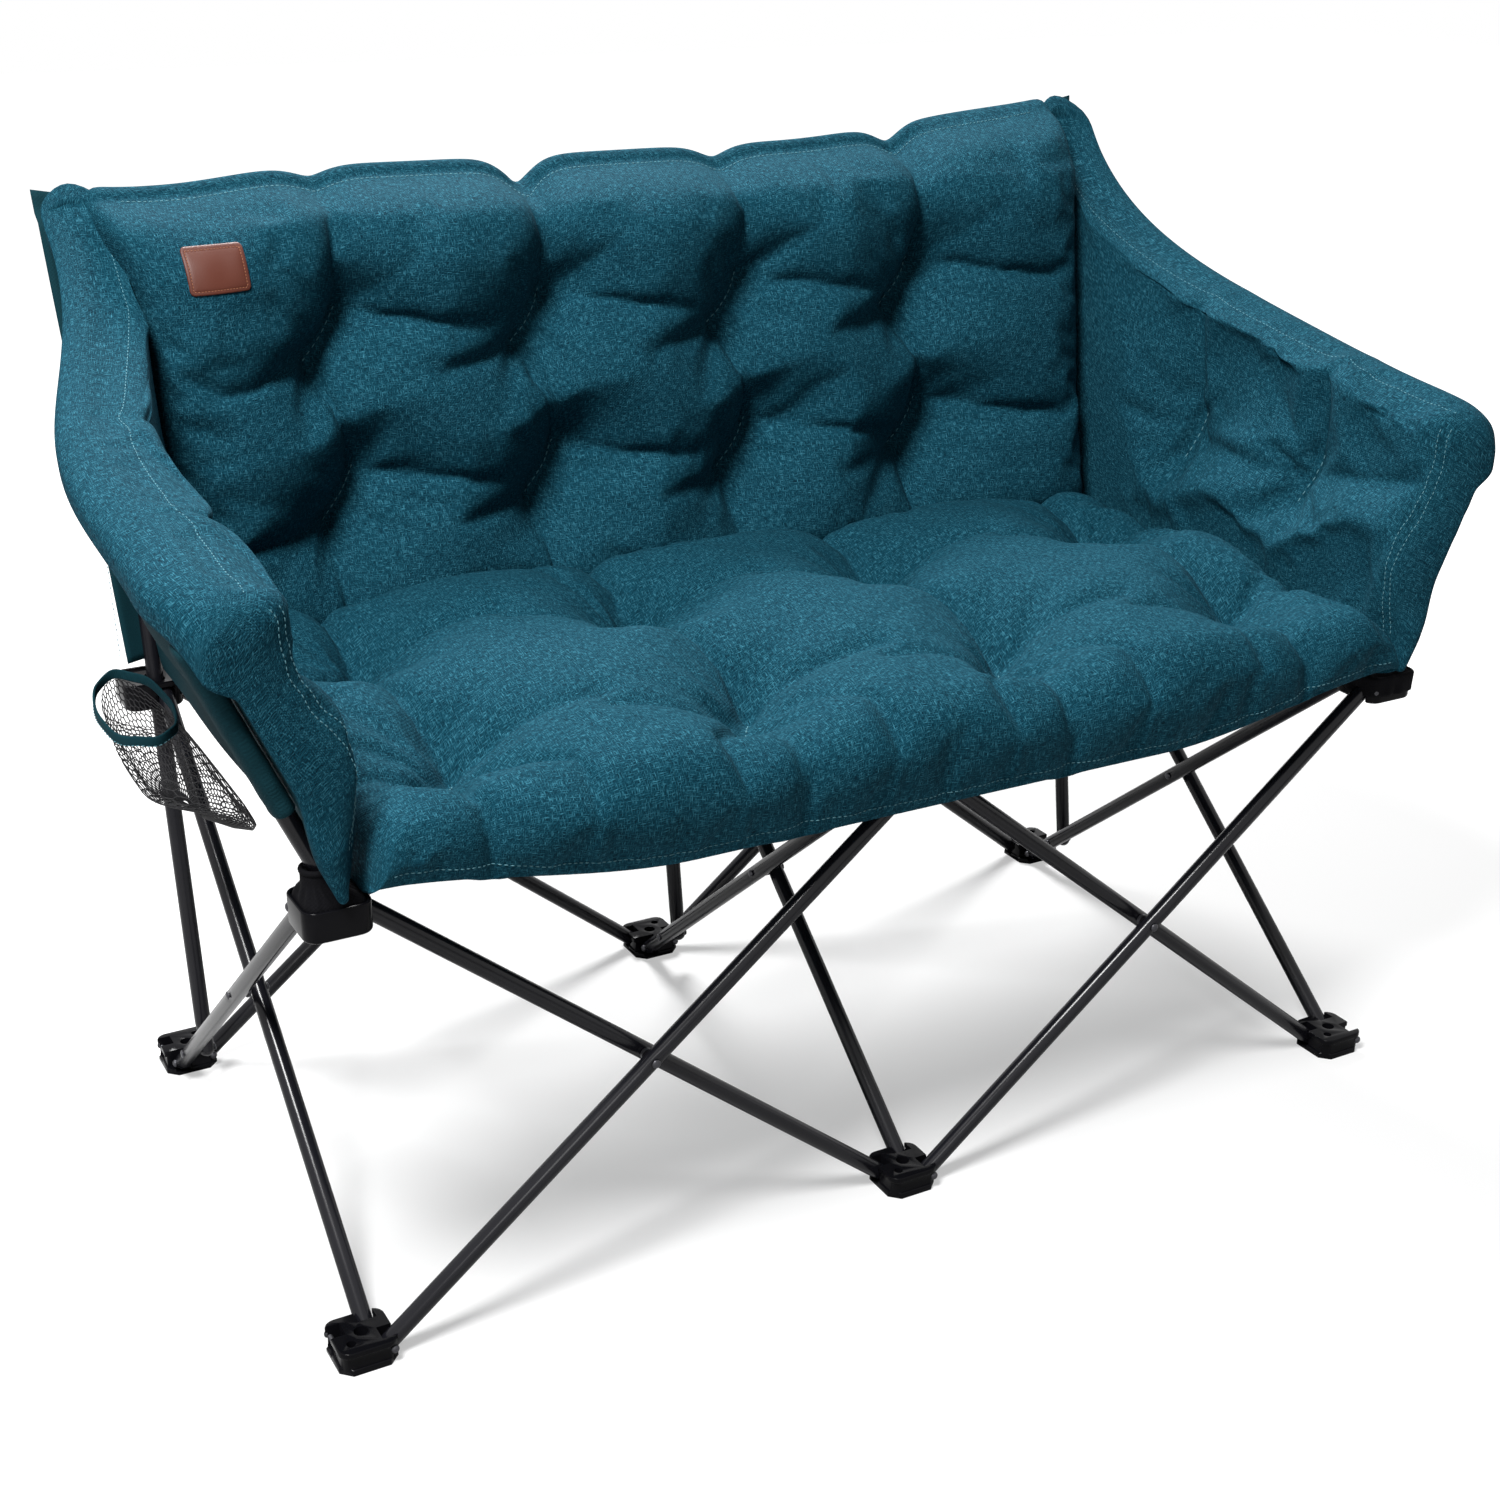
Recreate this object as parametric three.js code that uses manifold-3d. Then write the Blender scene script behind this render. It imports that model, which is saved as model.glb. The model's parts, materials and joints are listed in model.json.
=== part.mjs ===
// Folding camping loveseat: a double cross-frame chair for two people.
// Six moulded feet and six moulded hubs are joined by fourteen crossing steel tubes that fold like a
// lazy-tongs. Three back posts run up through the rear hubs, two arm posts stand in the front hubs,
// and the quilted seat, back and arms hang between them.
// Millimetres, +Z up, the front faces -Y. The origin is on the floor at the middle of the whole chair.

import * as THREE from 'three';
import { mergeVertices } from 'three/addons/utils/BufferGeometryUtils.js';
import Module from 'manifold-3d';

const wasm = await Module();
wasm.setup();

// Driving dimensions of the frame
const COLUMN_PITCH = 560;
const FRAME_DEPTH = 560;
const FRONT_ROW_Y = -290;
const FOOT_PIN_HEIGHT = 13;
const HUB_PIN_HEIGHT = 433;
const PIN_OFFSET = 22;
const LANE_OFFSET = 10.5;

// Driving dimensions of the tubes and their rivets
const TUBE_DIAMETER = 16.5;
const TUBE_WALL = 1.2;
const TUBE_TIP = 0.25;
const PIN_DIAMETER = 4.8;
const PIN_HOLE_DIAMETER = 6;
const RIVET_HEAD_DIAMETER = 8.4;
const RIVET_HEAD_HEIGHT = 1.6;
const SPACER_DIAMETER = 12;
const RUNNING_GAP = 0.4;
const REST_GAP = 0.3;
const CUT_OVERRUN = 2;

// Driving dimensions of the feet
const FOOT_WIDTH = 54;
const FOOT_HEIGHT = 24;
const FOOT_BASE_HEIGHT = 6.5;
const FOOT_FLOOR = 3.6;
const FOOT_DECK = 6;
const FOOT_WAIST_INSET = 2;
const FOOT_CORNER = 11;
const FOOT_CHAMFER = 10;
const FOOT_WELL_DIAMETER = 13;
const FOOT_WELL_DEPTH = 13;
const FOOT_SMALL_WELL_DIAMETER = 8.6;
const FOOT_SMALL_WELL_SHARE = 0.72;

// Driving dimensions of the hubs
const HUB_WIDTH = 58;
const HUB_BELOW_PIN = 13;
const HUB_DECK_ABOVE_PIN = 11.4;
const HUB_RIM_HEIGHT = 3;
const HUB_RIM_WALL = 3;
const HUB_CORNER = 13;
const HUB_BEVEL = 3;
const HUB_CEILING_GAP = 0.5;
const HUB_RIVET_INSET = 1;

// Driving dimensions of the back posts
const POST_PIN_ALONG_TUBE = 52;
const POST_TO_TUBE_GAP = 0.6;
const POST_AT_HUB_Y = -5.2;
const POST_TRAVEL_Y = 8.4;
const POST_BELOW_BACK_TOP = 48;
const POST_GUIDE_GAP = 0.5;

// Driving dimensions of the arm posts
const ARM_PIVOT_Y = -6;
const ARM_PIVOT_ABOVE_DECK = 12;
const ARM_LEAN_DEG = 24;
const ARM_POST_BELOW_TOP = 53.1;
const EAR_THICKNESS = 3;
const EAR_WIDTH = 15;
const SLEEVE_WALL = 2;
const SLEEVE_START = 52;
const SLEEVE_CAP = 3;

// Driving dimensions of the quilted pads
const SEAT_INSIDE_POSTS = 26.5;
const SEAT_FRONT_Y = -347;
const SEAT_LIP_Y = -321.5;
const SEAT_LIP_DEPTH = 12;
const SEAT_LIP_HEIGHT = 428;
const SEAT_LIP_END_HEIGHT = 466;
const SEAT_LIP_FLAT_HALF = 250;
const SEAT_ROLL_TOP_Y = -302;
const SEAT_BACK_Y = 193;
const SEAT_TOP_HEIGHT = 541;
const SEAT_FRONT_TOP_HEIGHT = 524;
const SEAT_SAG = 20;
const SEAT_EDGE = 34;
const SEAT_EDGE_REACH = 68;
const SEAT_ROLL_SHARE = 0.34;
const SEAT_SAG_BACK_SHARE = 1 / 2;
const SEAT_TUFT_DEPTH = 26;
const SEAT_TUFT_REACH = 92;
const SEAT_TUFT_X = [-430, -140, 140, 430];
const SEAT_TUFT_Y = [-205, 10];

// Driving dimensions of the back
const BACK_ABOVE_HUB = 14.6;
const BACK_TOP_HEIGHT = 920;
const BACK_CORNER_RISE = 18;
const BACK_INSIDE_POSTS = 22;
const BACK_THICKNESS = 92;
const BACK_EDGE = 20;
const BACK_TOP_REACH_SHARE = 0.8;
const BACK_BOTTOM_REACH_SHARE = 0.9;
const BACK_SIDE_REACH_SHARE = 0.7;
const BACK_TUFT_DEPTH = 34;
const BACK_TUFT_REACH = 96;
const BACK_TUFT_X = [-358, -136, 94, 318];
const BACK_TUFT_Z = [617, 772];
const BACK_ROLL_DEPTH = 17;
const BACK_SCALLOP = 6;
const BACK_SCALLOPS = 4;
const LINING_THICKNESS = 2;
const LINING_HALF_WIDTH_LOW = 578;

// Driving dimensions of the arms
const ARM_ABOVE_HUB = 8.6;
const ARM_FRONT_ABOVE_POCKET = 5.3;
const ARM_NOTCH_SHARE = 0.125;
const ARM_FRONT_Y = -326;
const ARM_TOP_FRONT_HEIGHT = 716;
const ARM_SLOPE_RISE = 75;
const ARM_SWEEP_RISE = 150;
const ARM_SWEEP_POWER = 4.6;
const ARM_BULGE = 34;
const ARM_BACK_TOP_X = 606;
const ARM_THICKNESS = 72;
const ARM_FRONT_EDGE = 36;
const ARM_FRONT_ROUND = 46;
const ARM_ROLL_HALF_HEIGHT = 24;
const ARM_ROLL_BACK_HALF_HEIGHT = 14;
const ARM_ROLL_OUT_FRONT = 27;
const ARM_ROLL_OUT_BACK = 4;
const ARM_ROLL_FRONT_SHARE = 1 / 2;
const ARM_ROLL_START_SHARE = 2 / 3;
const ARM_ROLL_TURN = -Math.PI / 6;
const ARM_TUFT_DEPTH = 24;
const ARM_TUFT_REACH = 88;
const ARM_TUFTS = [[-140, 608], [48, 613]];

// Driving dimensions of the trim
const PATCH_WIDTH = 58;
const PATCH_HEIGHT = 42;
const PATCH_THICKNESS = 1.6;
const PATCH_CLEARANCE = 0.8;
const PATCH_X = -470;
const PATCH_BELOW_BACK_TOP = 67;
const PATCH_PROBE_SHARES = [-1 / 2, -1 / 4, 0, 1 / 4, 1 / 2];
const CUP_Y = 50;
const CUP_RIM_ABOVE_ARM = 47;
const CUP_RIM_BAND = 13;
const CUP_HALF_WIDTH = 33;
const CUP_HALF_LENGTH = 76;
const CUP_WALL = 2;
const BAG_DEPTH = 98;
const BAG_SECTIONS = [
  { riseShare: 0, inwardShare: 0.54, forwardShare: 0.55, widthShare: 1 / 3, lengthShare: 0.53 },
  { riseShare: 1 / 4, inwardShare: 0.42, forwardShare: 0.63, widthShare: 0.57, lengthShare: 1.05 },
  { riseShare: 2 / 3, inwardShare: 0.24, forwardShare: 0.53, widthShare: 0.78, lengthShare: 1.42 },
  { riseShare: 1, inwardShare: 0, forwardShare: 0, widthShare: 1, lengthShare: 1 },
];
const POCKET_HEIGHT = 34;
const POCKET_WALL = 3;
const POCKET_STEP_SHARES = [0, 1 / 3, 2 / 3, 1];

// Facets: how finely each round form is cut
const TUBE_SIDES = 10;
const HOLE_SIDES = 6;
const PIN_SIDES = 6;
const CLOTH_SIDES = 14;
const CORNER_STEPS = 2;
const TIP_STEPS = 2;
const SEAT_COLUMNS = 10;
const SEAT_ROWS = 12;
const BACK_COLUMNS = 26;
const BACK_ROWS = 14;
const LINING_COLUMNS = 12;
const LINING_ROWS = 4;
const ARM_COLUMNS = 14;
const ARM_ROWS = 12;
const PATCH_STEPS = 2;

// Derived places
const REAR_ROW_Y = FRONT_ROW_Y + FRAME_DEPTH;
const TUBE_RADIUS = TUBE_DIAMETER / 2;
const TUBE_SPAN = COLUMN_PITCH - 2 * PIN_OFFSET;
const TUBE_SPAN_SIDE = FRAME_DEPTH - 2 * PIN_OFFSET;
const TUBE_RISE = HUB_PIN_HEIGHT - FOOT_PIN_HEIGHT;
const COLUMNS = { left: -COLUMN_PITCH, middle: 0, right: COLUMN_PITCH };
const HUB_DECK_HEIGHT = HUB_PIN_HEIGHT + HUB_DECK_ABOVE_PIN;
const HUB_TOP_HEIGHT = HUB_DECK_HEIGHT + HUB_RIM_HEIGHT;
const SLOT_WIDTH = TUBE_DIAMETER + 2 * RUNNING_GAP;
const SLOT_START = PIN_OFFSET - TUBE_RADIUS - TUBE_TIP - RUNNING_GAP;
const SEAT_HALF_WIDTH = COLUMN_PITCH - SEAT_INSIDE_POSTS;
const BACK_HALF_WIDTH = COLUMN_PITCH - BACK_INSIDE_POSTS;
const POST_TOP_HEIGHT = BACK_TOP_HEIGHT - POST_BELOW_BACK_TOP;
const BACK_BOTTOM_HEIGHT = HUB_TOP_HEIGHT + BACK_ABOVE_HUB;
const ARM_BOTTOM_HEIGHT = HUB_TOP_HEIGHT + ARM_ABOVE_HUB;
const POCKET_TOP_HEIGHT = HUB_DECK_HEIGHT + REST_GAP + POCKET_HEIGHT;
const ARM_FRONT_BOTTOM_HEIGHT = POCKET_TOP_HEIGHT + ARM_FRONT_ABOVE_POCKET;
const CUP_RIM_HEIGHT = ARM_BOTTOM_HEIGHT + CUP_RIM_ABOVE_ARM;

// Materials
const steel = new THREE.MeshStandardMaterial({ color: 0x23242a, roughness: 0.38, metalness: 0.7 });
const plastic = new THREE.MeshStandardMaterial({ color: 0x0c0c0f, roughness: 0.3, metalness: 0 });
const rivetSteel = new THREE.MeshStandardMaterial({ color: 0x3b3c41, roughness: 0.35, metalness: 0.9 });
const quilt = new THREE.MeshStandardMaterial({ color: 0x0e4a5a, roughness: 0.9, metalness: 0 });
const liningCloth = new THREE.MeshStandardMaterial({ color: 0x0a2c31, roughness: 0.85, metalness: 0 });
const blackCloth = new THREE.MeshStandardMaterial({ color: 0x0b0b0d, roughness: 0.95, metalness: 0 });
const leather = new THREE.MeshStandardMaterial({ color: 0x6b2c17, roughness: 0.55, metalness: 0 });

const chair = new THREE.Group();

// Small tools for joining and cutting closed shapes
function merged(geometry) {
  const bare = geometry.clone();
  bare.deleteAttribute('normal');
  bare.deleteAttribute('uv');
  return mergeVertices(bare);
}

function solid(geometry) {
  const bare = merged(geometry);
  return new wasm.Manifold(new wasm.Mesh({
    numProp: 3,
    vertProperties: new Float32Array(bare.attributes.position.array),
    triVerts: new Uint32Array(bare.index.array),
  }));
}

function geometryOf(manifold) {
  const mesh = manifold.getMesh();
  const geometry = new THREE.BufferGeometry();
  geometry.setAttribute('position', new THREE.BufferAttribute(mesh.vertProperties, 3));
  geometry.setIndex(new THREE.BufferAttribute(mesh.triVerts, 1));
  geometry.computeVertexNormals();
  return geometry;
}

function block(x0, x1, y0, y1, z0, z1) {
  const geometry = new THREE.BoxGeometry(x1 - x0, y1 - y0, z1 - z0);
  geometry.translate((x0 + x1) / 2, (y0 + y1) / 2, (z0 + z1) / 2);
  return solid(geometry);
}

function rod(radius, start, end, sides) {
  const from = new THREE.Vector3(...start);
  const along = new THREE.Vector3(...end).sub(from);
  const geometry = new THREE.CylinderGeometry(radius, radius, along.length(), sides);
  const turn = new THREE.Quaternion().setFromUnitVectors(
    new THREE.Vector3(0, 1, 0), along.clone().normalize());
  geometry.applyQuaternion(turn);
  const middle = from.addScaledVector(along, 1 / 2);
  geometry.translate(middle.x, middle.y, middle.z);
  return solid(geometry);
}

function prism(outline, z0, z1) {
  const geometry = new THREE.ExtrudeGeometry(outline, {
    depth: z1 - z0, bevelEnabled: false, curveSegments: CORNER_STEPS });
  geometry.translate(0, 0, z0);
  return solid(geometry);
}

function roundedSquare(half, corner) {
  const shape = new THREE.Shape();
  const flat = half - corner;
  shape.absarc(flat, flat, corner, 0, Math.PI / 2);
  shape.absarc(-flat, flat, corner, Math.PI / 2, Math.PI);
  shape.absarc(-flat, -flat, corner, Math.PI, 3 * Math.PI / 2);
  shape.absarc(flat, -flat, corner, 3 * Math.PI / 2, 2 * Math.PI);
  shape.closePath();
  return shape;
}

function chamferedSquare(half, chamfer) {
  const flat = half - chamfer;
  const shape = new THREE.Shape();
  const corners = [
    [half, flat], [flat, half], [-flat, half], [-half, flat],
    [-half, -flat], [-flat, -half], [flat, -half], [half, -flat],
  ];
  corners.forEach(([x, y], index) => (index ? shape.lineTo(x, y) : shape.moveTo(x, y)));
  shape.closePath();
  return shape;
}

function joined(pieces) {
  return pieces.reduce((all, piece) => all.add(piece));
}

function cut(body, tools) {
  return tools.reduce((left, tool) => left.subtract(tool), body);
}

function place(name, geometry, material, position = [0, 0, 0], rotation = [0, 0, 0]) {
  const mesh = new THREE.Mesh(geometry, material);
  mesh.name = name;
  mesh.position.set(...position);
  mesh.rotation.set(...rotation, 'ZYX');
  chair.add(mesh);
  return mesh;
}

// A rivet along Y at a place, from one clear end to the other, with a domed head beyond each end
function rivetAlongY(x, z, yLow, yHigh) {
  const head = RIVET_HEAD_DIAMETER / 2;
  return joined([
    rod(PIN_DIAMETER / 2, [x, yLow - RIVET_HEAD_HEIGHT / 2, z],
      [x, yHigh + RIVET_HEAD_HEIGHT / 2, z], PIN_SIDES),
    rod(head, [x, yLow - RIVET_HEAD_HEIGHT, z], [x, yLow, z], PIN_SIDES),
    rod(head, [x, yHigh, z], [x, yHigh + RIVET_HEAD_HEIGHT, z], PIN_SIDES),
  ]);
}

// One socket of a foot or hub, drawn for a tube that leaves toward +X in the lane at y = laneY.
// The slot is open toward +X; zLow and zHigh say how far it is cut, and pin is its fixed rivet.
function socketSlot(laneY, half, zLow, zHigh) {
  return block(SLOT_START, half + CUT_OVERRUN, laneY - SLOT_WIDTH / 2, laneY + SLOT_WIDTH / 2, zLow, zHigh);
}

function socketPin(laneY, half, pinZ, hasCheek) {
  const outward = Math.sign(laneY);
  const cheekFace = half - FOOT_WAIST_INSET;
  const bareEnd = Math.abs(laneY) + TUBE_RADIUS + RUNNING_GAP;
  const end = outward * (hasCheek ? cheekFace : bareEnd);
  const root = outward * (Math.abs(laneY) - SLOT_WIDTH / 2 - CUT_OVERRUN);
  const headEnd = end + outward * RIVET_HEAD_HEIGHT;
  const shaftEnd = headEnd - outward * RIVET_HEAD_HEIGHT / 2;
  const headStart = hasCheek ? end - outward * RIVET_HEAD_HEIGHT : end;
  const shaft = rod(PIN_DIAMETER / 2, [PIN_OFFSET, root, pinZ], [PIN_OFFSET, shaftEnd, pinZ], PIN_SIDES);
  const head = rod(RIVET_HEAD_DIAMETER / 2, [PIN_OFFSET, headStart, pinZ],
    [PIN_OFFSET, headEnd, pinZ], PIN_SIDES);
  return shaft.add(head);
}

// Feet: one moulding with three tube sockets, closed on the side that faces away from the chair
const FOOT_SOCKETS = [
  { turn: 0, lane: -LANE_OFFSET },
  { turn: Math.PI / 2, lane: -LANE_OFFSET },
  { turn: Math.PI, lane: -LANE_OFFSET },
];

function turned(manifold, angle) {
  return manifold.rotate([0, 0, angle * 180 / Math.PI]);
}

function footGeometry(sideSocketHasCheek) {
  const half = FOOT_WIDTH / 2;
  const waist = half - FOOT_WAIST_INSET;
  let body = joined([
    prism(chamferedSquare(half, FOOT_CHAMFER), 0, FOOT_BASE_HEIGHT),
    prism(roundedSquare(waist, FOOT_CORNER - FOOT_WAIST_INSET), FOOT_FLOOR, FOOT_HEIGHT - FOOT_DECK / 2),
    prism(roundedSquare(half, FOOT_CORNER), FOOT_HEIGHT - FOOT_DECK, FOOT_HEIGHT),
  ]);
  const slots = FOOT_SOCKETS.map(({ turn, lane }) =>
    turned(socketSlot(lane, half, FOOT_FLOOR, FOOT_HEIGHT + CUT_OVERRUN), turn));
  const wellFloor = FOOT_HEIGHT - FOOT_WELL_DEPTH;
  const wellTop = FOOT_HEIGHT + CUT_OVERRUN;
  const smallWellX = (half - FOOT_SMALL_WELL_DIAMETER) * FOOT_SMALL_WELL_SHARE;
  const wells = [
    rod(FOOT_WELL_DIAMETER / 2, [0, 0, wellFloor], [0, 0, wellTop], 2 * PIN_SIDES),
    rod(FOOT_SMALL_WELL_DIAMETER / 2, [-smallWellX, -smallWellX, wellFloor],
      [-smallWellX, -smallWellX, wellTop], PIN_SIDES),
  ];
  if (!sideSocketHasCheek) {
    const cheek = block(SLOT_START, half + CUT_OVERRUN,
      -half - CUT_OVERRUN, -LANE_OFFSET - SLOT_WIDTH / 2 + REST_GAP,
      FOOT_BASE_HEIGHT, FOOT_HEIGHT + CUT_OVERRUN);
    wells.push(turned(cheek, Math.PI / 2));
  }
  body = cut(body, [...slots, ...wells]);
  const pins = FOOT_SOCKETS.map(({ turn, lane }, index) =>
    turned(socketPin(lane, half, FOOT_PIN_HEIGHT, index !== 1 || sideSocketHasCheek), turn));
  return geometryOf(joined([body, ...pins]));
}

const frontFoot = footGeometry(true);
const rearFoot = footGeometry(false);
for (const [column, x] of Object.entries(COLUMNS)) {
  place(`foot_front_${column}`, frontFoot, plastic, [x, FRONT_ROW_Y, 0]);
  place(`foot_rear_${column}`, rearFoot, plastic, [x, REAR_ROW_Y, 0], [0, 0, Math.PI]);
}

// Hubs: the mirrored moulding, open downward, with a raised rim for the cloth pocket on its deck
const POST_X = -LANE_OFFSET + TUBE_DIAMETER + POST_TO_TUBE_GAP;

function hubBlock() {
  const half = HUB_WIDTH / 2;
  const outline = roundedSquare(half - HUB_BEVEL, HUB_CORNER - HUB_BEVEL);
  const height = HUB_DECK_ABOVE_PIN + HUB_RIM_HEIGHT + HUB_BELOW_PIN - 2 * HUB_BEVEL;
  const geometry = new THREE.ExtrudeGeometry(outline, {
    depth: height, bevelEnabled: true, bevelThickness: HUB_BEVEL, bevelSize: HUB_BEVEL, bevelSegments: 1,
    curveSegments: CORNER_STEPS });
  geometry.translate(0, 0, HUB_BEVEL - HUB_BELOW_PIN);
  const inside = half - HUB_RIM_WALL;
  const dish = prism(roundedSquare(inside, HUB_CORNER - HUB_RIM_WALL), HUB_DECK_ABOVE_PIN,
    HUB_DECK_ABOVE_PIN + HUB_RIM_HEIGHT + CUT_OVERRUN);
  return solid(geometry).subtract(dish);
}

// turns: which sides hold a tube, as quarter turns of a socket drawn toward +X with its lane at +Y
function hubGeometry(turns, extras = []) {
  const half = HUB_WIDTH / 2;
  const ceiling = TUBE_RADIUS + TUBE_TIP + HUB_CEILING_GAP;
  const slots = turns.map((turn) => turned(
    socketSlot(LANE_OFFSET, half, -HUB_BELOW_PIN - CUT_OVERRUN, ceiling), turn * Math.PI / 2));
  const pins = turns.map((turn) => turned(
    socketPin(LANE_OFFSET, half + FOOT_WAIST_INSET - HUB_RIVET_INSET, 0, true), turn * Math.PI / 2));
  const cuts = extras.filter((extra) => extra.cut).map((extra) => extra.cut);
  const additions = extras.filter((extra) => extra.add).map((extra) => extra.add);
  const body = cut(hubBlock(), [...slots, ...cuts]);
  return geometryOf(joined([body, ...pins, ...additions]));
}

// The guide that a back post slides through, long enough for its small change of lean
function postGuide() {
  const halfX = TUBE_RADIUS + POST_GUIDE_GAP;
  const halfY = TUBE_RADIUS / Math.cos(postLean) + POST_GUIDE_GAP;
  const outline = new THREE.Shape();
  const slope = Math.tan(postLean);
  const front = POST_AT_HUB_Y - halfY + halfX - HUB_BELOW_PIN * slope;
  const rear = POST_AT_HUB_Y + POST_TRAVEL_Y + halfY - halfX + HUB_DECK_ABOVE_PIN * slope;
  outline.absarc(POST_X, rear, halfX, 0, Math.PI);
  outline.absarc(POST_X, front, halfX, Math.PI, 2 * Math.PI);
  outline.closePath();
  const geometry = new THREE.ExtrudeGeometry(outline, {
    depth: HUB_BELOW_PIN + HUB_DECK_ABOVE_PIN + 2 * CUT_OVERRUN,
    bevelEnabled: false,
    curveSegments: 2 * CORNER_STEPS,
  });
  geometry.translate(0, 0, -HUB_BELOW_PIN - CUT_OVERRUN);
  return solid(geometry);
}

// Two ears on the deck with a pin between them, for the foot of an arm post
function armEars() {
  const z = HUB_DECK_ABOVE_PIN + ARM_PIVOT_ABOVE_DECK;
  const inner = TUBE_RADIUS + RUNNING_GAP;
  const outer = inner + EAR_THICKNESS;
  const base = HUB_DECK_ABOVE_PIN - HUB_RIM_HEIGHT / 2;
  const ears = [-1, 1].map((side) => {
    const y0 = ARM_PIVOT_Y + Math.min(side * inner, side * outer);
    const y1 = ARM_PIVOT_Y + Math.max(side * inner, side * outer);
    return block(-EAR_WIDTH / 2, EAR_WIDTH / 2, y0, y1, base, z)
      .add(rod(EAR_WIDTH / 2, [0, y0, z], [0, y1, z], 2 * PIN_SIDES));
  });
  const pin = rivetAlongY(0, z, ARM_PIVOT_Y - outer, ARM_PIVOT_Y + outer);
  return joined([...ears, pin]);
}

// Slopes of the crossing tubes and of the back posts
const tubeAngle = Math.atan2(TUBE_RISE, TUBE_SPAN);
const tubeLength = Math.hypot(TUBE_SPAN, TUBE_RISE);
const sideAngle = Math.atan2(TUBE_RISE, TUBE_SPAN_SIDE);
const sideLength = Math.hypot(TUBE_SPAN_SIDE, TUBE_RISE);
const postPinY = REAR_ROW_Y - PIN_OFFSET - POST_PIN_ALONG_TUBE * Math.cos(sideAngle);
const postPinZ = FOOT_PIN_HEIGHT + POST_PIN_ALONG_TUBE * Math.sin(sideAngle);
const postLean = Math.atan2(REAR_ROW_Y + POST_AT_HUB_Y - postPinY, HUB_PIN_HEIGHT - postPinZ);
const postLength = (POST_TOP_HEIGHT - postPinZ) / Math.cos(postLean);

// Quarter turns: 0 right, 1 back, 2 left, 3 front
const HUB_TURNS = {
  front: { left: [0, 1], middle: [0, 1, 2], right: [1, 2] },
  rear: { left: [0, 3], middle: [0, 2, 3], right: [2, 3] },
};
for (const [column, x] of Object.entries(COLUMNS)) {
  const ears = column === 'middle' ? [] : [{ add: armEars() }];
  place(`hub_front_${column}`, hubGeometry(HUB_TURNS.front[column], ears), plastic,
    [x, FRONT_ROW_Y, HUB_PIN_HEIGHT]);
  place(`hub_rear_${column}`, hubGeometry(HUB_TURNS.rear[column], [{ cut: postGuide() }]), plastic,
    [x, REAR_ROW_Y, HUB_PIN_HEIGHT]);
}

// Tubes: drawn along +X from the lower rivet, with a rounded closed end beyond each end rivet
function tubeProfile(length) {
  const reach = TUBE_RADIUS + TUBE_TIP;
  const turns = Array.from({ length: TIP_STEPS + 1 }, (none, step) => step / TIP_STEPS * Math.PI / 2);
  const far = turns.map((turn) =>
    new THREE.Vector2(TUBE_RADIUS * Math.cos(turn), length + reach * Math.sin(turn)));
  const near = turns.map((turn) => new THREE.Vector2(TUBE_RADIUS * Math.cos(turn), -reach * Math.sin(turn)));
  near[TIP_STEPS].x = 0;
  far[TIP_STEPS].x = 0;
  return [...near.reverse(), ...far];
}

function tubeGeometry(length, holesAt) {
  const skin = new THREE.LatheGeometry(tubeProfile(length), TUBE_SIDES, Math.PI / TUBE_SIDES);
  skin.rotateZ(-Math.PI / 2);
  const boreReach = TUBE_WALL;
  const bore = rod(TUBE_RADIUS - TUBE_WALL, [-boreReach, 0, 0], [length + boreReach, 0, 0], TUBE_SIDES);
  const holes = holesAt.map((at) =>
    rod(PIN_HOLE_DIAMETER / 2, [at, -TUBE_DIAMETER, 0], [at, TUBE_DIAMETER, 0], HOLE_SIDES));
  return geometryOf(cut(solid(skin).subtract(bore), holes));
}

const rowTube = tubeGeometry(tubeLength, [0, tubeLength / 2, tubeLength]);
const sideTube = tubeGeometry(sideLength, [0, sideLength / 2, sideLength]);
const postCarrier = tubeGeometry(sideLength, [0, POST_PIN_ALONG_TUBE, sideLength / 2, sideLength]);

// A row tube stands in a foot at column x and leans toward +X (side 1) or -X (side -1)
function placeRowTube(name, x, rowY, side) {
  const y = rowY - side * LANE_OFFSET;
  const lean = side > 0 ? -tubeAngle : tubeAngle - Math.PI;
  place(name, rowTube, steel, [x + side * PIN_OFFSET, y, FOOT_PIN_HEIGHT], [0, lean, 0]);
}

for (const [row, rowY] of [['front', FRONT_ROW_Y], ['rear', REAR_ROW_Y]]) {
  placeRowTube(`${row}_tube_rising_right_1`, COLUMNS.left, rowY, 1);
  placeRowTube(`${row}_tube_rising_right_2`, COLUMNS.middle, rowY, 1);
  placeRowTube(`${row}_tube_rising_left_1`, COLUMNS.middle, rowY, -1);
  placeRowTube(`${row}_tube_rising_left_2`, COLUMNS.right, rowY, -1);
}
for (const [column, x] of Object.entries(COLUMNS)) {
  place(`side_tube_rising_back_${column}`, sideTube, steel,
    [x + LANE_OFFSET, FRONT_ROW_Y + PIN_OFFSET, FOOT_PIN_HEIGHT], [0, -sideAngle, Math.PI / 2]);
  place(`side_tube_rising_front_${column}`, postCarrier, steel,
    [x - LANE_OFFSET, REAR_ROW_Y - PIN_OFFSET, FOOT_PIN_HEIGHT], [0, -sideAngle, -Math.PI / 2]);
}

// Crossing rivets: a shaft through both tubes, a head on each side and a spacer ring between
function crossingRivet() {
  const face = LANE_OFFSET + TUBE_RADIUS + REST_GAP;
  const gapHalf = LANE_OFFSET - TUBE_RADIUS - REST_GAP;
  return rivetAlongY(0, 0, -face, face)
    .add(rod(SPACER_DIAMETER / 2, [0, -gapHalf, 0], [0, gapHalf, 0], 2 * PIN_SIDES));
}

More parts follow.
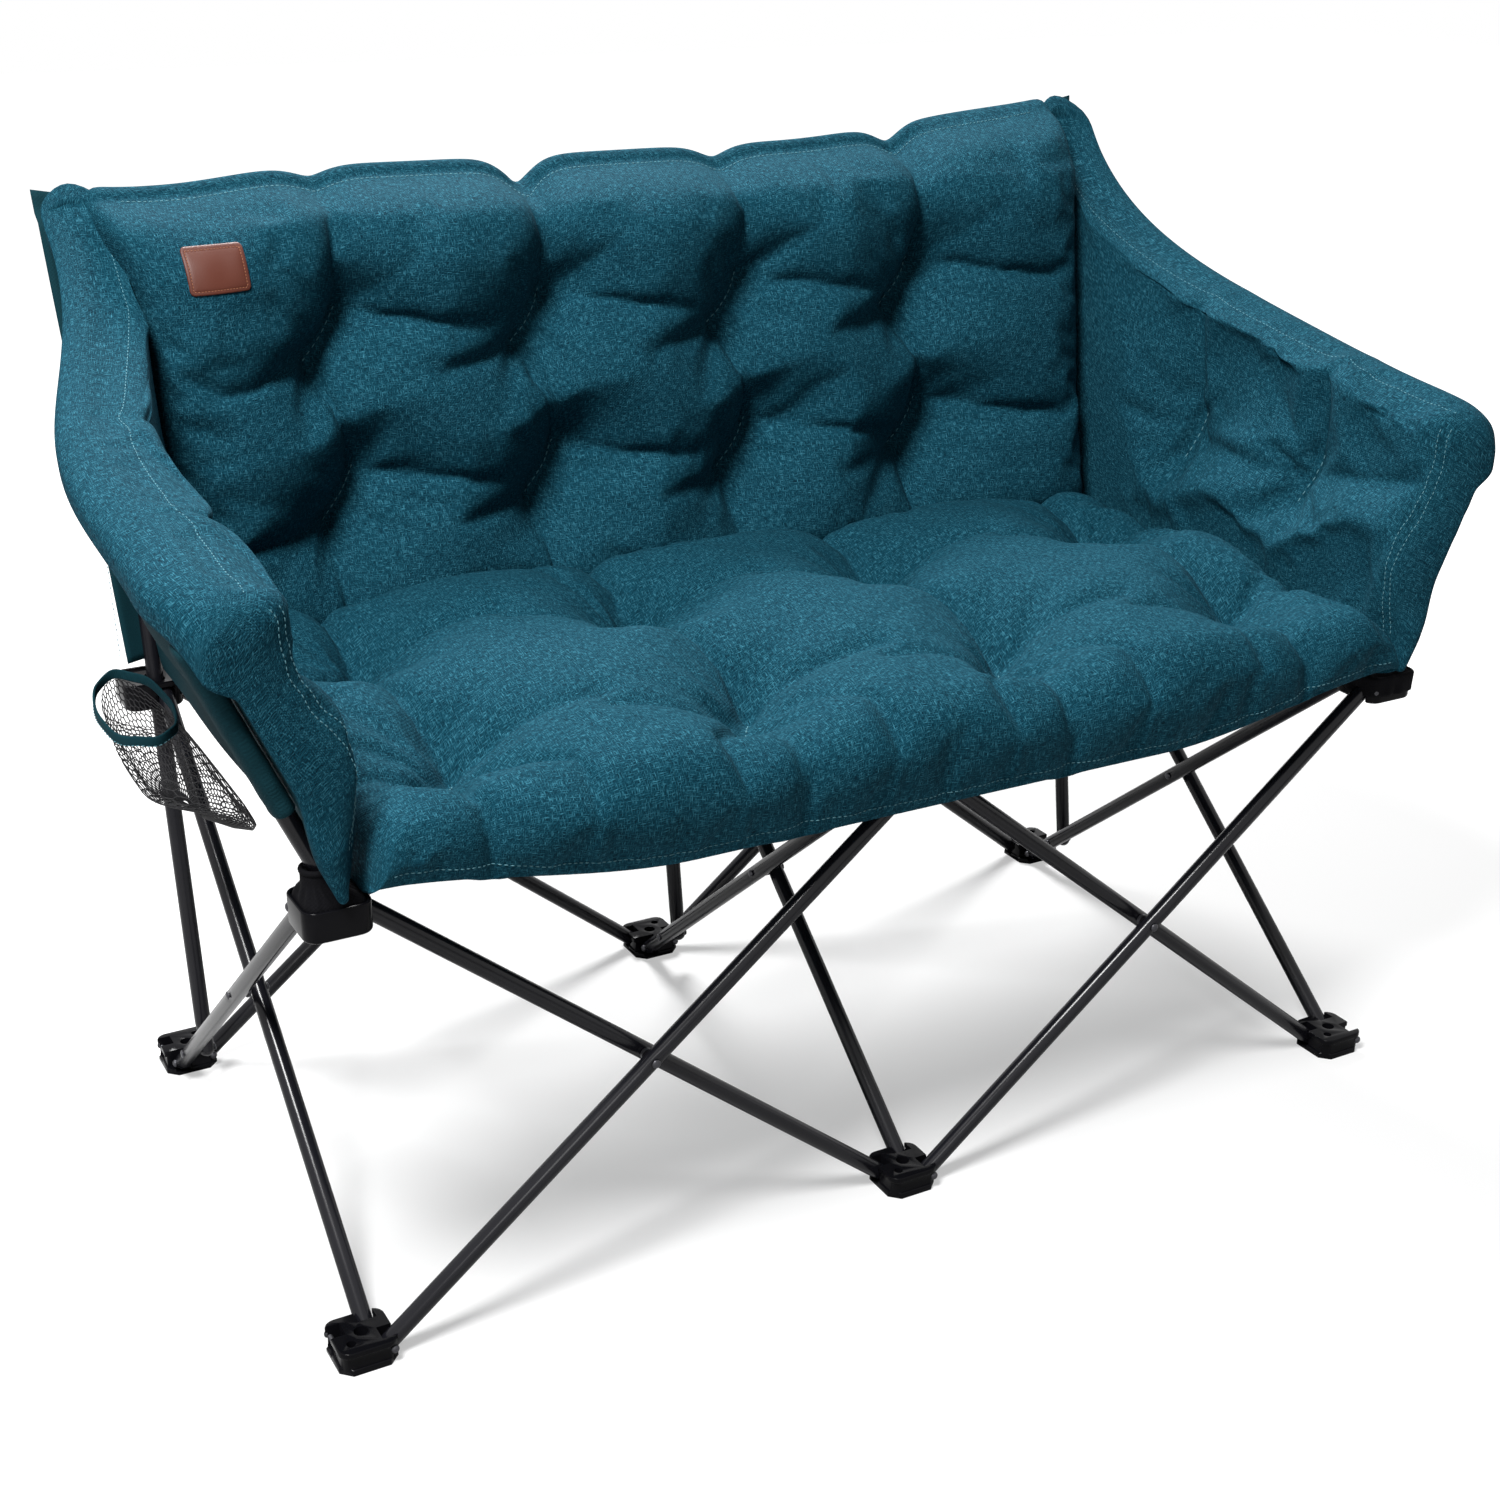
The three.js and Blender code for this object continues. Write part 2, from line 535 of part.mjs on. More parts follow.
const crossing = geometryOf(crossingRivet());
const crossingZ = (FOOT_PIN_HEIGHT + HUB_PIN_HEIGHT) / 2;
for (const [row, rowY] of [['front', FRONT_ROW_Y], ['rear', REAR_ROW_Y]]) {
  place(`rivet_${row}_left`, crossing, rivetSteel, [-COLUMN_PITCH / 2, rowY, crossingZ]);
  place(`rivet_${row}_right`, crossing, rivetSteel, [COLUMN_PITCH / 2, rowY, crossingZ]);
}
for (const [column, x] of Object.entries(COLUMNS)) {
  place(`rivet_side_${column}`, crossing, rivetSteel, [x, (FRONT_ROW_Y + REAR_ROW_Y) / 2, crossingZ],
    [0, 0, Math.PI / 2]);
}

// Back posts: pinned beside the front-rising side tubes, each one running up through a rear hub
const backPost = tubeGeometry(postLength, [0]);
const postRivetFace = (TUBE_DIAMETER + POST_TO_TUBE_GAP) / 2 + TUBE_RADIUS + REST_GAP;
const postRivet = geometryOf(rivetAlongY(0, 0, -postRivetFace, postRivetFace));
for (const [column, x] of Object.entries(COLUMNS)) {
  place(`back_post_${column}`, backPost, steel, [x + POST_X, postPinY, postPinZ],
    [0, postLean - Math.PI / 2, Math.PI / 2]);
  place(`rivet_back_post_${column}`, postRivet, rivetSteel,
    [x + (POST_X - LANE_OFFSET) / 2, postPinY, postPinZ], [0, 0, Math.PI / 2]);
}

// Arm posts: pinned between the ears of the outer front hubs, leaning outward
const armLean = THREE.MathUtils.degToRad(ARM_LEAN_DEG);
const armPivotZ = HUB_DECK_HEIGHT + ARM_PIVOT_ABOVE_DECK;
const armPostLength = (ARM_TOP_FRONT_HEIGHT - ARM_POST_BELOW_TOP - armPivotZ) / Math.cos(armLean);
const armPost = tubeGeometry(armPostLength, [0]);
for (const [column, side] of [['left', -1], ['right', 1]]) {
  place(`arm_post_${column}`, armPost, steel,
    [COLUMNS[column], FRONT_ROW_Y + ARM_PIVOT_Y, armPivotZ], [0, side * armLean - Math.PI / 2, 0]);
}

// Quilted pads: a closed slab over a grid of columns and rows, given by its two faces
function slab(columns, rows, faceA, faceB) {
  const positions = [];
  const index = [];
  const stride = columns + 1;
  for (const face of [faceA, faceB]) {
    for (let row = 0; row <= rows; row++) {
      for (let column = 0; column <= columns; column++) {
        positions.push(...face(column / columns, row / rows));
      }
    }
  }
  const offset = stride * (rows + 1);
  for (let row = 0; row < rows; row++) {
    for (let column = 0; column < columns; column++) {
      const a = row * stride + column;
      const b = a + 1;
      const c = a + stride;
      const d = c + 1;
      index.push(a, b, d, a, d, c, offset + a, offset + d, offset + b, offset + a, offset + c, offset + d);
    }
  }
  const border = [];
  for (let column = 0; column < columns; column++) border.push(column);
  for (let row = 0; row < rows; row++) border.push(row * stride + columns);
  for (let column = columns; column > 0; column--) border.push(rows * stride + column);
  for (let row = rows; row > 0; row--) border.push(row * stride);
  border.forEach((a, at) => {
    const b = border[(at + 1) % border.length];
    index.push(a, offset + a, offset + b, a, offset + b, b);
  });
  const geometry = new THREE.BufferGeometry();
  geometry.setAttribute('position', new THREE.BufferAttribute(new Float32Array(positions), 3));
  geometry.setIndex(index);
  const volume = solid(geometry).volume();
  if (volume < 0) {
    for (let at = 0; at < index.length; at += 3) {
      [index[at + 1], index[at + 2]] = [index[at + 2], index[at + 1]];
    }
    geometry.setIndex(index);
  }
  geometry.computeVertexNormals();
  return geometry;
}

function mix(a, b, t) {
  return a + (b - a) * t;
}

function smooth(t) {
  const c = Math.min(Math.max(t, 0), 1);
  return c * c * (3 - 2 * c);
}

// How far a stuffed face falls toward its sewn border: 0 on the border, 1 well inside
function borderRise(distance, reach) {
  const t = Math.min(Math.max(distance / reach, 0), 1);
  return Math.sqrt(1 - (1 - t) * (1 - t));
}

// How far the sewn tufts pull a face in at a place: 1 at a stitch, fading over the reach
function tuftPullAt(a, b, tufts, reach) {
  return Math.max(...tufts.map(([tuftA, tuftB]) => {
    const d = Math.hypot(a - tuftA, b - tuftB) / reach;
    return Math.exp(-2 * d * d);
  }));
}

// Seat: four stuffed panels side by side, sagging between the hubs, rolled down over the front row
const seatTufts = SEAT_TUFT_X.flatMap((x) => SEAT_TUFT_Y.map((y) => [x, y]));

function seatBottom(x, y) {
  const fromHub = Math.min(Math.abs(x), COLUMN_PITCH - Math.abs(x)) - HUB_WIDTH / 2;
  const between = smooth(fromHub / ((COLUMN_PITCH - HUB_WIDTH) / 2));
  const towardBack = (y - SEAT_FRONT_Y) / (SEAT_BACK_Y - SEAT_FRONT_Y);
  return HUB_TOP_HEIGHT + REST_GAP - SEAT_SAG * between * mix(1, SEAT_SAG_BACK_SHARE, towardBack);
}

function seatTop(x, y) {
  const fromBack = borderRise(SEAT_BACK_Y - y, SEAT_EDGE_REACH);
  const fromSide = borderRise(SEAT_HALF_WIDTH - Math.abs(x), SEAT_EDGE_REACH);
  const towardBack = (y - SEAT_ROLL_TOP_Y) / (SEAT_BACK_Y - SEAT_ROLL_TOP_Y);
  const full = mix(SEAT_FRONT_TOP_HEIGHT, SEAT_TOP_HEIGHT, Math.sin(Math.PI * towardBack));
  const pulled = full - SEAT_TUFT_DEPTH * tuftPullAt(x, y, seatTufts, SEAT_TUFT_REACH);
  return mix(seatBottom(x, y) + SEAT_EDGE, pulled, Math.min(fromBack, fromSide));
}

function seatLipHeight(x) {
  const beyond = smooth((Math.abs(x) - SEAT_LIP_FLAT_HALF) / (COLUMN_PITCH - SEAT_LIP_FLAT_HALF));
  return mix(SEAT_LIP_HEIGHT, SEAT_LIP_END_HEIGHT, beyond);
}

// The upper face: up the front roll in an arc from the lip, then back along the seat
function seatUpper(x, v) {
  if (v >= SEAT_ROLL_SHARE) {
    const y = mix(SEAT_ROLL_TOP_Y, SEAT_BACK_Y, (v - SEAT_ROLL_SHARE) / (1 - SEAT_ROLL_SHARE));
    return [x, y, seatTop(x, y)];
  }
  const turn = Math.PI * v / SEAT_ROLL_SHARE;
  const low = seatLipHeight(x);
  const high = seatTop(x, SEAT_ROLL_TOP_Y);
  const backOfArc = mix(SEAT_LIP_Y - SEAT_LIP_DEPTH, SEAT_ROLL_TOP_Y, v / SEAT_ROLL_SHARE);
  return [x, mix(backOfArc, SEAT_FRONT_Y, Math.sin(turn)), mix(low, high, (1 - Math.cos(turn)) / 2)];
}

function seatUnder(x, v) {
  if (v >= SEAT_ROLL_SHARE) {
    const y = mix(SEAT_ROLL_TOP_Y, SEAT_BACK_Y, (v - SEAT_ROLL_SHARE) / (1 - SEAT_ROLL_SHARE));
    return [x, y, seatBottom(x, y)];
  }
  const low = seatLipHeight(x);
  const inner = Math.max(seatBottom(x, SEAT_LIP_Y), low);
  const half = SEAT_ROLL_SHARE / 2;
  if (v < half) return [x, SEAT_LIP_Y, mix(low, inner, v / half)];
  const y = mix(SEAT_LIP_Y, SEAT_ROLL_TOP_Y, (v - half) / half);
  return [x, y, mix(inner, seatBottom(x, y), (v - half) / half)];
}

function seatPanel(x0, x1) {
  return slab(SEAT_COLUMNS, SEAT_ROWS, (u, v) => seatUpper(mix(x0, x1, u), v),
    (u, v) => seatUnder(mix(x0, x1, u), v));
}

const seam = REST_GAP / 2;
const halfPitch = COLUMN_PITCH / 2;
place('seat_panel_left_outer', seatPanel(-SEAT_HALF_WIDTH, -halfPitch - seam), quilt);
place('seat_panel_left_inner', seatPanel(-halfPitch + seam, -seam), quilt);
place('seat_panel_right_inner', seatPanel(seam, halfPitch - seam), quilt);
place('seat_panel_right_outer', seatPanel(halfPitch + seam, SEAT_HALF_WIDTH), quilt);

// Back: one long pad hung on the three posts, with a rolled top edge over the post ends
const backTufts = BACK_TUFT_X.flatMap((x) => BACK_TUFT_Z.map((z) => [x, z]));

const postClear = TUBE_RADIUS / Math.cos(postLean) + REST_GAP;

function postLineY(z) {
  return postPinY + (z - postPinZ) * Math.tan(postLean);
}

function backHeight(u, v) {
  const scallop = Math.abs(Math.sin(BACK_SCALLOPS * Math.PI * (u + 1) / 2));
  const top = BACK_TOP_HEIGHT + BACK_CORNER_RISE * u ** 4 - BACK_SCALLOP * (1 - scallop);
  return mix(BACK_BOTTOM_HEIGHT, top, v);
}

function backRear(u, v) {
  const z = backHeight(u, v);
  const overPosts = smooth((z - POST_TOP_HEIGHT - TUBE_DIAMETER) / (TUBE_DIAMETER / 2));
  return postLineY(z) - postClear + BACK_ROLL_DEPTH * overPosts;
}

function backFront(u, v) {
  const z = backHeight(u, v);
  const fromTop = backHeight(u, 1) - z;
  const fromBottom = z - BACK_BOTTOM_HEIGHT;
  const fromSide = (1 - Math.abs(u)) * BACK_HALF_WIDTH;
  const swell = Math.min(borderRise(fromTop, BACK_THICKNESS * BACK_TOP_REACH_SHARE),
    borderRise(fromBottom, BACK_THICKNESS * BACK_BOTTOM_REACH_SHARE),
    borderRise(fromSide, BACK_THICKNESS * BACK_SIDE_REACH_SHARE));
  const pull = tuftPullAt(u * BACK_HALF_WIDTH, z, backTufts, BACK_TUFT_REACH);
  const depth = BACK_EDGE + (BACK_THICKNESS - BACK_EDGE - BACK_TUFT_DEPTH * pull) * swell;
  return backRear(u, v) - depth;
}

const signed = (t) => 2 * t - 1;
place('back_pad', slab(BACK_COLUMNS, BACK_ROWS,
  (s, v) => [signed(s) * BACK_HALF_WIDTH, backFront(signed(s), v), backHeight(signed(s), v)],
  (s, v) => [signed(s) * BACK_HALF_WIDTH, backRear(signed(s), v), backHeight(signed(s), v)]), quilt);

// Back lining: the plain cloth behind the posts, wider toward its top
function liningPoint(s, v, offset) {
  const z = mix(BACK_BOTTOM_HEIGHT, POST_TOP_HEIGHT, v);
  return [signed(s) * mix(LINING_HALF_WIDTH_LOW, ARM_BACK_TOP_X, v), postLineY(z) + postClear + offset, z];
}

place('back_lining', slab(LINING_COLUMNS, LINING_ROWS,
  (s, v) => liningPoint(s, v, 0), (s, v) => liningPoint(s, v, LINING_THICKNESS)), liningCloth);

// Arms: stuffed wings from the front hubs to the back posts, leaning outward toward the front
const armPostY = FRONT_ROW_Y + ARM_PIVOT_Y;
const sleeveRadius = TUBE_RADIUS + RUNNING_GAP + SLEEVE_WALL;
const armTopBackHeight = ARM_TOP_FRONT_HEIGHT + ARM_SLOPE_RISE + ARM_SWEEP_RISE;

function armRearY(z) {
  return postLineY(z) - postClear;
}

function armTopHeight(u) {
  return ARM_TOP_FRONT_HEIGHT + ARM_SLOPE_RISE * u + ARM_SWEEP_RISE * u ** ARM_SWEEP_POWER;
}

function armY(u, v) {
  return mix(ARM_FRONT_Y, armRearY(mix(ARM_BOTTOM_HEIGHT, armTopBackHeight, v)), u);
}

// The roll along the top is thick in front and draws in toward the corner of the back
function armRollHalf(u) {
  return mix(ARM_ROLL_HALF_HEIGHT, ARM_ROLL_BACK_HALF_HEIGHT, smooth(u));
}

// The turn round the top roll: from below its outer side up to the crown
function armRollTurn(v) {
  return mix(ARM_ROLL_TURN, Math.PI / 2, (v - ARM_ROLL_START_SHARE) / (1 - ARM_ROLL_START_SHARE));
}

function armHeight(u, v) {
  const notch = smooth((u - ARM_NOTCH_SHARE) / ARM_NOTCH_SHARE);
  const bottom = mix(ARM_FRONT_BOTTOM_HEIGHT, ARM_BOTTOM_HEIGHT, notch);
  const rollMiddle = armTopHeight(u) - armRollHalf(u);
  if (v > ARM_ROLL_START_SHARE) return rollMiddle + armRollHalf(u) * Math.sin(armRollTurn(v));
  const rollStart = rollMiddle + armRollHalf(u) * Math.sin(ARM_ROLL_TURN);
  return mix(bottom, rollStart, v / ARM_ROLL_START_SHARE);
}

// The plain outer face clears the arm post's sleeve at the front and follows the back post behind
function armPlainX(u, z) {
  const footX = COLUMN_PITCH - (sleeveRadius + 2 * REST_GAP) / Math.cos(armLean);
  const rearSlope = (ARM_BACK_TOP_X - footX) / (armTopBackHeight - armPivotZ);
  const slope = mix(Math.tan(armLean), rearSlope, smooth(u));
  const pastNotch = Math.max((u - ARM_NOTCH_SHARE) / (1 - ARM_NOTCH_SHARE), 0);
  return footX + (z - armPivotZ) * slope + ARM_BULGE * Math.sin(Math.PI * pastNotch) ** 2;
}

function armInnerPlainX(u, v) {
  const z = armHeight(u, v);
  const y = armY(u, v);
  const front = borderRise(y - ARM_FRONT_Y, ARM_FRONT_ROUND);
  const pull = tuftPullAt(y, z, ARM_TUFTS, ARM_TUFT_REACH);
  const thickness = mix(ARM_FRONT_EDGE, ARM_THICKNESS - ARM_TUFT_DEPTH * pull, front);
  return Math.max(armPlainX(u, z) - thickness, BACK_HALF_WIDTH + REST_GAP);
}

// side 1 is the outer face, side -1 the inner one; both turn over the roll and meet on its crown
function armFaceX(u, v, side) {
  if (v <= ARM_ROLL_START_SHARE) return side > 0 ? armPlainX(u, armHeight(u, v)) : armInnerPlainX(u, v);
  const z = armTopHeight(u) - armRollHalf(u);
  const front = borderRise(armY(u, v) - ARM_FRONT_Y, ARM_FRONT_ROUND);
  const rollOut = mix(ARM_ROLL_OUT_FRONT, ARM_ROLL_OUT_BACK, smooth(u)) * mix(ARM_ROLL_FRONT_SHARE, 1, front);
  const outer = armPlainX(u, z) + rollOut;
  const thickness = mix(ARM_FRONT_EDGE, ARM_THICKNESS, front);
  const inner = Math.max(armPlainX(u, z) - thickness, BACK_HALF_WIDTH + REST_GAP);
  const turn = armRollTurn(v);
  return (outer + inner) / 2 + side * (outer - inner) / 2 * Math.cos(Math.max(turn, 0));
}

for (const [column, side] of [['left', -1], ['right', 1]]) {
  place(`arm_pad_${column}`, slab(ARM_COLUMNS, ARM_ROWS,
    (u, v) => [side * armFaceX(u, v, -1), armY(u, v), armHeight(u, v)],
    (u, v) => [side * armFaceX(u, v, 1), armY(u, v), armHeight(u, v)]), quilt);
}

// Arm sleeves: the cloth tunnels that hold the arm posts, closed over the post ends
const sleeveInner = TUBE_RADIUS + RUNNING_GAP;
const sleeveEnd = armPostLength + TUBE_RADIUS + TUBE_TIP + RUNNING_GAP;
const sleeve = geometryOf(
  rod(sleeveRadius, [SLEEVE_START, 0, 0], [sleeveEnd + SLEEVE_CAP, 0, 0], CLOTH_SIDES)
    .subtract(rod(sleeveInner / Math.cos(Math.PI / CLOTH_SIDES), [0, 0, 0], [sleeveEnd, 0, 0], CLOTH_SIDES)));
for (const [column, side] of [['left', -1], ['right', 1]]) {
  place(`arm_sleeve_${column}`, sleeve, liningCloth,
    [COLUMNS[column], armPostY, armPivotZ], [0, side * armLean - Math.PI / 2, 0]);
}

// Corner pockets: black cloth cuffs on the outer front hubs, drawn in around the arm posts
function ringAt(halfX, halfY, corner, x, y, z) {
  const flatX = halfX - corner;
  const flatY = halfY - corner;
  const points = [];
  for (let quarter = 0; quarter < 4; quarter++) {
    const signX = quarter === 0 || quarter === 3 ? 1 : -1;
    const signY = quarter < 2 ? 1 : -1;
    for (let step = 0; step <= CORNER_STEPS; step++) {
      const angle = (quarter + step / CORNER_STEPS) * Math.PI / 2;
      points.push([
        x + signX * flatX + corner * Math.cos(angle),
        y + signY * flatY + corner * Math.sin(angle),
        z,
      ]);
    }
  }
  return points;
}

function loft(rings) {
  const count = rings[0].length;
  const positions = rings.flat(2);
  const index = [];
  for (let ring = 0; ring + 1 < rings.length; ring++) {
    for (let at = 0; at < count; at++) {
      const next = (at + 1) % count;
      const a = ring * count + at;
      const b = ring * count + next;
      index.push(a, b, b + count, a, b + count, a + count);
    }
  }
  const last = (rings.length - 1) * count;
  for (let at = 1; at + 1 < count; at++) {
    index.push(0, at + 1, at);
    index.push(last, last + at, last + at + 1);
  }
  const geometry = new THREE.BufferGeometry();
  geometry.setAttribute('position', new THREE.BufferAttribute(new Float32Array(positions), 3));
  geometry.setIndex(index);
  return solid(geometry);
}

function pocketGeometry(side) {
  const z0 = HUB_DECK_ABOVE_PIN + REST_GAP;
  const z1 = z0 + POCKET_HEIGHT;
  const base = HUB_WIDTH / 2 - HUB_RIM_WALL - REST_GAP;
  const corner = HUB_CORNER - HUB_RIM_WALL;
  const top = sleeveRadius + POCKET_WALL;
  const rise = z1 - HUB_DECK_ABOVE_PIN - ARM_PIVOT_ABOVE_DECK;
  const topX = side * rise * Math.tan(armLean);
  const middle = (z) => smooth((z - z0) / POCKET_HEIGHT);
  const ring = (z, inset) => {
    const share = middle(z);
    const reach = mix(base, top, share) - inset;
    return ringAt(reach, reach, mix(corner, top - POCKET_WALL, share) - inset / 2,
      topX * share, ARM_PIVOT_Y * share, z);
  };
  const steps = POCKET_STEP_SHARES.map((share) => mix(z0, z1, share));
  const outer = loft(steps.map((z) => ring(z, 0)));
  const inner = loft([ring(z0 - CUT_OVERRUN, POCKET_WALL), ...steps.map((z) => ring(z, POCKET_WALL)),
    ring(z1 + CUT_OVERRUN, POCKET_WALL)]);
  const z = HUB_DECK_ABOVE_PIN + ARM_PIVOT_ABOVE_DECK;
  const along = [side * Math.sin(armLean), 0, Math.cos(armLean)];
  const post = rod(TUBE_RADIUS + POCKET_WALL / 2, [0, ARM_PIVOT_Y, z],
    [along[0] * armPostLength, ARM_PIVOT_Y, z + along[2] * armPostLength], CLOTH_SIDES);
  return geometryOf(cut(outer, [inner, post]));
}

for (const [column, side] of [['left', -1], ['right', 1]]) {
  place(`corner_pocket_${column}`, pocketGeometry(side), blackCloth,
    [COLUMNS[column], FRONT_ROW_Y, HUB_PIN_HEIGHT]);
}

// Leather patch: bare, sewn flat on the crown of the back near its left top corner
function backFacetY(x, z) {
  const u = x / BACK_HALF_WIDTH;
  const column = (u + 1) / 2 * BACK_COLUMNS;
  const row = (z - BACK_BOTTOM_HEIGHT) / (backHeight(u, 1) - BACK_BOTTOM_HEIGHT) * BACK_ROWS;
  const corner = (i, j) => backFront(2 * i / BACK_COLUMNS - 1, j / BACK_ROWS);
  const [i, j] = [Math.floor(column), Math.floor(row)];
  const low = mix(corner(i, j), corner(i + 1, j), column - i);
  const high = mix(corner(i, j + 1), corner(i + 1, j + 1), column - i);
  return mix(low, high, row - j);
}

// A flat plate tilted as the back is there, just clear of the highest place below it
function patchPlane() {
  const z = BACK_TOP_HEIGHT - PATCH_BELOW_BACK_TOP;
  const [halfX, halfZ] = [PATCH_WIDTH / 2, PATCH_HEIGHT / 2];
  const slopeZ = (backFacetY(PATCH_X, z + halfZ) - backFacetY(PATCH_X, z - halfZ)) / PATCH_HEIGHT;
  const slopeX = (backFacetY(PATCH_X + halfX, z) - backFacetY(PATCH_X - halfX, z)) / PATCH_WIDTH;
  const rises = PATCH_PROBE_SHARES.flatMap((across) => PATCH_PROBE_SHARES.map((up) => {
    const [dx, dz] = [across * PATCH_WIDTH, up * PATCH_HEIGHT];
    return backFacetY(PATCH_X + dx, z + dz) - slopeX * dx - slopeZ * dz;
  }));
  const base = Math.min(...rises) - PATCH_CLEARANCE;
  return (s, t, depth) => {
    const [dx, dz] = [(s - 1 / 2) * PATCH_WIDTH, (t - 1 / 2) * PATCH_HEIGHT];
    return [PATCH_X + dx, base + slopeX * dx + slopeZ * dz - depth, z + dz];
  };
}

const patch = patchPlane();
place('leather_patch', slab(PATCH_STEPS, PATCH_STEPS,
  (s, t) => patch(s, t, 0), (s, t) => patch(s, t, PATCH_THICKNESS)), leather);

// Cup holder: a mesh bag under a bound rim, hung on the left arm, with its foot drawn toward the front
function cupRing(z, x, y, halfWidth, halfLength) {
  return Array.from({ length: CLOTH_SIDES }, (none, at) => {
    const angle = 2 * Math.PI * at / CLOTH_SIDES;
    return [x + halfWidth * Math.cos(angle), y + halfLength * Math.sin(angle), z];
  });
}

// The rim stands off the arm's outer face, where that face is widest beside the rim
function cupX() {
  const shareAt = (y) => (y - ARM_FRONT_Y) / (armRearY(CUP_RIM_HEIGHT) - ARM_FRONT_Y);
  const face = armPlainX(shareAt(CUP_Y), CUP_RIM_HEIGHT);
  return -face - CUP_HALF_WIDTH - REST_GAP;
}

const cupMiddleX = cupX();
const bagTop = CUP_RIM_HEIGHT - CUP_RIM_BAND - REST_GAP;
const bagBottom = CUP_RIM_HEIGHT - BAG_DEPTH;

function bagRing(section, inset, lift) {
  return cupRing(
    mix(bagBottom, bagTop, section.riseShare) + lift,
    cupMiddleX + section.inwardShare * CUP_HALF_WIDTH,
    CUP_Y - section.forwardShare * CUP_HALF_LENGTH,
    section.widthShare * CUP_HALF_WIDTH - inset,
    section.lengthShare * CUP_HALF_LENGTH - inset);
}

const bagOuter = loft(BAG_SECTIONS.map((section) => bagRing(section, 0, 0)));
const bagMouth = BAG_SECTIONS[BAG_SECTIONS.length - 1];
const bagInner = loft([
  ...BAG_SECTIONS.map((section, at) => bagRing(section, CUP_WALL, at ? 0 : CUP_WALL)),
  bagRing(bagMouth, CUP_WALL, CUT_OVERRUN),
]);
place('cup_holder_net', geometryOf(bagOuter.subtract(bagInner)), blackCloth);

function rimRings(inset, overrun) {
  return [CUP_RIM_HEIGHT - CUP_RIM_BAND - overrun, CUP_RIM_HEIGHT + overrun].map((z) =>
    cupRing(z, cupMiddleX, CUP_Y, CUP_HALF_WIDTH - inset, CUP_HALF_LENGTH - inset));
}

const rim = loft(rimRings(0, 0)).subtract(loft(rimRings(CUP_WALL, CUT_OVERRUN)));
place('cup_holder_rim', geometryOf(rim), liningCloth);

export default chair;
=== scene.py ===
# %% [markdown]
# Folding camping loveseat, a lesson in cells.
# The chair is a cross-braced frame of thin black tubes with moulded feet and hubs, under one quilted
# cover in petrol blue melange cloth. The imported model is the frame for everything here: it says where
# each piece is and how it moves. This script gives the frame its finish, and makes the stuffed cover,
# its stitching, the net cup holder and the leather patch as new meshes that sit on that frame.

# %% Load the frame
import json
import math

import bmesh
import bpy
import numpy as np
from mathutils import Matrix, Vector
from mathutils.bvhtree import BVHTree


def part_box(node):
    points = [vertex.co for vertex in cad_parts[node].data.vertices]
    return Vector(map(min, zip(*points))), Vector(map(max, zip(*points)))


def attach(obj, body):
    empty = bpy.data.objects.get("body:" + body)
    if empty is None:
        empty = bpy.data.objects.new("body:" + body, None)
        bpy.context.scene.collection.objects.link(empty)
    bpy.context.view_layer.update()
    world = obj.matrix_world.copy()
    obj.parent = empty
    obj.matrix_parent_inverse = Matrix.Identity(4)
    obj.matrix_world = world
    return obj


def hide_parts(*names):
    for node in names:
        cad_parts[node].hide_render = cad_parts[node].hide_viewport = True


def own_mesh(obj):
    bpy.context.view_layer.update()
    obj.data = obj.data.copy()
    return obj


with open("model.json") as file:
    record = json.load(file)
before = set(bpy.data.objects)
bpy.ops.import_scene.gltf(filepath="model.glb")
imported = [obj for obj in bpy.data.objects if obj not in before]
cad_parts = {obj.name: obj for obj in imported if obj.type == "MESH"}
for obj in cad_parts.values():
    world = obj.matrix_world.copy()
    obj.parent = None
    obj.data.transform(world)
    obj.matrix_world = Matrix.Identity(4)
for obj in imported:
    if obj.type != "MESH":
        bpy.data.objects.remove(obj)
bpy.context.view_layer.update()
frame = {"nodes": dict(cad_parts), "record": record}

# %% [markdown]
# Every later place is read from the frame, so the cover still fits if the frame is packed again. A
# node's box gives its lowest and highest corner. A tube's centre line comes from its own points: the
# longest direction through them is the axis, and the reach along it gives the two ends.

# %% Places read from the frame
def low(node):
    return np.array(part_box(node)[0], float)


def high(node):
    return np.array(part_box(node)[1], float)


def middle(node, axis):
    return float(low(node)[axis] + high(node)[axis]) / 2


def half_span(node, axis):
    return float(high(node)[axis] - low(node)[axis]) / 2


def tube_axis(node):
    """The two ends of a tube's centre line, lower end first, and its radius."""
    points = np.array([vertex.co for vertex in frame["nodes"][node].data.vertices], float)
    around = points - points.mean(0)
    along = np.linalg.svd(around, full_matrices=False)[2][0]
    along = along if along[2] > 0 else -along
    side = np.cross(along, (0, 0, 1.0))
    side /= np.linalg.norm(side)
    over = np.cross(side, along)
    across, upward, reach = points @ side, points @ over, points @ along
    centre = (across.min() + across.max()) / 2 * side + (upward.min() + upward.max()) / 2 * over
    return centre + reach.min() * along, centre + reach.max() * along, (across.max() - across.min()) / 2


def linked(name, data):
    """A new object in the scene."""
    obj = bpy.data.objects.new(name, data)
    bpy.context.scene.collection.objects.link(obj)
    return obj


def stands_for(piece, node, body=None):
    """The piece replaces a node of the frame and rides on a body."""
    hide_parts(node)
    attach(piece, body or BODY_OF[node])


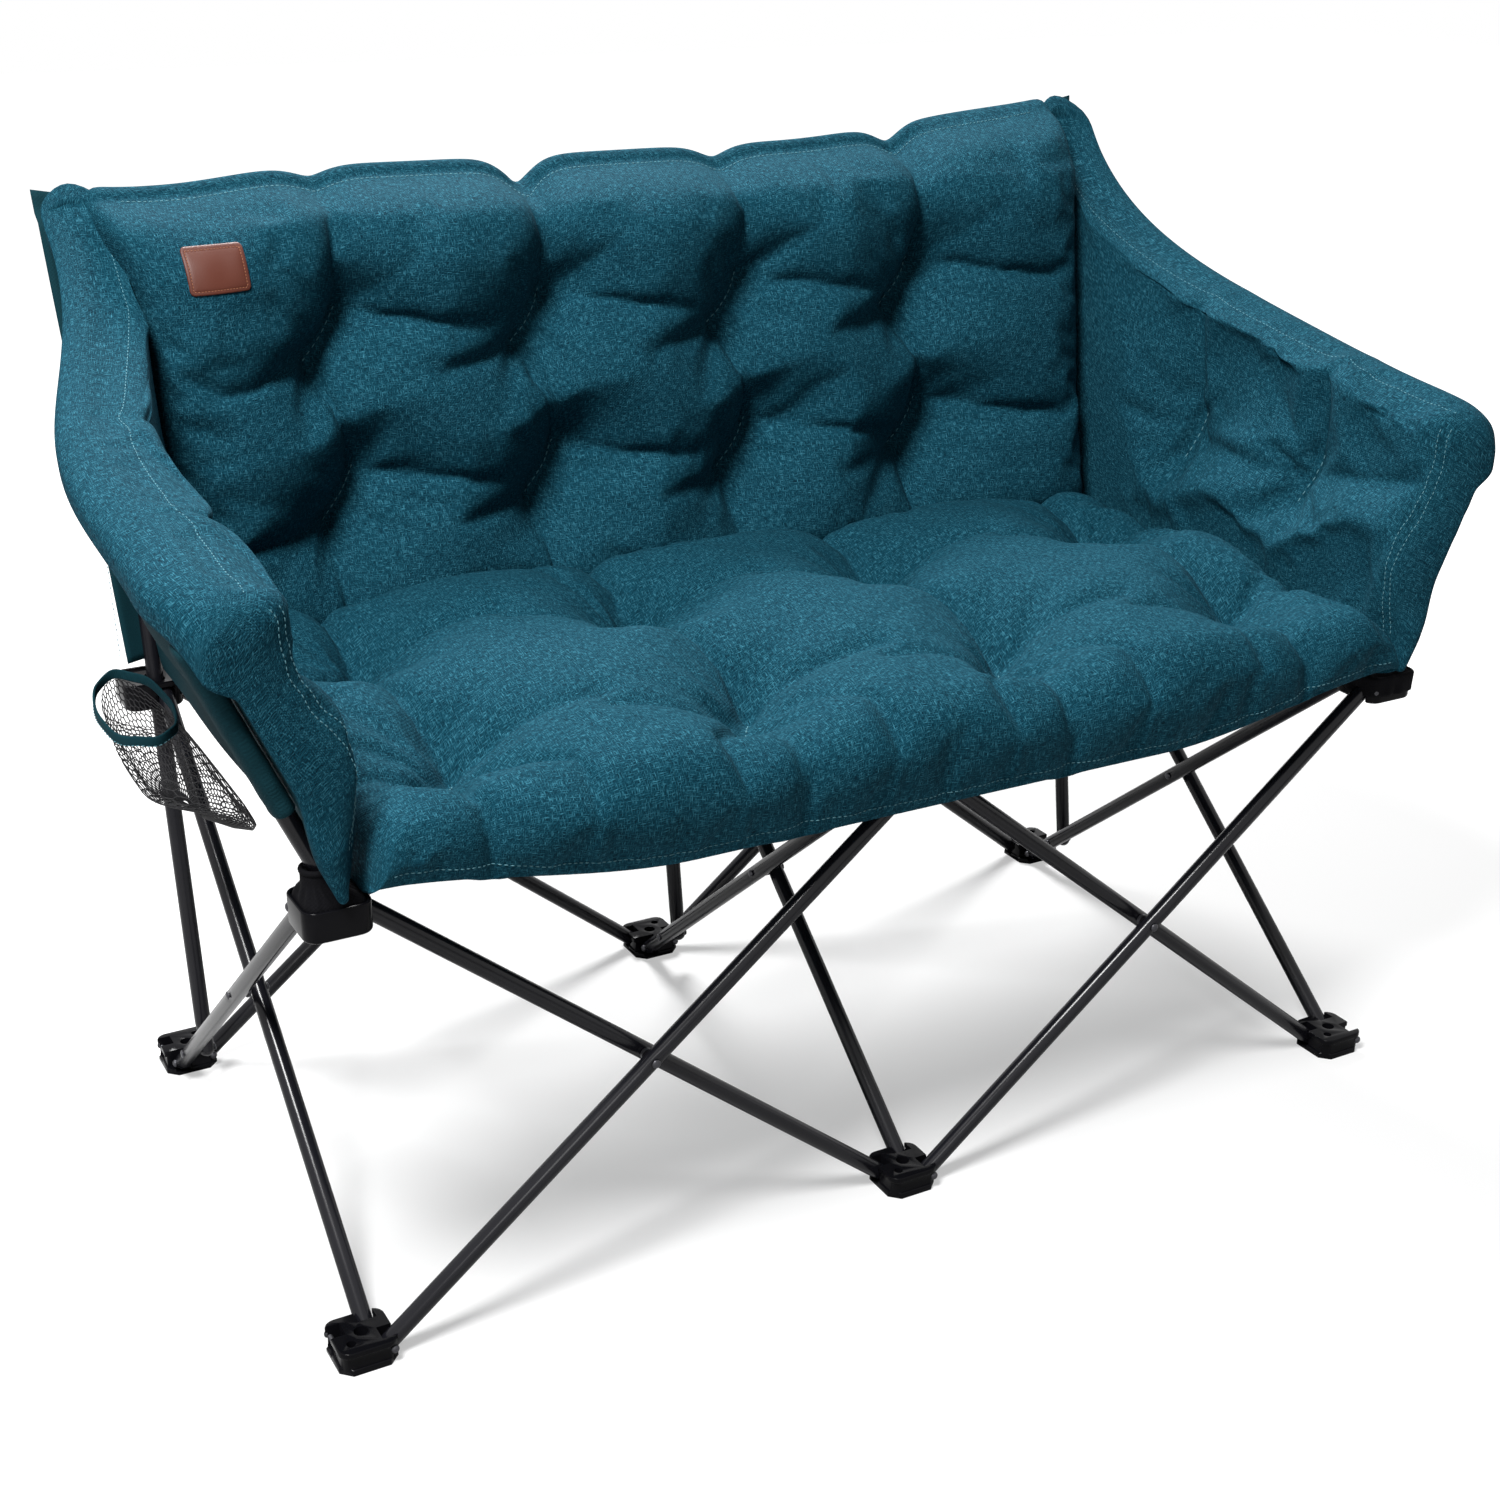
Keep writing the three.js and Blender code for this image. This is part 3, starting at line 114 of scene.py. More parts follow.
BODY_OF = {node: body for body, members in frame["record"]["behaviour"]["bodies"].items() for node in members}
COLUMNS = ("left", "middle", "right")
COLUMN_X = {column: middle(f"foot_front_{column}", 0) for column in COLUMNS}
PITCH = COLUMN_X["right"] - COLUMN_X["middle"]
FRONT_ROW_Y, REAR_ROW_Y = middle("foot_front_middle", 1), middle("foot_rear_middle", 1)
HUB_TOP = float(high("hub_front_middle")[2])
POST_FOOT, POST_HEAD, _ = tube_axis("back_post_middle")
ARM_POST_FOOT, ARM_POST_HEAD, TUBE_RADIUS = tube_axis("arm_post_right")
POST_SLOPE = float((POST_HEAD[1] - POST_FOOT[1]) / (POST_HEAD[2] - POST_FOOT[2]))
ARM_SLOPE = float((ARM_POST_HEAD[0] - ARM_POST_FOOT[0]) / (ARM_POST_HEAD[2] - ARM_POST_FOOT[2]))
print("rows:", FRONT_ROW_Y, REAR_ROW_Y, "hub top:", HUB_TOP, "tube radius:", TUBE_RADIUS)
print("post slope:", POST_SLOPE, "arm slope:", ARM_SLOPE)

# %% [markdown]
# The camera stands where the photographer stood: to the front left of the chair and a little above the
# arms. Its place was found from the feet, hubs and crossings of the frame, so the render and the
# photograph can be laid over each other.

# %% Camera
CAMERA_EYE = Vector((-1.00904, -1.77423, 1.20655))
CAMERA_AZIMUTH = math.radians(-29.248)
CAMERA_ELEVATION = math.radians(22.609)
CAMERA_ROLL = math.radians(0.617)
CAMERA_LENS = 51.06
CAMERA_SENSOR = 36.0
CAMERA_FAR = 50.0


def make_camera():
    back = Vector((math.sin(CAMERA_AZIMUTH) * math.cos(CAMERA_ELEVATION),
                   -math.cos(CAMERA_AZIMUTH) * math.cos(CAMERA_ELEVATION),
                   math.sin(CAMERA_ELEVATION)))
    side = (-back).cross(Vector((0, 0, 1))).normalized()
    over = side.cross(-back)
    right = math.cos(CAMERA_ROLL) * side + math.sin(CAMERA_ROLL) * over
    up = math.cos(CAMERA_ROLL) * over - math.sin(CAMERA_ROLL) * side
    turn = Matrix((right, up, back)).transposed().to_4x4()
    data = bpy.data.cameras.new("photo_camera")
    data.lens = CAMERA_LENS
    data.sensor_width = CAMERA_SENSOR
    data.clip_end = CAMERA_FAR
    camera = linked("photo_camera", data)
    camera.matrix_world = Matrix.Translation(CAMERA_EYE) @ turn
    bpy.context.scene.camera = camera


make_camera()

# %% [markdown]
# The studio is a white sweep. The floor keeps the chair's soft shadow. Round the chair it is a plain
# matte white, and farther out it turns into pure white as the camera sees it, so no edge or horizon
# shows. A large soft lamp at the upper left makes the highlights along the tubes and on the quilt.

# %% Studio floor and light
FLOOR_HALF = 12.0
FLOOR_WHITE = 0.44
FLOOR_NEAR, FLOOR_FAR = 1.1, 2.6
FLOOR_GLOW_NEAR = 0.46
WORLD_STRENGTH = 0.06
LAMPS = [
    # name, place, aim, size, power in watts
    ("key_lamp", (-1.6, -1.0, 3.3), (0.0, 0.0, 0.6), 1.1, 205),
    ("fill_lamp", (-2.2, -3.2, 1.7), (0.0, 0.0, 0.5), 1.2, 18),
    ("rim_lamp", (0.4, 2.0, 3.2), (0.0, 0.0, 0.7), 1.2, 185),
]


def floor_material():
    """Matte white that glows a little for the camera: weakly under the chair, fully far away."""
    material = bpy.data.materials.new("studio_white")
    material.use_nodes = True
    nodes, links = material.node_tree.nodes, material.node_tree.links
    shader = nodes["Principled BSDF"]
    shader.inputs["Base Color"].default_value = (FLOOR_WHITE, FLOOR_WHITE, FLOOR_WHITE, 1)
    shader.inputs["Roughness"].default_value = 1.0
    place = nodes.new("ShaderNodeTexCoord")
    length = nodes.new("ShaderNodeVectorMath")
    length.operation = "LENGTH"
    links.new(place.outputs["Object"], length.inputs[0])
    glow = nodes.new("ShaderNodeMapRange")
    glow.inputs["From Min"].default_value = FLOOR_NEAR
    glow.inputs["From Max"].default_value = FLOOR_FAR
    glow.inputs["To Min"].default_value = FLOOR_GLOW_NEAR
    glow.inputs["To Max"].default_value = 1.0
    links.new(length.outputs["Value"], glow.inputs["Value"])
    path = nodes.new("ShaderNodeLightPath")
    seen = nodes.new("ShaderNodeMath")
    seen.operation = "MULTIPLY"
    links.new(path.outputs["Is Camera Ray"], seen.inputs[0])
    links.new(glow.outputs["Result"], seen.inputs[1])
    shader.inputs["Emission Color"].default_value = (1, 1, 1, 1)
    links.new(seen.outputs[0], shader.inputs["Emission Strength"])
    return material


def make_floor():
    mesh = bpy.data.meshes.new("studio_floor")
    corners = [(-FLOOR_HALF, -FLOOR_HALF, 0), (FLOOR_HALF, -FLOOR_HALF, 0),
               (FLOOR_HALF, FLOOR_HALF, 0), (-FLOOR_HALF, FLOOR_HALF, 0)]
    mesh.from_pydata(corners, [], [(0, 1, 2, 3)])
    mesh.materials.append(floor_material())
    linked("studio_floor", mesh)


def make_world():
    """Soft white light for the chair, and pure white where the camera sees the background."""
    world = bpy.data.worlds.new("studio_world")
    world.use_nodes = True
    nodes, links = world.node_tree.nodes, world.node_tree.links
    light = nodes["Background"]
    light.inputs["Color"].default_value = (1, 1, 1, 1)
    light.inputs["Strength"].default_value = WORLD_STRENGTH
    white = nodes.new("ShaderNodeBackground")
    white.inputs["Color"].default_value = (1, 1, 1, 1)
    path = nodes.new("ShaderNodeLightPath")
    pick = nodes.new("ShaderNodeMixShader")
    shown = nodes.new("ShaderNodeMath")
    shown.operation = "MAXIMUM"
    links.new(path.outputs["Is Camera Ray"], shown.inputs[0])
    links.new(path.outputs["Is Glossy Ray"], shown.inputs[1])
    links.new(shown.outputs[0], pick.inputs[0])
    links.new(light.outputs[0], pick.inputs[1])
    links.new(white.outputs[0], pick.inputs[2])
    links.new(pick.outputs[0], nodes["World Output"].inputs["Surface"])
    bpy.context.scene.world = world


def make_lamp(name, place, aim, size, power):
    data = bpy.data.lights.new(name, "AREA")
    data.shape = "DISK"
    data.size = size
    data.energy = power
    lamp = linked(name, data)
    lamp.location = place
    lamp.rotation_euler = (Vector(aim) - Vector(place)).to_track_quat("-Z", "Y").to_euler()


make_floor()
make_world()
for lamp in LAMPS:
    make_lamp(*lamp)
bpy.context.scene.view_settings.view_transform = "Standard"

# %% [markdown]
# The quilt is a melange linen weave: dark petrol yarn with short light threads in both directions. Each
# pad carries a map in metres that follows its own cloth, so the threads run along the pad and keep
# their real size. Two sets of long thin noise, one along and one across, make the threads, and a fine
# wave makes the weave that the light catches.

# %% Cloth materials
CLOTH_MAP = "cloth_map"
QUILT_DARK = (0.0008, 0.014, 0.024, 1)
QUILT_MID = (0.0035, 0.041, 0.064, 1)
QUILT_LIGHT = (0.045, 0.185, 0.250, 1)
LINING_COLOUR = (0.0045, 0.026, 0.034, 1)
BLACK_CLOTH_COLOUR = (0.004, 0.004, 0.005, 1)
THREAD_LENGTH_SCALE, THREAD_WIDTH_SCALE = 150.0, 1300.0
THREAD_DETAIL = 2.0
WEAVE_SCALE = 620.0
QUILT_STOPS = ((0.44, QUILT_DARK), (0.60, QUILT_MID), (0.82, QUILT_LIGHT))
QUILT_ROUGHNESS, CLOTH_SPECULAR = 0.88, 0.06
SHADE_SCALE, SHADE_STRENGTH = 30.0, 0.05
QUILT_WEAVE_STRENGTH, QUILT_WEAVE_DEPTH, PLAIN_WEAVE_DEPTH = 0.35, 0.0004, 0.0003
PLAIN_GRAIN_SCALE = 700.0
PLAIN_DARKEST, PLAIN_LIGHTEST = 0.7, 1.5


def new_material(name, roughness):
    material = bpy.data.materials.new(name)
    material.use_nodes = True
    nodes, links = material.node_tree.nodes, material.node_tree.links
    shader = nodes["Principled BSDF"]
    shader.inputs["Roughness"].default_value = roughness
    return material, nodes, links, shader


def threads(nodes, links, source, along, across):
    """Noise drawn out into threads: long along one way of the map, thin across it."""
    stretch = nodes.new("ShaderNodeVectorMath")
    stretch.operation = "MULTIPLY"
    stretch.inputs[1].default_value = (along, across, 1.0)
    links.new(source, stretch.inputs[0])
    noise = nodes.new("ShaderNodeTexNoise")
    noise.inputs["Scale"].default_value = 1.0
    noise.inputs["Detail"].default_value = THREAD_DETAIL
    links.new(stretch.outputs[0], noise.inputs["Vector"])
    return noise.outputs["Fac"]


def maths(nodes, links, operation, first, second):
    node = nodes.new("ShaderNodeMath")
    node.operation = operation
    for socket, value in zip(node.inputs, (first, second)):
        if isinstance(value, (int, float)):
            socket.default_value = value
        else:
            links.new(value, socket)
    return node.outputs[0]


def cloth_source(nodes):
    source = nodes.new("ShaderNodeUVMap")
    source.uv_map = CLOTH_MAP
    return source.outputs["UV"]


def weave_bump(nodes, links, shader, source, strength, distance):
    """Over-and-under yarns as a fine height field on the cloth's own map."""
    split = nodes.new("ShaderNodeSeparateXYZ")
    links.new(source, split.inputs[0])
    ways = []
    for axis in ("X", "Y"):
        turned = maths(nodes, links, "MULTIPLY", split.outputs[axis], WEAVE_SCALE * math.pi)
        ways.append(maths(nodes, links, "SINE", turned, 0.0))
    height = maths(nodes, links, "MULTIPLY", ways[0], ways[1])
    bump = nodes.new("ShaderNodeBump")
    bump.inputs["Strength"].default_value = strength
    bump.inputs["Distance"].default_value = distance
    links.new(height, bump.inputs["Height"])
    links.new(bump.outputs["Normal"], shader.inputs["Normal"])


def quilt_material():
    material, nodes, links, shader = new_material("quilt_linen", QUILT_ROUGHNESS)
    source = cloth_source(nodes)
    warp = threads(nodes, links, source, THREAD_WIDTH_SCALE, THREAD_LENGTH_SCALE)
    weft = threads(nodes, links, source, THREAD_LENGTH_SCALE, THREAD_WIDTH_SCALE)
    both = maths(nodes, links, "MAXIMUM", warp, weft)
    broad = threads(nodes, links, source, SHADE_SCALE, SHADE_SCALE)
    shade = maths(nodes, links, "MULTIPLY", broad, SHADE_STRENGTH)
    level = maths(nodes, links, "ADD", both, shade)
    ramp = nodes.new("ShaderNodeValToRGB")
    ramp.color_ramp.elements.new(QUILT_STOPS[1][0])
    for stop, (position, colour) in zip(ramp.color_ramp.elements, QUILT_STOPS):
        stop.position, stop.color = position, colour
    links.new(level, ramp.inputs["Fac"])
    links.new(ramp.outputs["Color"], shader.inputs["Base Color"])
    shader.inputs["Specular IOR Level"].default_value = CLOTH_SPECULAR
    weave_bump(nodes, links, shader, source, QUILT_WEAVE_STRENGTH, QUILT_WEAVE_DEPTH)
    return material


def plain_cloth_material(name, colour, roughness, strength):
    material, nodes, links, shader = new_material(name, roughness)
    source = cloth_source(nodes)
    fine = threads(nodes, links, source, PLAIN_GRAIN_SCALE, PLAIN_GRAIN_SCALE)
    shade = nodes.new("ShaderNodeMixRGB")
    for socket, level in (("Color1", PLAIN_DARKEST), ("Color2", PLAIN_LIGHTEST)):
        shade.inputs[socket].default_value = tuple(level * part for part in colour[:3]) + (1,)
    links.new(fine, shade.inputs["Fac"])
    links.new(shade.outputs["Color"], shader.inputs["Base Color"])
    shader.inputs["Specular IOR Level"].default_value = CLOTH_SPECULAR
    weave_bump(nodes, links, shader, source, strength, PLAIN_WEAVE_DEPTH)
    return material


QUILT = quilt_material()
LINING = plain_cloth_material("lining_plain", LINING_COLOUR, 0.8, 0.25)
BLACK_CLOTH = plain_cloth_material("black_binding", BLACK_CLOTH_COLOUR, 0.85, 0.3)

# %% [markdown]
# Thread, net, leather and the frame's own finishes. The tubes have a satin black powder coat with a
# faint grain. The feet and hubs are glossy black injection moulded plastic, a little duller where they
# are handled. The patch is tanned leather with a fine pebble grain.

# %% Thread, leather, metal and plastic materials
GRAIN_DETAIL, GRAIN_STRENGTH = 3.0, 0.5
HANDLED_SCALE = 14.0


def object_noise(nodes, links, scale):
    place = nodes.new("ShaderNodeTexCoord")
    noise = nodes.new("ShaderNodeTexNoise")
    noise.inputs["Scale"].default_value = scale
    noise.inputs["Detail"].default_value = GRAIN_DETAIL
    links.new(place.outputs["Object"], noise.inputs["Vector"])
    return noise.outputs["Fac"]


def grained_material(name, dark, light, roughness, spread, grain_scale, grain_depth, metallic=0.0,
                     specular=0.3):
    """A finish whose colour, gloss and fine relief vary a little over the object."""
    material, nodes, links, shader = new_material(name, roughness)
    patches = object_noise(nodes, links, HANDLED_SCALE)
    colour = nodes.new("ShaderNodeMixRGB")
    colour.inputs["Color1"].default_value = dark
    colour.inputs["Color2"].default_value = light
    links.new(patches, colour.inputs["Fac"])
    links.new(colour.outputs["Color"], shader.inputs["Base Color"])
    gloss = nodes.new("ShaderNodeMapRange")
    gloss.inputs["To Min"].default_value = roughness - spread
    gloss.inputs["To Max"].default_value = roughness + spread
    links.new(patches, gloss.inputs["Value"])
    links.new(gloss.outputs["Result"], shader.inputs["Roughness"])
    shader.inputs["Metallic"].default_value = metallic
    shader.inputs["Specular IOR Level"].default_value = specular
    bump = nodes.new("ShaderNodeBump")
    bump.inputs["Strength"].default_value = GRAIN_STRENGTH
    bump.inputs["Distance"].default_value = grain_depth
    links.new(object_noise(nodes, links, grain_scale), bump.inputs["Height"])
    links.new(bump.outputs["Normal"], shader.inputs["Normal"])
    return material


POWDER_COAT = grained_material("black_powder_coat", (0.005, 0.005, 0.007, 1), (0.010, 0.010, 0.013, 1),
                               0.20, 0.03, 900.0, 0.00003, specular=0.26)
MOULDED = grained_material("black_moulding", (0.002, 0.002, 0.003, 1), (0.005, 0.005, 0.006, 1),
                           0.15, 0.03, 600.0, 0.00002, specular=0.07)
RIVET_STEEL = grained_material("blackened_rivet", (0.05, 0.05, 0.055, 1), (0.09, 0.09, 0.10, 1),
                               0.36, 0.08, 500.0, 0.00005, 0.85)
LEATHER = grained_material("tanned_leather", (0.050, 0.0100, 0.0040, 1), (0.085, 0.0180, 0.0080, 1),
                           0.50, 0.08, 950.0, 0.0003)
QUILT_THREAD = grained_material("quilt_thread", (0.060, 0.170, 0.205, 1), (0.090, 0.220, 0.260, 1),
                                0.7, 0.05, 900.0, 0.0001)
PATCH_THREAD = grained_material("patch_thread", (0.20, 0.075, 0.035, 1), (0.27, 0.11, 0.055, 1),
                                0.7, 0.05, 900.0, 0.0001)
NET_CORD = grained_material("black_net_cord", (0.005, 0.005, 0.006, 1), (0.010, 0.010, 0.012, 1),
                            0.6, 0.05, 800.0, 0.0001)

# %% [markdown]
# Small tools for the cover. A stuffed piece is a closed skin over two facing grids of points, the face
# and its backing, joined round the border by a rounded edge. The grid also gives each piece its cloth
# map, from the lengths along the grid.

# %% Tools for stuffed pieces
WAVES = [(1.0, 0.3, 0.0), (-0.6, 1.1, 1.7), (0.4, -1.6, 3.1), (1.7, 0.8, 4.4)]
WRINKLE_DEPTH, WRINKLE_SIZE, WRINKLE_FINE_SIZE, WRINKLE_PLACE_SIZE = 0.0018, 0.0105, 0.0068, 0.035
WRINKLE_FINE_SHARE = 0.7
THROAT_SHARE, THROAT_MIX_SHARE = 0.34, 0.62
CREASE_FADE_SHARE = 0.45
GATHER_RAYS, GATHER_CORE_SHARE = 8, 0.2
STITCH_HOLD, STITCH_HOLD_EASE = 0.004, 0.012
FILLING_LUMP_DEPTH = 0.005


def mix(a, b, t):
    return a + (b - a) * t


def smooth(t):
    t = np.clip(t, 0, 1)
    return t * t * (3 - 2 * t)


def rise(distance, reach):
    """How far a stuffed face has risen at a distance from its sewn border, as a quarter round."""
    t = np.clip(distance / reach, 0, 1)
    return np.sqrt(1 - (1 - t) ** 2)


def to_segment(a, b, start, end):
    """Distance from each point to a segment, and the share of the way along it."""
    ahead = np.subtract(end, start)
    t = np.clip(((a - start[0]) * ahead[0] + (b - start[1]) * ahead[1]) / float(ahead @ ahead), 0, 1)
    return np.hypot(a - start[0] - t * ahead[0], b - start[1] - t * ahead[1]), t


def tuft_pull(a, b, stitches, reach):
    """1 at a sewn tuft, with a steep throat at the thread and a wide soft bowl round it."""
    pull = np.zeros_like(a)
    for start, end in stitches:
        distance = to_segment(a, b, start, end)[0]
        bowl = np.exp(-2 * (distance / reach) ** 2)
        throat = np.exp(-distance / (reach * THROAT_SHARE))
        pull = np.maximum(pull, mix(bowl, throat, THROAT_MIX_SHARE))
    return pull


def gathers(a, b, stitches, depth, reach):
    """Small folds that run out from every tuft like the rays of a star, and die away."""
    total = np.zeros_like(a)
    for at, (start, end) in enumerate(stitches):
        middle = (np.array(start) + np.array(end)) / 2
        distance = to_segment(a, b, start, end)[0]
        angle = np.arctan2(b - middle[1], a - middle[0])
        rays = np.sin(GATHER_RAYS * angle + at * 1.9 + 1.6 * np.sin(2 * angle + at) + 0.9 * np.sin(3 * angle))
        fade = np.exp(-distance / reach) * distance / (distance + GATHER_CORE_SHARE * reach)
        total = total + depth * rays * fade
    return total


def crease_depth(a, b, creases):
    """Valleys in the cloth between tufts: each one is (start, end, depth, width) and fades along."""
    depth = np.zeros_like(a)
    for start, end, deep, wide in creases:
        distance, t = to_segment(a, b, start, end)
        depth = np.maximum(depth, deep * (1 - CREASE_FADE_SHARE * t) * np.exp(-distance / wide))
    return depth


def lumps(a, b, size, phase):
    """Uneven filling: slow waves in several directions, between -1 and 1."""
    total = sum(np.sin((a * p + b * q) / size + r * phase) for p, q, r in WAVES)
    return total / len(WAVES)


def wrinkles(a, b, phase):
    """Small loose waves in the cloth, strong in some places and faint in others."""
    where = 0.5 + 0.5 * lumps(a, b, WRINKLE_PLACE_SIZE, phase)
    fine = WRINKLE_FINE_SHARE * lumps(b, a, WRINKLE_FINE_SIZE, phase + 2)
    return WRINKLE_DEPTH * where * (lumps(a, b, WRINKLE_SIZE, phase + 1) + fine)


def held_except(obj, face_at, free):
    """How firmly each point is held: the backing fully, the face where it isn't free."""
    held = np.ones(len(obj.data.vertices))
    held[face_at] = 1 - free
    return held


def clear_of(a, b, stitches):
    """0 at the stitches, which hold the cloth, and 1 a little away from them."""
    near = np.min([to_segment(a, b, *stitch)[0] for stitch in stitches], axis=0)
    return smooth((near - STITCH_HOLD) / STITCH_HOLD_EASE)


def grid_map(points):
    """Lengths along the columns and rows of a grid of points, as a map in metres."""
    across = np.linalg.norm(np.diff(points, axis=1), axis=2).mean(0)
    up = np.linalg.norm(np.diff(points, axis=0), axis=2).mean(1)
    u = np.concatenate([[0], np.cumsum(across)])
    v = np.concatenate([[0], np.cumsum(up)])
    return np.stack(np.meshgrid(u, v), axis=2)


def border_of(rows, columns):
    """Indices round the border of a grid, in order."""
    bottom = [(0, c) for c in range(columns - 1)]
    right = [(r, columns - 1) for r in range(rows - 1)]
    top = [(rows - 1, c) for c in range(columns - 1, 0, -1)]
    left = [(r, 0) for r in range(rows - 1, 0, -1)]
    return bottom + right + top + left


def shade_smooth(mesh):
    mesh.polygons.foreach_set("use_smooth", [True] * len(mesh.polygons))


def face_outward(mesh):
    build = bmesh.new()
    build.from_mesh(mesh)
    bmesh.ops.recalc_face_normals(build, faces=build.faces)
    build.to_mesh(mesh)
    build.free()


def stuffed_skin(name, face, backing, face_material, backing_material, edge_steps=4, roundness=0.35,
                 backing_is_face=None):
    """A closed mesh over a face grid and a backing grid. Returns the object and the face's indices."""
    rows, columns = face.shape[:2]
    points = [tuple(point) for point in face.reshape(-1, 3)]
    face_at = np.arange(rows * columns).reshape(rows, columns)
    face_map = grid_map(face)
    maps = [tuple(pair) for pair in face_map.reshape(-1, 2)]
    backing_at = np.zeros((rows, columns), int)
    ring = border_of(rows, columns)
    on_ring = set(ring)
    for r in range(rows):
        for c in range(columns):
            if (r, c) in on_ring and np.linalg.norm(face[r, c] - backing[r, c]) < 1e-5:
                backing_at[r, c] = face_at[r, c]
                continue
            backing_at[r, c] = len(points)
            points.append(tuple(backing[r, c]))
            maps.append(tuple(face_map[r, c]))
    strips = [[face_at[place] for place in ring]]
    outward = []
    for r, c in ring:
        inner = face[min(max(r, 1), rows - 2), min(max(c, 1), columns - 2)]
        way = face[r, c] - inner
        outward.append(way / max(np.linalg.norm(way), 1e-9))
    for step in range(1, edge_steps):
        t = step / edge_steps
        strip = []
        for way, (r, c) in zip(outward, ring):
            if backing_at[r, c] == face_at[r, c]:
                strip.append(face_at[r, c])
                continue
            thick = np.linalg.norm(backing[r, c] - face[r, c])
            strip.append(len(points))
            bulge = way * thick * roundness * math.sin(math.pi * t)
            points.append(tuple(mix(face[r, c], backing[r, c], t) + bulge))
            maps.append(tuple(face_map[r, c] + np.array([thick * t, thick * t])))
        strips.append(strip)
    strips.append([backing_at[place] for place in ring])
    faces, slots = [], []

    def add(corners, material):
        kept = [corner for at, corner in enumerate(corners) if corner != corners[at - 1]]
        if len(set(kept)) >= 3:
            faces.append(kept)
            slots.append(material)

    for r in range(rows - 1):
        for c in range(columns - 1):
            add([face_at[r, c], face_at[r, c + 1], face_at[r + 1, c + 1], face_at[r + 1, c]], 0)
            behind = 0 if backing_is_face is not None and backing_is_face(r / (rows - 1)) else 1
            under = [backing_at[r, c], backing_at[r + 1, c], backing_at[r + 1, c + 1], backing_at[r, c + 1]]
            add(under, behind)
    for first, second in zip(strips, strips[1:]):
        for at in range(len(ring)):
            after = (at + 1) % len(ring)
            add([first[at], second[at], second[after], first[after]], 0)
    mesh = bpy.data.meshes.new(name)
    mesh.from_pydata(points, [], [[int(corner) for corner in corners] for corners in faces])
    layer = mesh.uv_layers.new(name=CLOTH_MAP)
    corner_vertices = np.zeros(len(mesh.loops), int)
    mesh.loops.foreach_get("vertex_index", corner_vertices)
    layer.data.foreach_set("uv", np.array(maps, float)[corner_vertices].reshape(-1))
    mesh.materials.append(face_material)
    mesh.materials.append(backing_material)
    mesh.polygons.foreach_set("material_index", slots)
    shade_smooth(mesh)
    mesh.update()
    face_outward(mesh)
    return linked(name, mesh), face_at


def coordinates(obj):
    flat = np.zeros(len(obj.data.vertices) * 3)
    obj.data.vertices.foreach_get("co", flat)
    return flat.reshape(-1, 3)


def set_coordinates(obj, points):
    obj.data.vertices.foreach_set("co", points.reshape(-1))
    obj.data.update()


# %% [markdown]
# The cover is filled and then behaves as cloth: the filling presses it outward, the tufts and seams
# hold it, and the cloth is a little longer than the form beneath, so it gathers into small folds that
# run between the stitches. A short cloth simulation does this, with no gravity and with a limit on how
# far any point may move, so the pads keep their measured size.

# %% Filling by cloth simulation
SIMULATION_FRAMES = 16
FILLED_CLOTH = {
    "quality": 4,
    "mass": 0.3,
    "tension_stiffness": 12,
    "compression_stiffness": 12,
    "shear_stiffness": 4,
    "bending_stiffness": 0.6,
    "use_pressure": True,
    "uniform_pressure_force": 1.6,
}
SMALL_SHARE = 0.006


def fill(obj, held, spare_cloth, limit):
    """Presses a skin outward from inside. held is 1 where a stitch or the frame holds the cloth."""
    start = coordinates(obj)
    group = obj.vertex_groups.new(name="held")
    for weight in np.unique(np.round(held, 2)):
        chosen = np.nonzero(np.abs(held - weight) < SMALL_SHARE)[0]
        if weight > 0:
            group.add([int(at) for at in chosen], float(weight), "REPLACE")
    cloth = obj.modifiers.new("cloth", "CLOTH")
    settings = cloth.settings
    for name, value in FILLED_CLOTH.items():
        setattr(settings, name, value)
    settings.vertex_group_mass = "held"
    settings.shrink_min = -spare_cloth
    settings.effector_weights.gravity = 0
    cloth.point_cache.frame_start = 1
    cloth.point_cache.frame_end = SIMULATION_FRAMES
    scene = bpy.context.scene
    for step in range(1, SIMULATION_FRAMES + 1):
        scene.frame_set(step)
    evaluated = obj.evaluated_get(bpy.context.evaluated_depsgraph_get())
    flat = np.zeros(len(start) * 3)
    evaluated.data.vertices.foreach_get("co", flat)
    moved = flat.reshape(-1, 3) - start
    length = np.linalg.norm(moved, axis=1, keepdims=True)
    moved *= np.minimum(1, limit / np.maximum(length, 1e-9))
    moved *= (1 - held)[:, None]
    obj.modifiers.remove(cloth)
    obj.vertex_groups.remove(group)
    scene.frame_set(1)
    set_coordinates(obj, start + moved)
    print(obj.name, "filled, most moved:", float(length.max()), "mean:", float(length.mean()))


def applied(obj):
    """Makes what an object's modifiers give its own plain mesh."""
    evaluated = obj.evaluated_get(bpy.context.evaluated_depsgraph_get())
    mesh = bpy.data.meshes.new_from_object(evaluated)
    obj.modifiers.clear()
    obj.data = mesh
    return mesh


def subdivide(obj):
    """Rounds a skin with one smooth subdivision."""
    modifier = obj.modifiers.new("round", "SUBSURF")
    modifier.levels = 1
    modifier.render_levels = 1
    applied(obj)


def surface_of(obj):
    build = bmesh.new()
    build.from_mesh(obj.data)
    tree = BVHTree.FromBMesh(build)
    build.free()
    return tree


# %% [markdown]
# The back is one long pad hung on the three posts. It is quilted with two rows of four tufts, each one
# a short slanting row of stitches. Deep folds join the tufts from the top edge to the seat and run out
# to the right of them, and the top edge dips at every tuft column, most of all at the second one.

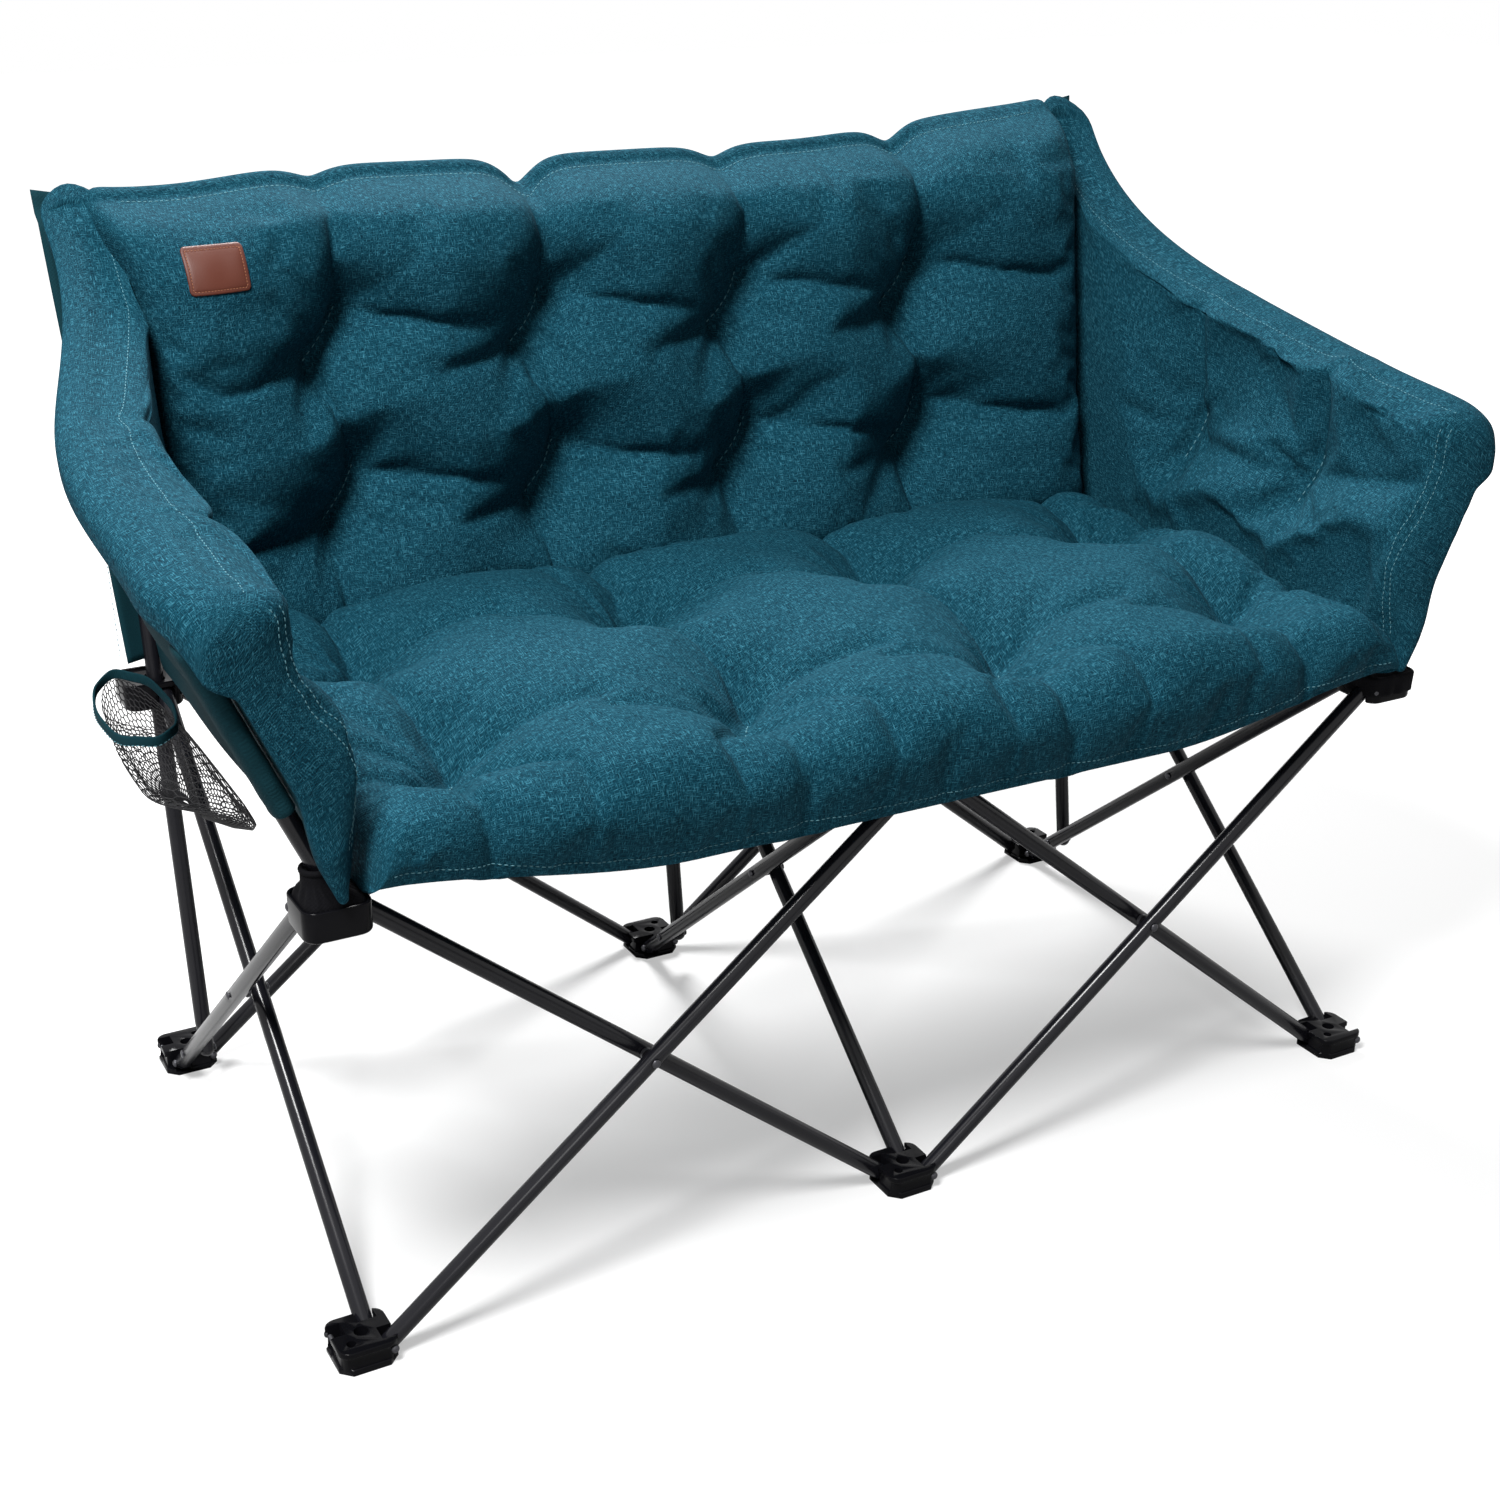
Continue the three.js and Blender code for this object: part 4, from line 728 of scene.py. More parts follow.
# %% Back pad
BACK_HALF_WIDTH = float(high("back_pad")[0])
BACK_BOTTOM = float(low("back_pad")[2])
BACK_TOP = 0.920
BACK_CORNER_RISE = 0.018
BACK_RIGHT_RISE = 0.014
BACK_LEFT_DROP = 0.024
BACK_THICKNESS = 0.110
BACK_EDGE = 0.018
BACK_SEAM = 0.007
BACK_TOP_REACH, BACK_BOTTOM_REACH, BACK_SIDE_REACH = 0.074, 0.080, 0.064
BACK_TUFT_DEPTH = 0.074
BACK_GATHER_DEPTH, BACK_GATHER_REACH = 0.0075, 0.040
BACK_SIDE_SHARE = 0.62
BACK_EAR = 0.014
BACK_TUFT_REACH = 0.104
BACK_TUFT_X = (-0.358, -0.136, 0.094, 0.318)
BACK_TUFT_Z = (0.617, 0.772)
BACK_STITCH = (0.018, 0.024)
BACK_DIPS = (0.011, 0.026, 0.013, 0.018)
BACK_DIP_WIDTH = 0.024
BACK_ROLL_DEPTH = 0.008
PATCH_HALF_WIDTH, PATCH_HALF_HEIGHT = half_span("leather_patch", 0), half_span("leather_patch", 2)
PATCH_CENTRE = middle("leather_patch", 0), middle("leather_patch", 2)
PATCH_HOLD, PATCH_HOLD_EASE = 0.010, 0.02
BACK_RISE_FROM_SHARE, BACK_RISE_OVER_SHARE = 0.35, 0.5
BACK_DROP_FROM_SHARE = 0.6
BACK_DIP_POWER = 1.5
BACK_LEAST = 0.008
BACK_LUMP_SIZE = 0.045
BACK_EAR_LOW_SHARE, BACK_EAR_IN_SHARE = 0.78, 0.86
BACK_HOLD, BACK_HOLD_EASE = 0.004, 0.02
BACK_SPARE_SHARE, BACK_SWELL = 0.050, 0.014
POST_TOP = 0.872
POST_CLEAR = TUBE_RADIUS / math.cos(math.atan(POST_SLOPE)) + 0.0003
PAD_STEP = 0.0068


def post_line_y(z):
    return POST_FOOT[1] + (z - POST_FOOT[2]) * POST_SLOPE


def back_top(x):
    u = x / BACK_HALF_WIDTH
    top = BACK_TOP + BACK_CORNER_RISE * u ** 4
    top = top + BACK_RIGHT_RISE * smooth((u - BACK_RISE_FROM_SHARE) / BACK_RISE_OVER_SHARE)
    top = top - BACK_LEFT_DROP * smooth((-u - BACK_DROP_FROM_SHARE) / (1 - BACK_DROP_FROM_SHARE))
    for at, dip in zip(BACK_TUFT_X, BACK_DIPS):
        top = top - dip * np.exp(-np.abs((x - at - BACK_STITCH[0]) / BACK_DIP_WIDTH) ** BACK_DIP_POWER)
    return top


def back_stitches():
    across, up = BACK_STITCH
    return [((x + across, z + up), (x - across, z - up)) for x in BACK_TUFT_X for z in BACK_TUFT_Z]


def back_creases():
    across, up = BACK_STITCH
    lower, upper = BACK_TUFT_Z
    creases = []
    for x, dip in zip(BACK_TUFT_X, BACK_DIPS):
        creases += [
            ((x + across, upper + up), (x + 0.4 * across, BACK_TOP), 0.032 + dip, 0.017),
            ((x - across, upper - up), (x + across, lower + up), 0.050, 0.018),
            ((x + across, lower + up), (x - across, upper - up), 0.046, 0.017),
            ((x - across, lower - up), (x - 0.6 * across, BACK_BOTTOM), 0.040, 0.017),
            ((x + across, upper + up), (x + 0.165, upper + 0.004), 0.032, 0.015),
            ((x + across, lower + up), (x + 0.155, lower + 0.008), 0.032, 0.015),
            ((x - across, upper - up), (x - 0.120, upper - 0.034), 0.024, 0.013),
            ((x - across, lower - up), (x - 0.120, lower - 0.030), 0.024, 0.013),
            ((x + across, upper + up), (x + 0.095, upper + 0.085), 0.017, 0.012),
            ((x + across, upper + up), (x - 0.060, upper + 0.080), 0.014, 0.011),
        ]
    return creases


def back_rear_y(z):
    over_posts = smooth((z - POST_TOP - 2 * TUBE_RADIUS) / TUBE_RADIUS)
    return post_line_y(z) - POST_CLEAR + BACK_ROLL_DEPTH * over_posts


def back_grids():
    columns = int(2 * BACK_HALF_WIDTH / PAD_STEP) + 1
    rows = int((BACK_TOP - BACK_BOTTOM) / PAD_STEP) + 1
    x, v = np.meshgrid(np.linspace(-BACK_HALF_WIDTH, BACK_HALF_WIDTH, columns), np.linspace(0, 1, rows))
    top = back_top(x)
    z = mix(BACK_BOTTOM, top, v)
    from_side = BACK_HALF_WIDTH - np.abs(x)
    swell = (rise(top - BACK_SEAM - z, BACK_TOP_REACH) * rise(z - BACK_BOTTOM, BACK_BOTTOM_REACH)
             * mix(BACK_SIDE_SHARE, 1, rise(from_side, BACK_SIDE_REACH)))
    pull = BACK_TUFT_DEPTH * tuft_pull(x, z, back_stitches(), BACK_TUFT_REACH)
    fold = crease_depth(x, z, back_creases())
    loft = BACK_THICKNESS - BACK_EDGE + FILLING_LUMP_DEPTH * lumps(x, z, BACK_LUMP_SIZE, 1.0)
    loft = loft + wrinkles(x, z, 1.0) + gathers(x, z, back_stitches(), BACK_GATHER_DEPTH, BACK_GATHER_REACH)
    pressed = np.maximum(loft - np.hypot(pull, fold), BACK_LEAST)
    depth = BACK_EDGE + pressed * swell
    rear = back_rear_y(z)
    ear = BACK_EAR * smooth((v - BACK_EAR_LOW_SHARE) / (1 - BACK_EAR_LOW_SHARE)) * np.sign(x)
    ear = ear * smooth((np.abs(x) / BACK_HALF_WIDTH - BACK_EAR_IN_SHARE) / (1 - BACK_EAR_IN_SHARE))
    return np.stack([x + ear, rear - depth, z], axis=2), np.stack([x + ear, rear, z], axis=2)


def hold_back(obj, face_at, face):
    """The tufts and the border hold the cloth of the back; the cloth between them is free."""
    x, z = face[:, :, 0], face[:, :, 2]
    free = smooth((back_top(x) - z - BACK_HOLD) / BACK_HOLD_EASE) * smooth((z - BACK_BOTTOM) / BACK_HOLD_EASE)
    free *= smooth((BACK_HALF_WIDTH - np.abs(x)) / BACK_HOLD_EASE)
    free *= clear_of(x, z, back_stitches())
    beside_patch = np.hypot(np.maximum(np.abs(x - PATCH_CENTRE[0]) - PATCH_HALF_WIDTH, 0),
                            np.maximum(np.abs(z - PATCH_CENTRE[1]) - PATCH_HALF_HEIGHT, 0))
    free *= smooth((beside_patch - PATCH_HOLD) / PATCH_HOLD_EASE)
    return held_except(obj, face_at, free)


back_face, back_rear = back_grids()
back, back_at = stuffed_skin("back_quilt", back_face, back_rear, QUILT, LINING)
fill(back, hold_back(back, back_at, back_face), BACK_SPARE_SHARE, BACK_SWELL)
subdivide(back)
stands_for(back, "back_pad", "back")
print("back:", len(back.data.polygons), "faces")

# %% [markdown]
# The seat is one stuffed cushion that sags between the hubs and rolls down over the front row. Eight
# tufts quilt it. It is filled as one piece, so the cloth runs on without a break, and then parted at
# the three lines where it folds. Each part keeps the shading of the whole cushion, so the partings
# don't show while the chair is open.

# %% Seat cushion
SEAT_HALF_WIDTH = float(high("seat_panel_right_outer")[0])
SEAT_FRONT_Y = float(low("seat_panel_left_inner")[1])
SEAT_BACK_Y = float(high("seat_panel_left_inner")[1])
SEAT_LIP_HEIGHT = float(low("seat_panel_left_inner")[2])
SEAT_LIP_END_HEIGHT = 0.466
SEAT_LIP_FLAT_HALF = 0.250
SEAT_LIP_Y = -0.3215
SEAT_LIP_DEPTH = 0.012
SEAT_ROLL_TOP_Y = -0.302
SEAT_TOP_HEIGHT = 0.553
SEAT_FRONT_TOP_HEIGHT = 0.535
SEAT_SAG = 0.020
SEAT_EDGE = 0.034
SEAT_EDGE_REACH = 0.068
SEAT_TUFT_DEPTH = 0.068
SEAT_FOLD_GAIN = 1.25
SEAT_GATHER_DEPTH, SEAT_GATHER_REACH = 0.0080, 0.044
SEAT_LEAST = 0.010
SEAT_TUFT_REACH = 0.104
SEAT_TUFT_X = (-0.430, -0.140, 0.140, 0.430)
SEAT_TUFT_Y = (-0.215, 0.010)
SEAT_STITCH = (0.014, 0.022)
SEAT_ROLL_ROWS = 22
SEAT_ROLL_FOLD_SHARE = 0.7
SEAT_ROLL_LUMP_DEPTH, SEAT_ROLL_LUMP_SIZE = 0.003, 0.045
SEAT_LUMP_SIZE = 0.05
SEAT_HOLD_ROWS, SEAT_HOLD_BACK, SEAT_HOLD_SIDE = 3, 0.03, 0.02
SEAT_SPARE_SHARE, SEAT_SWELL = 0.050, 0.007
SEAT_LIP_SHARE = 0.3
HUB_HALF = float(high("hub_front_middle")[0])
REST_GAP = 0.0003


def seat_bottom(x, y):
    from_hub = np.minimum(np.abs(x), PITCH - np.abs(x)) - HUB_HALF
    between = smooth(from_hub / (PITCH / 2 - HUB_HALF))
    toward_back = (y - SEAT_FRONT_Y) / (SEAT_BACK_Y - SEAT_FRONT_Y)
    return HUB_TOP + REST_GAP - SEAT_SAG * between * mix(1, 0.5, toward_back)


def seat_stitches():
    across, ahead = SEAT_STITCH
    return [((x + across, y + ahead), (x - across, y - ahead)) for x in SEAT_TUFT_X for y in SEAT_TUFT_Y]


def seat_creases():
    across, ahead = SEAT_STITCH
    front, rear = SEAT_TUFT_Y
    creases = []
    for x in SEAT_TUFT_X:
        creases += [
            ((x - across, front - ahead), (x - 0.006, SEAT_FRONT_Y), 0.030, 0.017),
            ((x + across, front + ahead), (x - across, rear - ahead), 0.034, 0.018),
            ((x - across, rear - ahead), (x + across, front + ahead), 0.030, 0.018),
            ((x + across, rear + ahead), (x + across, SEAT_BACK_Y), 0.034, 0.018),
            ((x + across, front + ahead), (x + 0.150, front + 0.012), 0.026, 0.016),
            ((x + across, rear + ahead), (x + 0.150, rear + 0.012), 0.026, 0.016),
            ((x - across, front - ahead), (x - 0.140, front - 0.012), 0.024, 0.015),
            ((x - across, rear - ahead), (x - 0.140, rear - 0.010), 0.022, 0.015),
            ((x - across, front - ahead), (x - 0.075, front - 0.090), 0.016, 0.012),
            ((x + across, front - ahead), (x + 0.080, front - 0.085), 0.016, 0.012),
        ]
    return creases


def seat_top(x, y):
    from_back = rise(SEAT_BACK_Y - y, SEAT_EDGE_REACH)
    from_side = rise(SEAT_HALF_WIDTH - np.abs(x), SEAT_EDGE_REACH)
    toward_back = (y - SEAT_ROLL_TOP_Y) / (SEAT_BACK_Y - SEAT_ROLL_TOP_Y)
    full = mix(SEAT_FRONT_TOP_HEIGHT, SEAT_TOP_HEIGHT, np.sin(math.pi * np.clip(toward_back, 0, 1)))
    pull = SEAT_TUFT_DEPTH * tuft_pull(x, y, seat_stitches(), SEAT_TUFT_REACH)
    fold = SEAT_FOLD_GAIN * crease_depth(x, y, seat_creases())
    lumpy = full + FILLING_LUMP_DEPTH * lumps(x, y, SEAT_LUMP_SIZE, 2.0)
    pressed = lumpy + wrinkles(x, y, 2.0) - np.hypot(pull, fold)
    pressed = pressed + gathers(x, y, seat_stitches(), SEAT_GATHER_DEPTH, SEAT_GATHER_REACH)
    pressed = np.maximum(pressed, seat_bottom(x, y) + SEAT_LEAST)
    return mix(seat_bottom(x, y) + SEAT_EDGE, pressed, from_back * from_side)


def seat_lip_height(x):
    beyond = smooth((np.abs(x) - SEAT_LIP_FLAT_HALF) / (PITCH - SEAT_LIP_FLAT_HALF))
    return mix(SEAT_LIP_HEIGHT, SEAT_LIP_END_HEIGHT, beyond)


def seat_grids():
    columns = int(2 * SEAT_HALF_WIDTH / PAD_STEP) + 1
    flat_rows = int((SEAT_BACK_Y - SEAT_ROLL_TOP_Y) / PAD_STEP)
    xs = np.linspace(-SEAT_HALF_WIDTH, SEAT_HALF_WIDTH, columns)
    x, t = np.meshgrid(xs, np.linspace(0, 1, SEAT_ROLL_ROWS, endpoint=False))
    lip, crown = seat_lip_height(x), seat_top(x, np.full_like(x, SEAT_ROLL_TOP_Y))
    behind = mix(SEAT_LIP_Y - SEAT_LIP_DEPTH, SEAT_ROLL_TOP_Y, t)
    bulge = np.sin(math.pi * t)
    folds = crease_depth(x, mix(SEAT_FRONT_Y, SEAT_ROLL_TOP_Y, t), seat_creases())
    rolled = SEAT_ROLL_LUMP_DEPTH * lumps(x, t * 0.1, SEAT_ROLL_LUMP_SIZE, 3.0)
    y = mix(behind, SEAT_FRONT_Y + SEAT_ROLL_FOLD_SHARE * folds + rolled, bulge)
    z = mix(lip, crown, (1 - np.cos(math.pi * t)) / 2)
    roll = np.stack([x, y, z], axis=2)
    inner = np.maximum(seat_bottom(x, SEAT_LIP_Y), lip)
    low_half = t < 0.5
    along = np.where(low_half, SEAT_LIP_SHARE * t, mix(SEAT_LIP_SHARE / 2, 1, 2 * t - 1))
    under_y = mix(SEAT_LIP_Y, SEAT_ROLL_TOP_Y, along)
    under_z = np.where(low_half, mix(lip, inner, 2 * t), mix(inner, seat_bottom(x, under_y), 2 * t - 1))
    roll_under = np.stack([x, under_y, under_z], axis=2)
    x, y = np.meshgrid(xs, np.linspace(SEAT_ROLL_TOP_Y, SEAT_BACK_Y, flat_rows + 1))
    flat = np.stack([x, y, seat_top(x, y)], axis=2)
    flat_under = np.stack([x, y, seat_bottom(x, y)], axis=2)
    return np.concatenate([roll, flat]), np.concatenate([roll_under, flat_under])


def hold_seat(obj, face_at, face):
    x, y = face[:, :, 0], face[:, :, 1]
    rows = np.arange(face.shape[0])[:, None]
    free = smooth((rows - 1) / SEAT_HOLD_ROWS) * smooth((SEAT_BACK_Y - y) / SEAT_HOLD_BACK)
    free = free * smooth((SEAT_HALF_WIDTH - np.abs(x)) / SEAT_HOLD_SIDE)
    free = free * np.where(rows > SEAT_ROLL_ROWS, clear_of(x, y, seat_stitches()), 1)
    return held_except(obj, face_at, free)


def part_of_cushion(whole, name, x_low, x_high):
    """The stretch of a cushion between two upright planes, closed where it was cut."""
    build = bmesh.new()
    build.from_mesh(whole.data)
    normal_layer = build.verts.layers.float_vector.new("whole_normal")
    for vertex in build.verts:
        vertex[normal_layer] = vertex.normal
    for x, side in ((x_low, -1), (x_high, 1)):
        if x is None:
            continue
        cut = bmesh.ops.bisect_plane(build, geom=build.verts[:] + build.edges[:] + build.faces[:],
                                     plane_co=(x, 0, 0), plane_no=(side, 0, 0), clear_outer=True)
        rim = [item for item in cut["geom_cut"] if isinstance(item, bmesh.types.BMEdge)]
        filled = bmesh.ops.holes_fill(build, edges=rim)["faces"]
        for face in filled:
            face.smooth = False
            face.material_index = 1
        bmesh.ops.triangulate(build, faces=filled)
    mesh = bpy.data.meshes.new(name)
    build.to_mesh(mesh)
    build.free()
    stored = np.zeros(len(mesh.vertices) * 3)
    mesh.attributes["whole_normal"].data.foreach_get("vector", stored)
    stored = stored.reshape(-1, 3)
    mesh.attributes.remove(mesh.attributes["whole_normal"])
    normals = []
    for face in mesh.polygons:
        for corner in face.loop_indices:
            vertex = mesh.loops[corner].vertex_index
            normals.append(tuple(stored[vertex]) if face.use_smooth else tuple(face.normal))
    mesh.normals_split_custom_set(normals)
    for material in whole.data.materials:
        mesh.materials.append(material)
    return linked(name, mesh)


SEAT_PARTS = [
    # name, left edge, right edge
    ("left_outer", None, -PITCH / 2 - REST_GAP / 2),
    ("left_inner", -PITCH / 2 + REST_GAP / 2, -REST_GAP / 2),
    ("right_inner", REST_GAP / 2, PITCH / 2 - REST_GAP / 2),
    ("right_outer", PITCH / 2 + REST_GAP / 2, None),
]
seat_face, seat_under = seat_grids()
seat, seat_at = stuffed_skin("seat_quilt", seat_face, seat_under, QUILT, LINING)
fill(seat, hold_seat(seat, seat_at, seat_face), SEAT_SPARE_SHARE, SEAT_SWELL)
subdivide(seat)
seat_surface = surface_of(seat)
seat_parts = []
for part_name, x_low, x_high in SEAT_PARTS:
    part = part_of_cushion(seat, f"seat_quilt_{part_name}", x_low, x_high)
    stands_for(part, f"seat_panel_{part_name}", f"seat_{part_name}")
    seat_parts.append(part)
bpy.data.objects.remove(seat)
print("seat parts:", [len(part.data.polygons) for part in seat_parts])

# %% [markdown]
# Each arm is a stuffed wing from the front hub to the back post. It leans outward toward the front,
# sweeps up to the corner of the back, and its quilted inner face turns over a thick soft roll. The
# outer side below the roll is the plain lining. Two tufts hold the inner face.

# %% Arms
ARM_FRONT_Y = float(low("arm_pad_right")[1])
ARM_BOTTOM = float(low("arm_pad_right")[2])
ARM_FRONT_BOTTOM = 0.484
ARM_TOP_FRONT = 0.716
ARM_SLOPE_RISE = 0.075
ARM_SWEEP_RISE = {-1: 0.122, 1: 0.156}
ARM_SWEEP_POWER = 4.6
ARM_BULGE = 0.034
ARM_LOW_BOW_SHARE = 0.2
ARM_BACK_TOP_X = 0.606
ARM_THICKNESS = 0.074
ARM_FRONT_EDGE = 0.030
ARM_FRONT_ROUND = 0.046
ARM_ROLL_HALF_HEIGHT, ARM_ROLL_BACK_HALF_HEIGHT = 0.024, 0.012
ARM_BACK_SQUARE = 0.45
ARM_CORNER_DROP, ARM_CORNER_REACH = 0.020, 0.050
ARM_ROLL_OUT_REACH = 0.090
ARM_ROLL_OUT_FRONT = {-1: 0.025, 1: 0.011}
ARM_ROLL_OUT_BACK = 0.004
ARM_TUFT_DEPTH = 0.046
ARM_GATHER_DEPTH, ARM_GATHER_REACH = 0.006, 0.038
ARM_TUFT_REACH = 0.098
ARM_TUFTS = ((-0.140, 0.608), (0.048, 0.613))
ARM_STITCH = (0.006, 0.024)
ARM_NOTCH_SHARE = 0.125
ARM_ROLL_START_SHARE = 2 / 3
ARM_JOIN_FROM_SHARE = 0.34
ARM_TIP_DROP, ARM_TIP_OUT, ARM_TIP_SHARE = 0.028, 0.016, 0.035
ARM_TIP_HEIGHT = 0.075
ARM_ROLL_TURN = -math.pi / 6
ARM_FOOT_X = COLUMN_X["right"] - (TUBE_RADIUS + 0.0024 + 2 * REST_GAP) / math.cos(math.atan(ARM_SLOPE))
ARM_PIVOT_Z = 0.4564
ARM_TOP_BACK = 0.941
ARM_DEPTH = float(high("arm_pad_right")[1]) - ARM_FRONT_Y
ARM_ROWS, ARM_SPARE_DEPTH = 54, 0.12
ARM_LUMP_SIZE = 0.05
ARM_LEAST = 0.016
ARM_FOOT_SHARE, ARM_FOOT_REACH = 0.4, 0.040
ARM_ROLL_OUT_START_SHARE = 0.5
ARM_ROLL_FOLD_SHARE = 0.6
ARM_INNER_JOIN_SHARE, ARM_OUTER_JOIN_SHARE = 0.06, 0.07
ARM_QUILT_BELOW_ROLL_SHARE = 0.03
ARM_HOLD_ROWS = 3
ARM_SPARE_SHARE, ARM_SWELL = 0.040, 0.006


def arm_top(u, side):
    corner = ARM_CORNER_DROP * (1 - rise(u * ARM_DEPTH, ARM_CORNER_REACH))
    return ARM_TOP_FRONT + ARM_SLOPE_RISE * u + ARM_SWEEP_RISE[side] * u ** ARM_SWEEP_POWER - corner


def arm_roll_half(u):
    return mix(ARM_ROLL_HALF_HEIGHT, ARM_ROLL_BACK_HALF_HEIGHT, smooth(u))


def arm_y(u, v):
    rear = post_line_y(mix(ARM_BOTTOM, ARM_TOP_BACK, v)) - POST_CLEAR
    return mix(ARM_FRONT_Y, rear, u)


def arm_roll_turn(v):
    return mix(ARM_ROLL_TURN, math.pi / 2, (v - ARM_ROLL_START_SHARE) / (1 - ARM_ROLL_START_SHARE))


def arm_height(u, v, side):
    notch = smooth((u - ARM_NOTCH_SHARE) / ARM_NOTCH_SHARE)
    bottom = mix(ARM_FRONT_BOTTOM, ARM_BOTTOM, notch) - ARM_TIP_DROP * np.exp(-(u / ARM_TIP_SHARE) ** 2)
    roll_middle = arm_top(u, side) - arm_roll_half(u)
    on_roll = roll_middle + arm_roll_half(u) * np.sin(arm_roll_turn(v))
    roll_start = roll_middle + arm_roll_half(u) * math.sin(ARM_ROLL_TURN)
    return np.where(v > ARM_ROLL_START_SHARE, on_roll, mix(bottom, roll_start, v / ARM_ROLL_START_SHARE))


def arm_plain_x(u, z):
    rear_slope = (ARM_BACK_TOP_X - ARM_FOOT_X) / (ARM_TOP_BACK - ARM_PIVOT_Z)
    slope = mix(ARM_SLOPE, rear_slope, smooth(u))
    past_notch = np.maximum((u - ARM_NOTCH_SHARE) / (1 - ARM_NOTCH_SHARE), 0)
    bow = ARM_BULGE * mix(ARM_LOW_BOW_SHARE, 1, smooth((z - ARM_BOTTOM - 0.03) / 0.12))
    return ARM_FOOT_X + (z - ARM_PIVOT_Z) * slope + bow * np.sin(math.pi * past_notch) ** 2


def arm_stitches():
    back_lean, up = ARM_STITCH
    return [((y - back_lean, z + up), (y + back_lean, z - up)) for y, z in ARM_TUFTS]


def arm_creases():
    (front_y, front_z), (rear_y, rear_z) = ARM_TUFTS
    return [
        ((front_y, front_z + 0.02), (front_y - 0.010, 0.740), 0.030, 0.016),
        ((front_y, front_z - 0.02), (front_y + 0.008, ARM_BOTTOM), 0.030, 0.016),
        ((rear_y, rear_z + 0.02), (rear_y + 0.006, 0.780), 0.030, 0.016),
        ((rear_y, rear_z - 0.02), (rear_y - 0.004, ARM_BOTTOM), 0.030, 0.016),
        ((front_y, front_z), (rear_y, rear_z), 0.030, 0.015),
        ((rear_y, rear_z), (front_y, front_z), 0.030, 0.015),
        ((front_y, front_z + 0.01), (-0.290, 0.640), 0.024, 0.014),
        ((front_y, front_z - 0.02), (-0.270, 0.560), 0.010, 0.011),
        ((front_y, front_z + 0.02), (front_y + 0.085, 0.700), 0.010, 0.010),
        ((rear_y, rear_z + 0.01), (rear_y + 0.130, 0.640), 0.024, 0.014),
        ((rear_y, rear_z + 0.02), (rear_y + 0.095, 0.720), 0.010, 0.010),
        ((rear_y, rear_z - 0.02), (rear_y + 0.100, 0.540), 0.010, 0.010),
        ((-0.312, 0.500), (-0.200, 0.560), 0.012, 0.009),
        ((-0.312, 0.520), (-0.215, 0.600), 0.009, 0.008),
    ]


def arm_grids(side):
    columns = int((SEAT_BACK_Y - ARM_FRONT_Y + ARM_SPARE_DEPTH) / PAD_STEP)
    u, v = np.meshgrid(np.linspace(0, 1, columns), np.linspace(0, 1, ARM_ROWS))
    y, z = arm_y(u, v), arm_height(u, v, side)
    front = rise(y - ARM_FRONT_Y, ARM_FRONT_ROUND)
    pull = ARM_TUFT_DEPTH * tuft_pull(y, z, arm_stitches(), ARM_TUFT_REACH)
    pull = np.hypot(pull, crease_depth(y, z, arm_creases()))
    pull = pull - gathers(y, z, arm_stitches(), ARM_GATHER_DEPTH, ARM_GATHER_REACH)
    foot = rise(z - arm_height(u, np.zeros_like(v), side), ARM_FOOT_REACH)
    stuffed = ARM_THICKNESS + FILLING_LUMP_DEPTH * lumps(y, z, ARM_LUMP_SIZE, 4.0) + wrinkles(y, z, 4.0)
    full = mix(ARM_FOOT_SHARE, 1, foot) * stuffed - pull * foot
    thickness = mix(ARM_FRONT_EDGE, np.maximum(full, ARM_LEAST), front)
    inner = np.maximum(arm_plain_x(u, z) - thickness, BACK_HALF_WIDTH + REST_GAP)
    outer = arm_plain_x(u, z)
    roll_z = arm_top(u, side) - arm_roll_half(u)
    roll_out = mix(ARM_ROLL_OUT_FRONT[side], ARM_ROLL_OUT_BACK, smooth(u))
    roll_out = roll_out * mix(ARM_ROLL_OUT_START_SHARE, 1, smooth((y - ARM_FRONT_Y) / ARM_ROLL_OUT_REACH))
    roll_outer = arm_plain_x(u, roll_z) + roll_out
    folded = ARM_ROLL_FOLD_SHARE * crease_depth(y, z, arm_creases())
    roll_thickness = mix(ARM_FRONT_EDGE, ARM_THICKNESS - folded, front)
    roll_inner = np.maximum(arm_plain_x(u, roll_z) - roll_thickness, BACK_HALF_WIDTH + REST_GAP)
    turn = np.maximum(np.cos(np.maximum(arm_roll_turn(v), 0)), 0) ** mix(1, ARM_BACK_SQUARE, smooth(u))
    centre, half = (roll_outer + roll_inner) / 2, (roll_outer - roll_inner) / 2
    join_span = ARM_ROLL_START_SHARE - ARM_JOIN_FROM_SHARE + ARM_INNER_JOIN_SHARE
    inner = mix(inner, centre - half * turn, smooth((v - ARM_JOIN_FROM_SHARE) / join_span))
    outer_join = smooth((v - ARM_ROLL_START_SHARE + ARM_OUTER_JOIN_SHARE) / ARM_OUTER_JOIN_SHARE)
    outer = mix(outer, centre + half * turn, outer_join)
    low_front = smooth((ARM_FRONT_BOTTOM + ARM_TIP_HEIGHT - z) / ARM_TIP_HEIGHT)
    tip = ARM_TIP_OUT * np.exp(-(u / ARM_TIP_SHARE) ** 2) * low_front
    return np.stack([inner + tip, y, z], axis=2), np.stack([outer + tip, y, z], axis=2)


def hold_arm(obj, face_at, face):
    y, z = face[:, :, 1], face[:, :, 2]
    row, column = np.indices(y.shape)
    from_rear = y.shape[1] - 1 - column
    free = smooth(row / ARM_HOLD_ROWS) * smooth(column / ARM_HOLD_ROWS) * smooth(from_rear / ARM_HOLD_ROWS)
    return held_except(obj, face_at, free * clear_of(y, z, arm_stitches()))


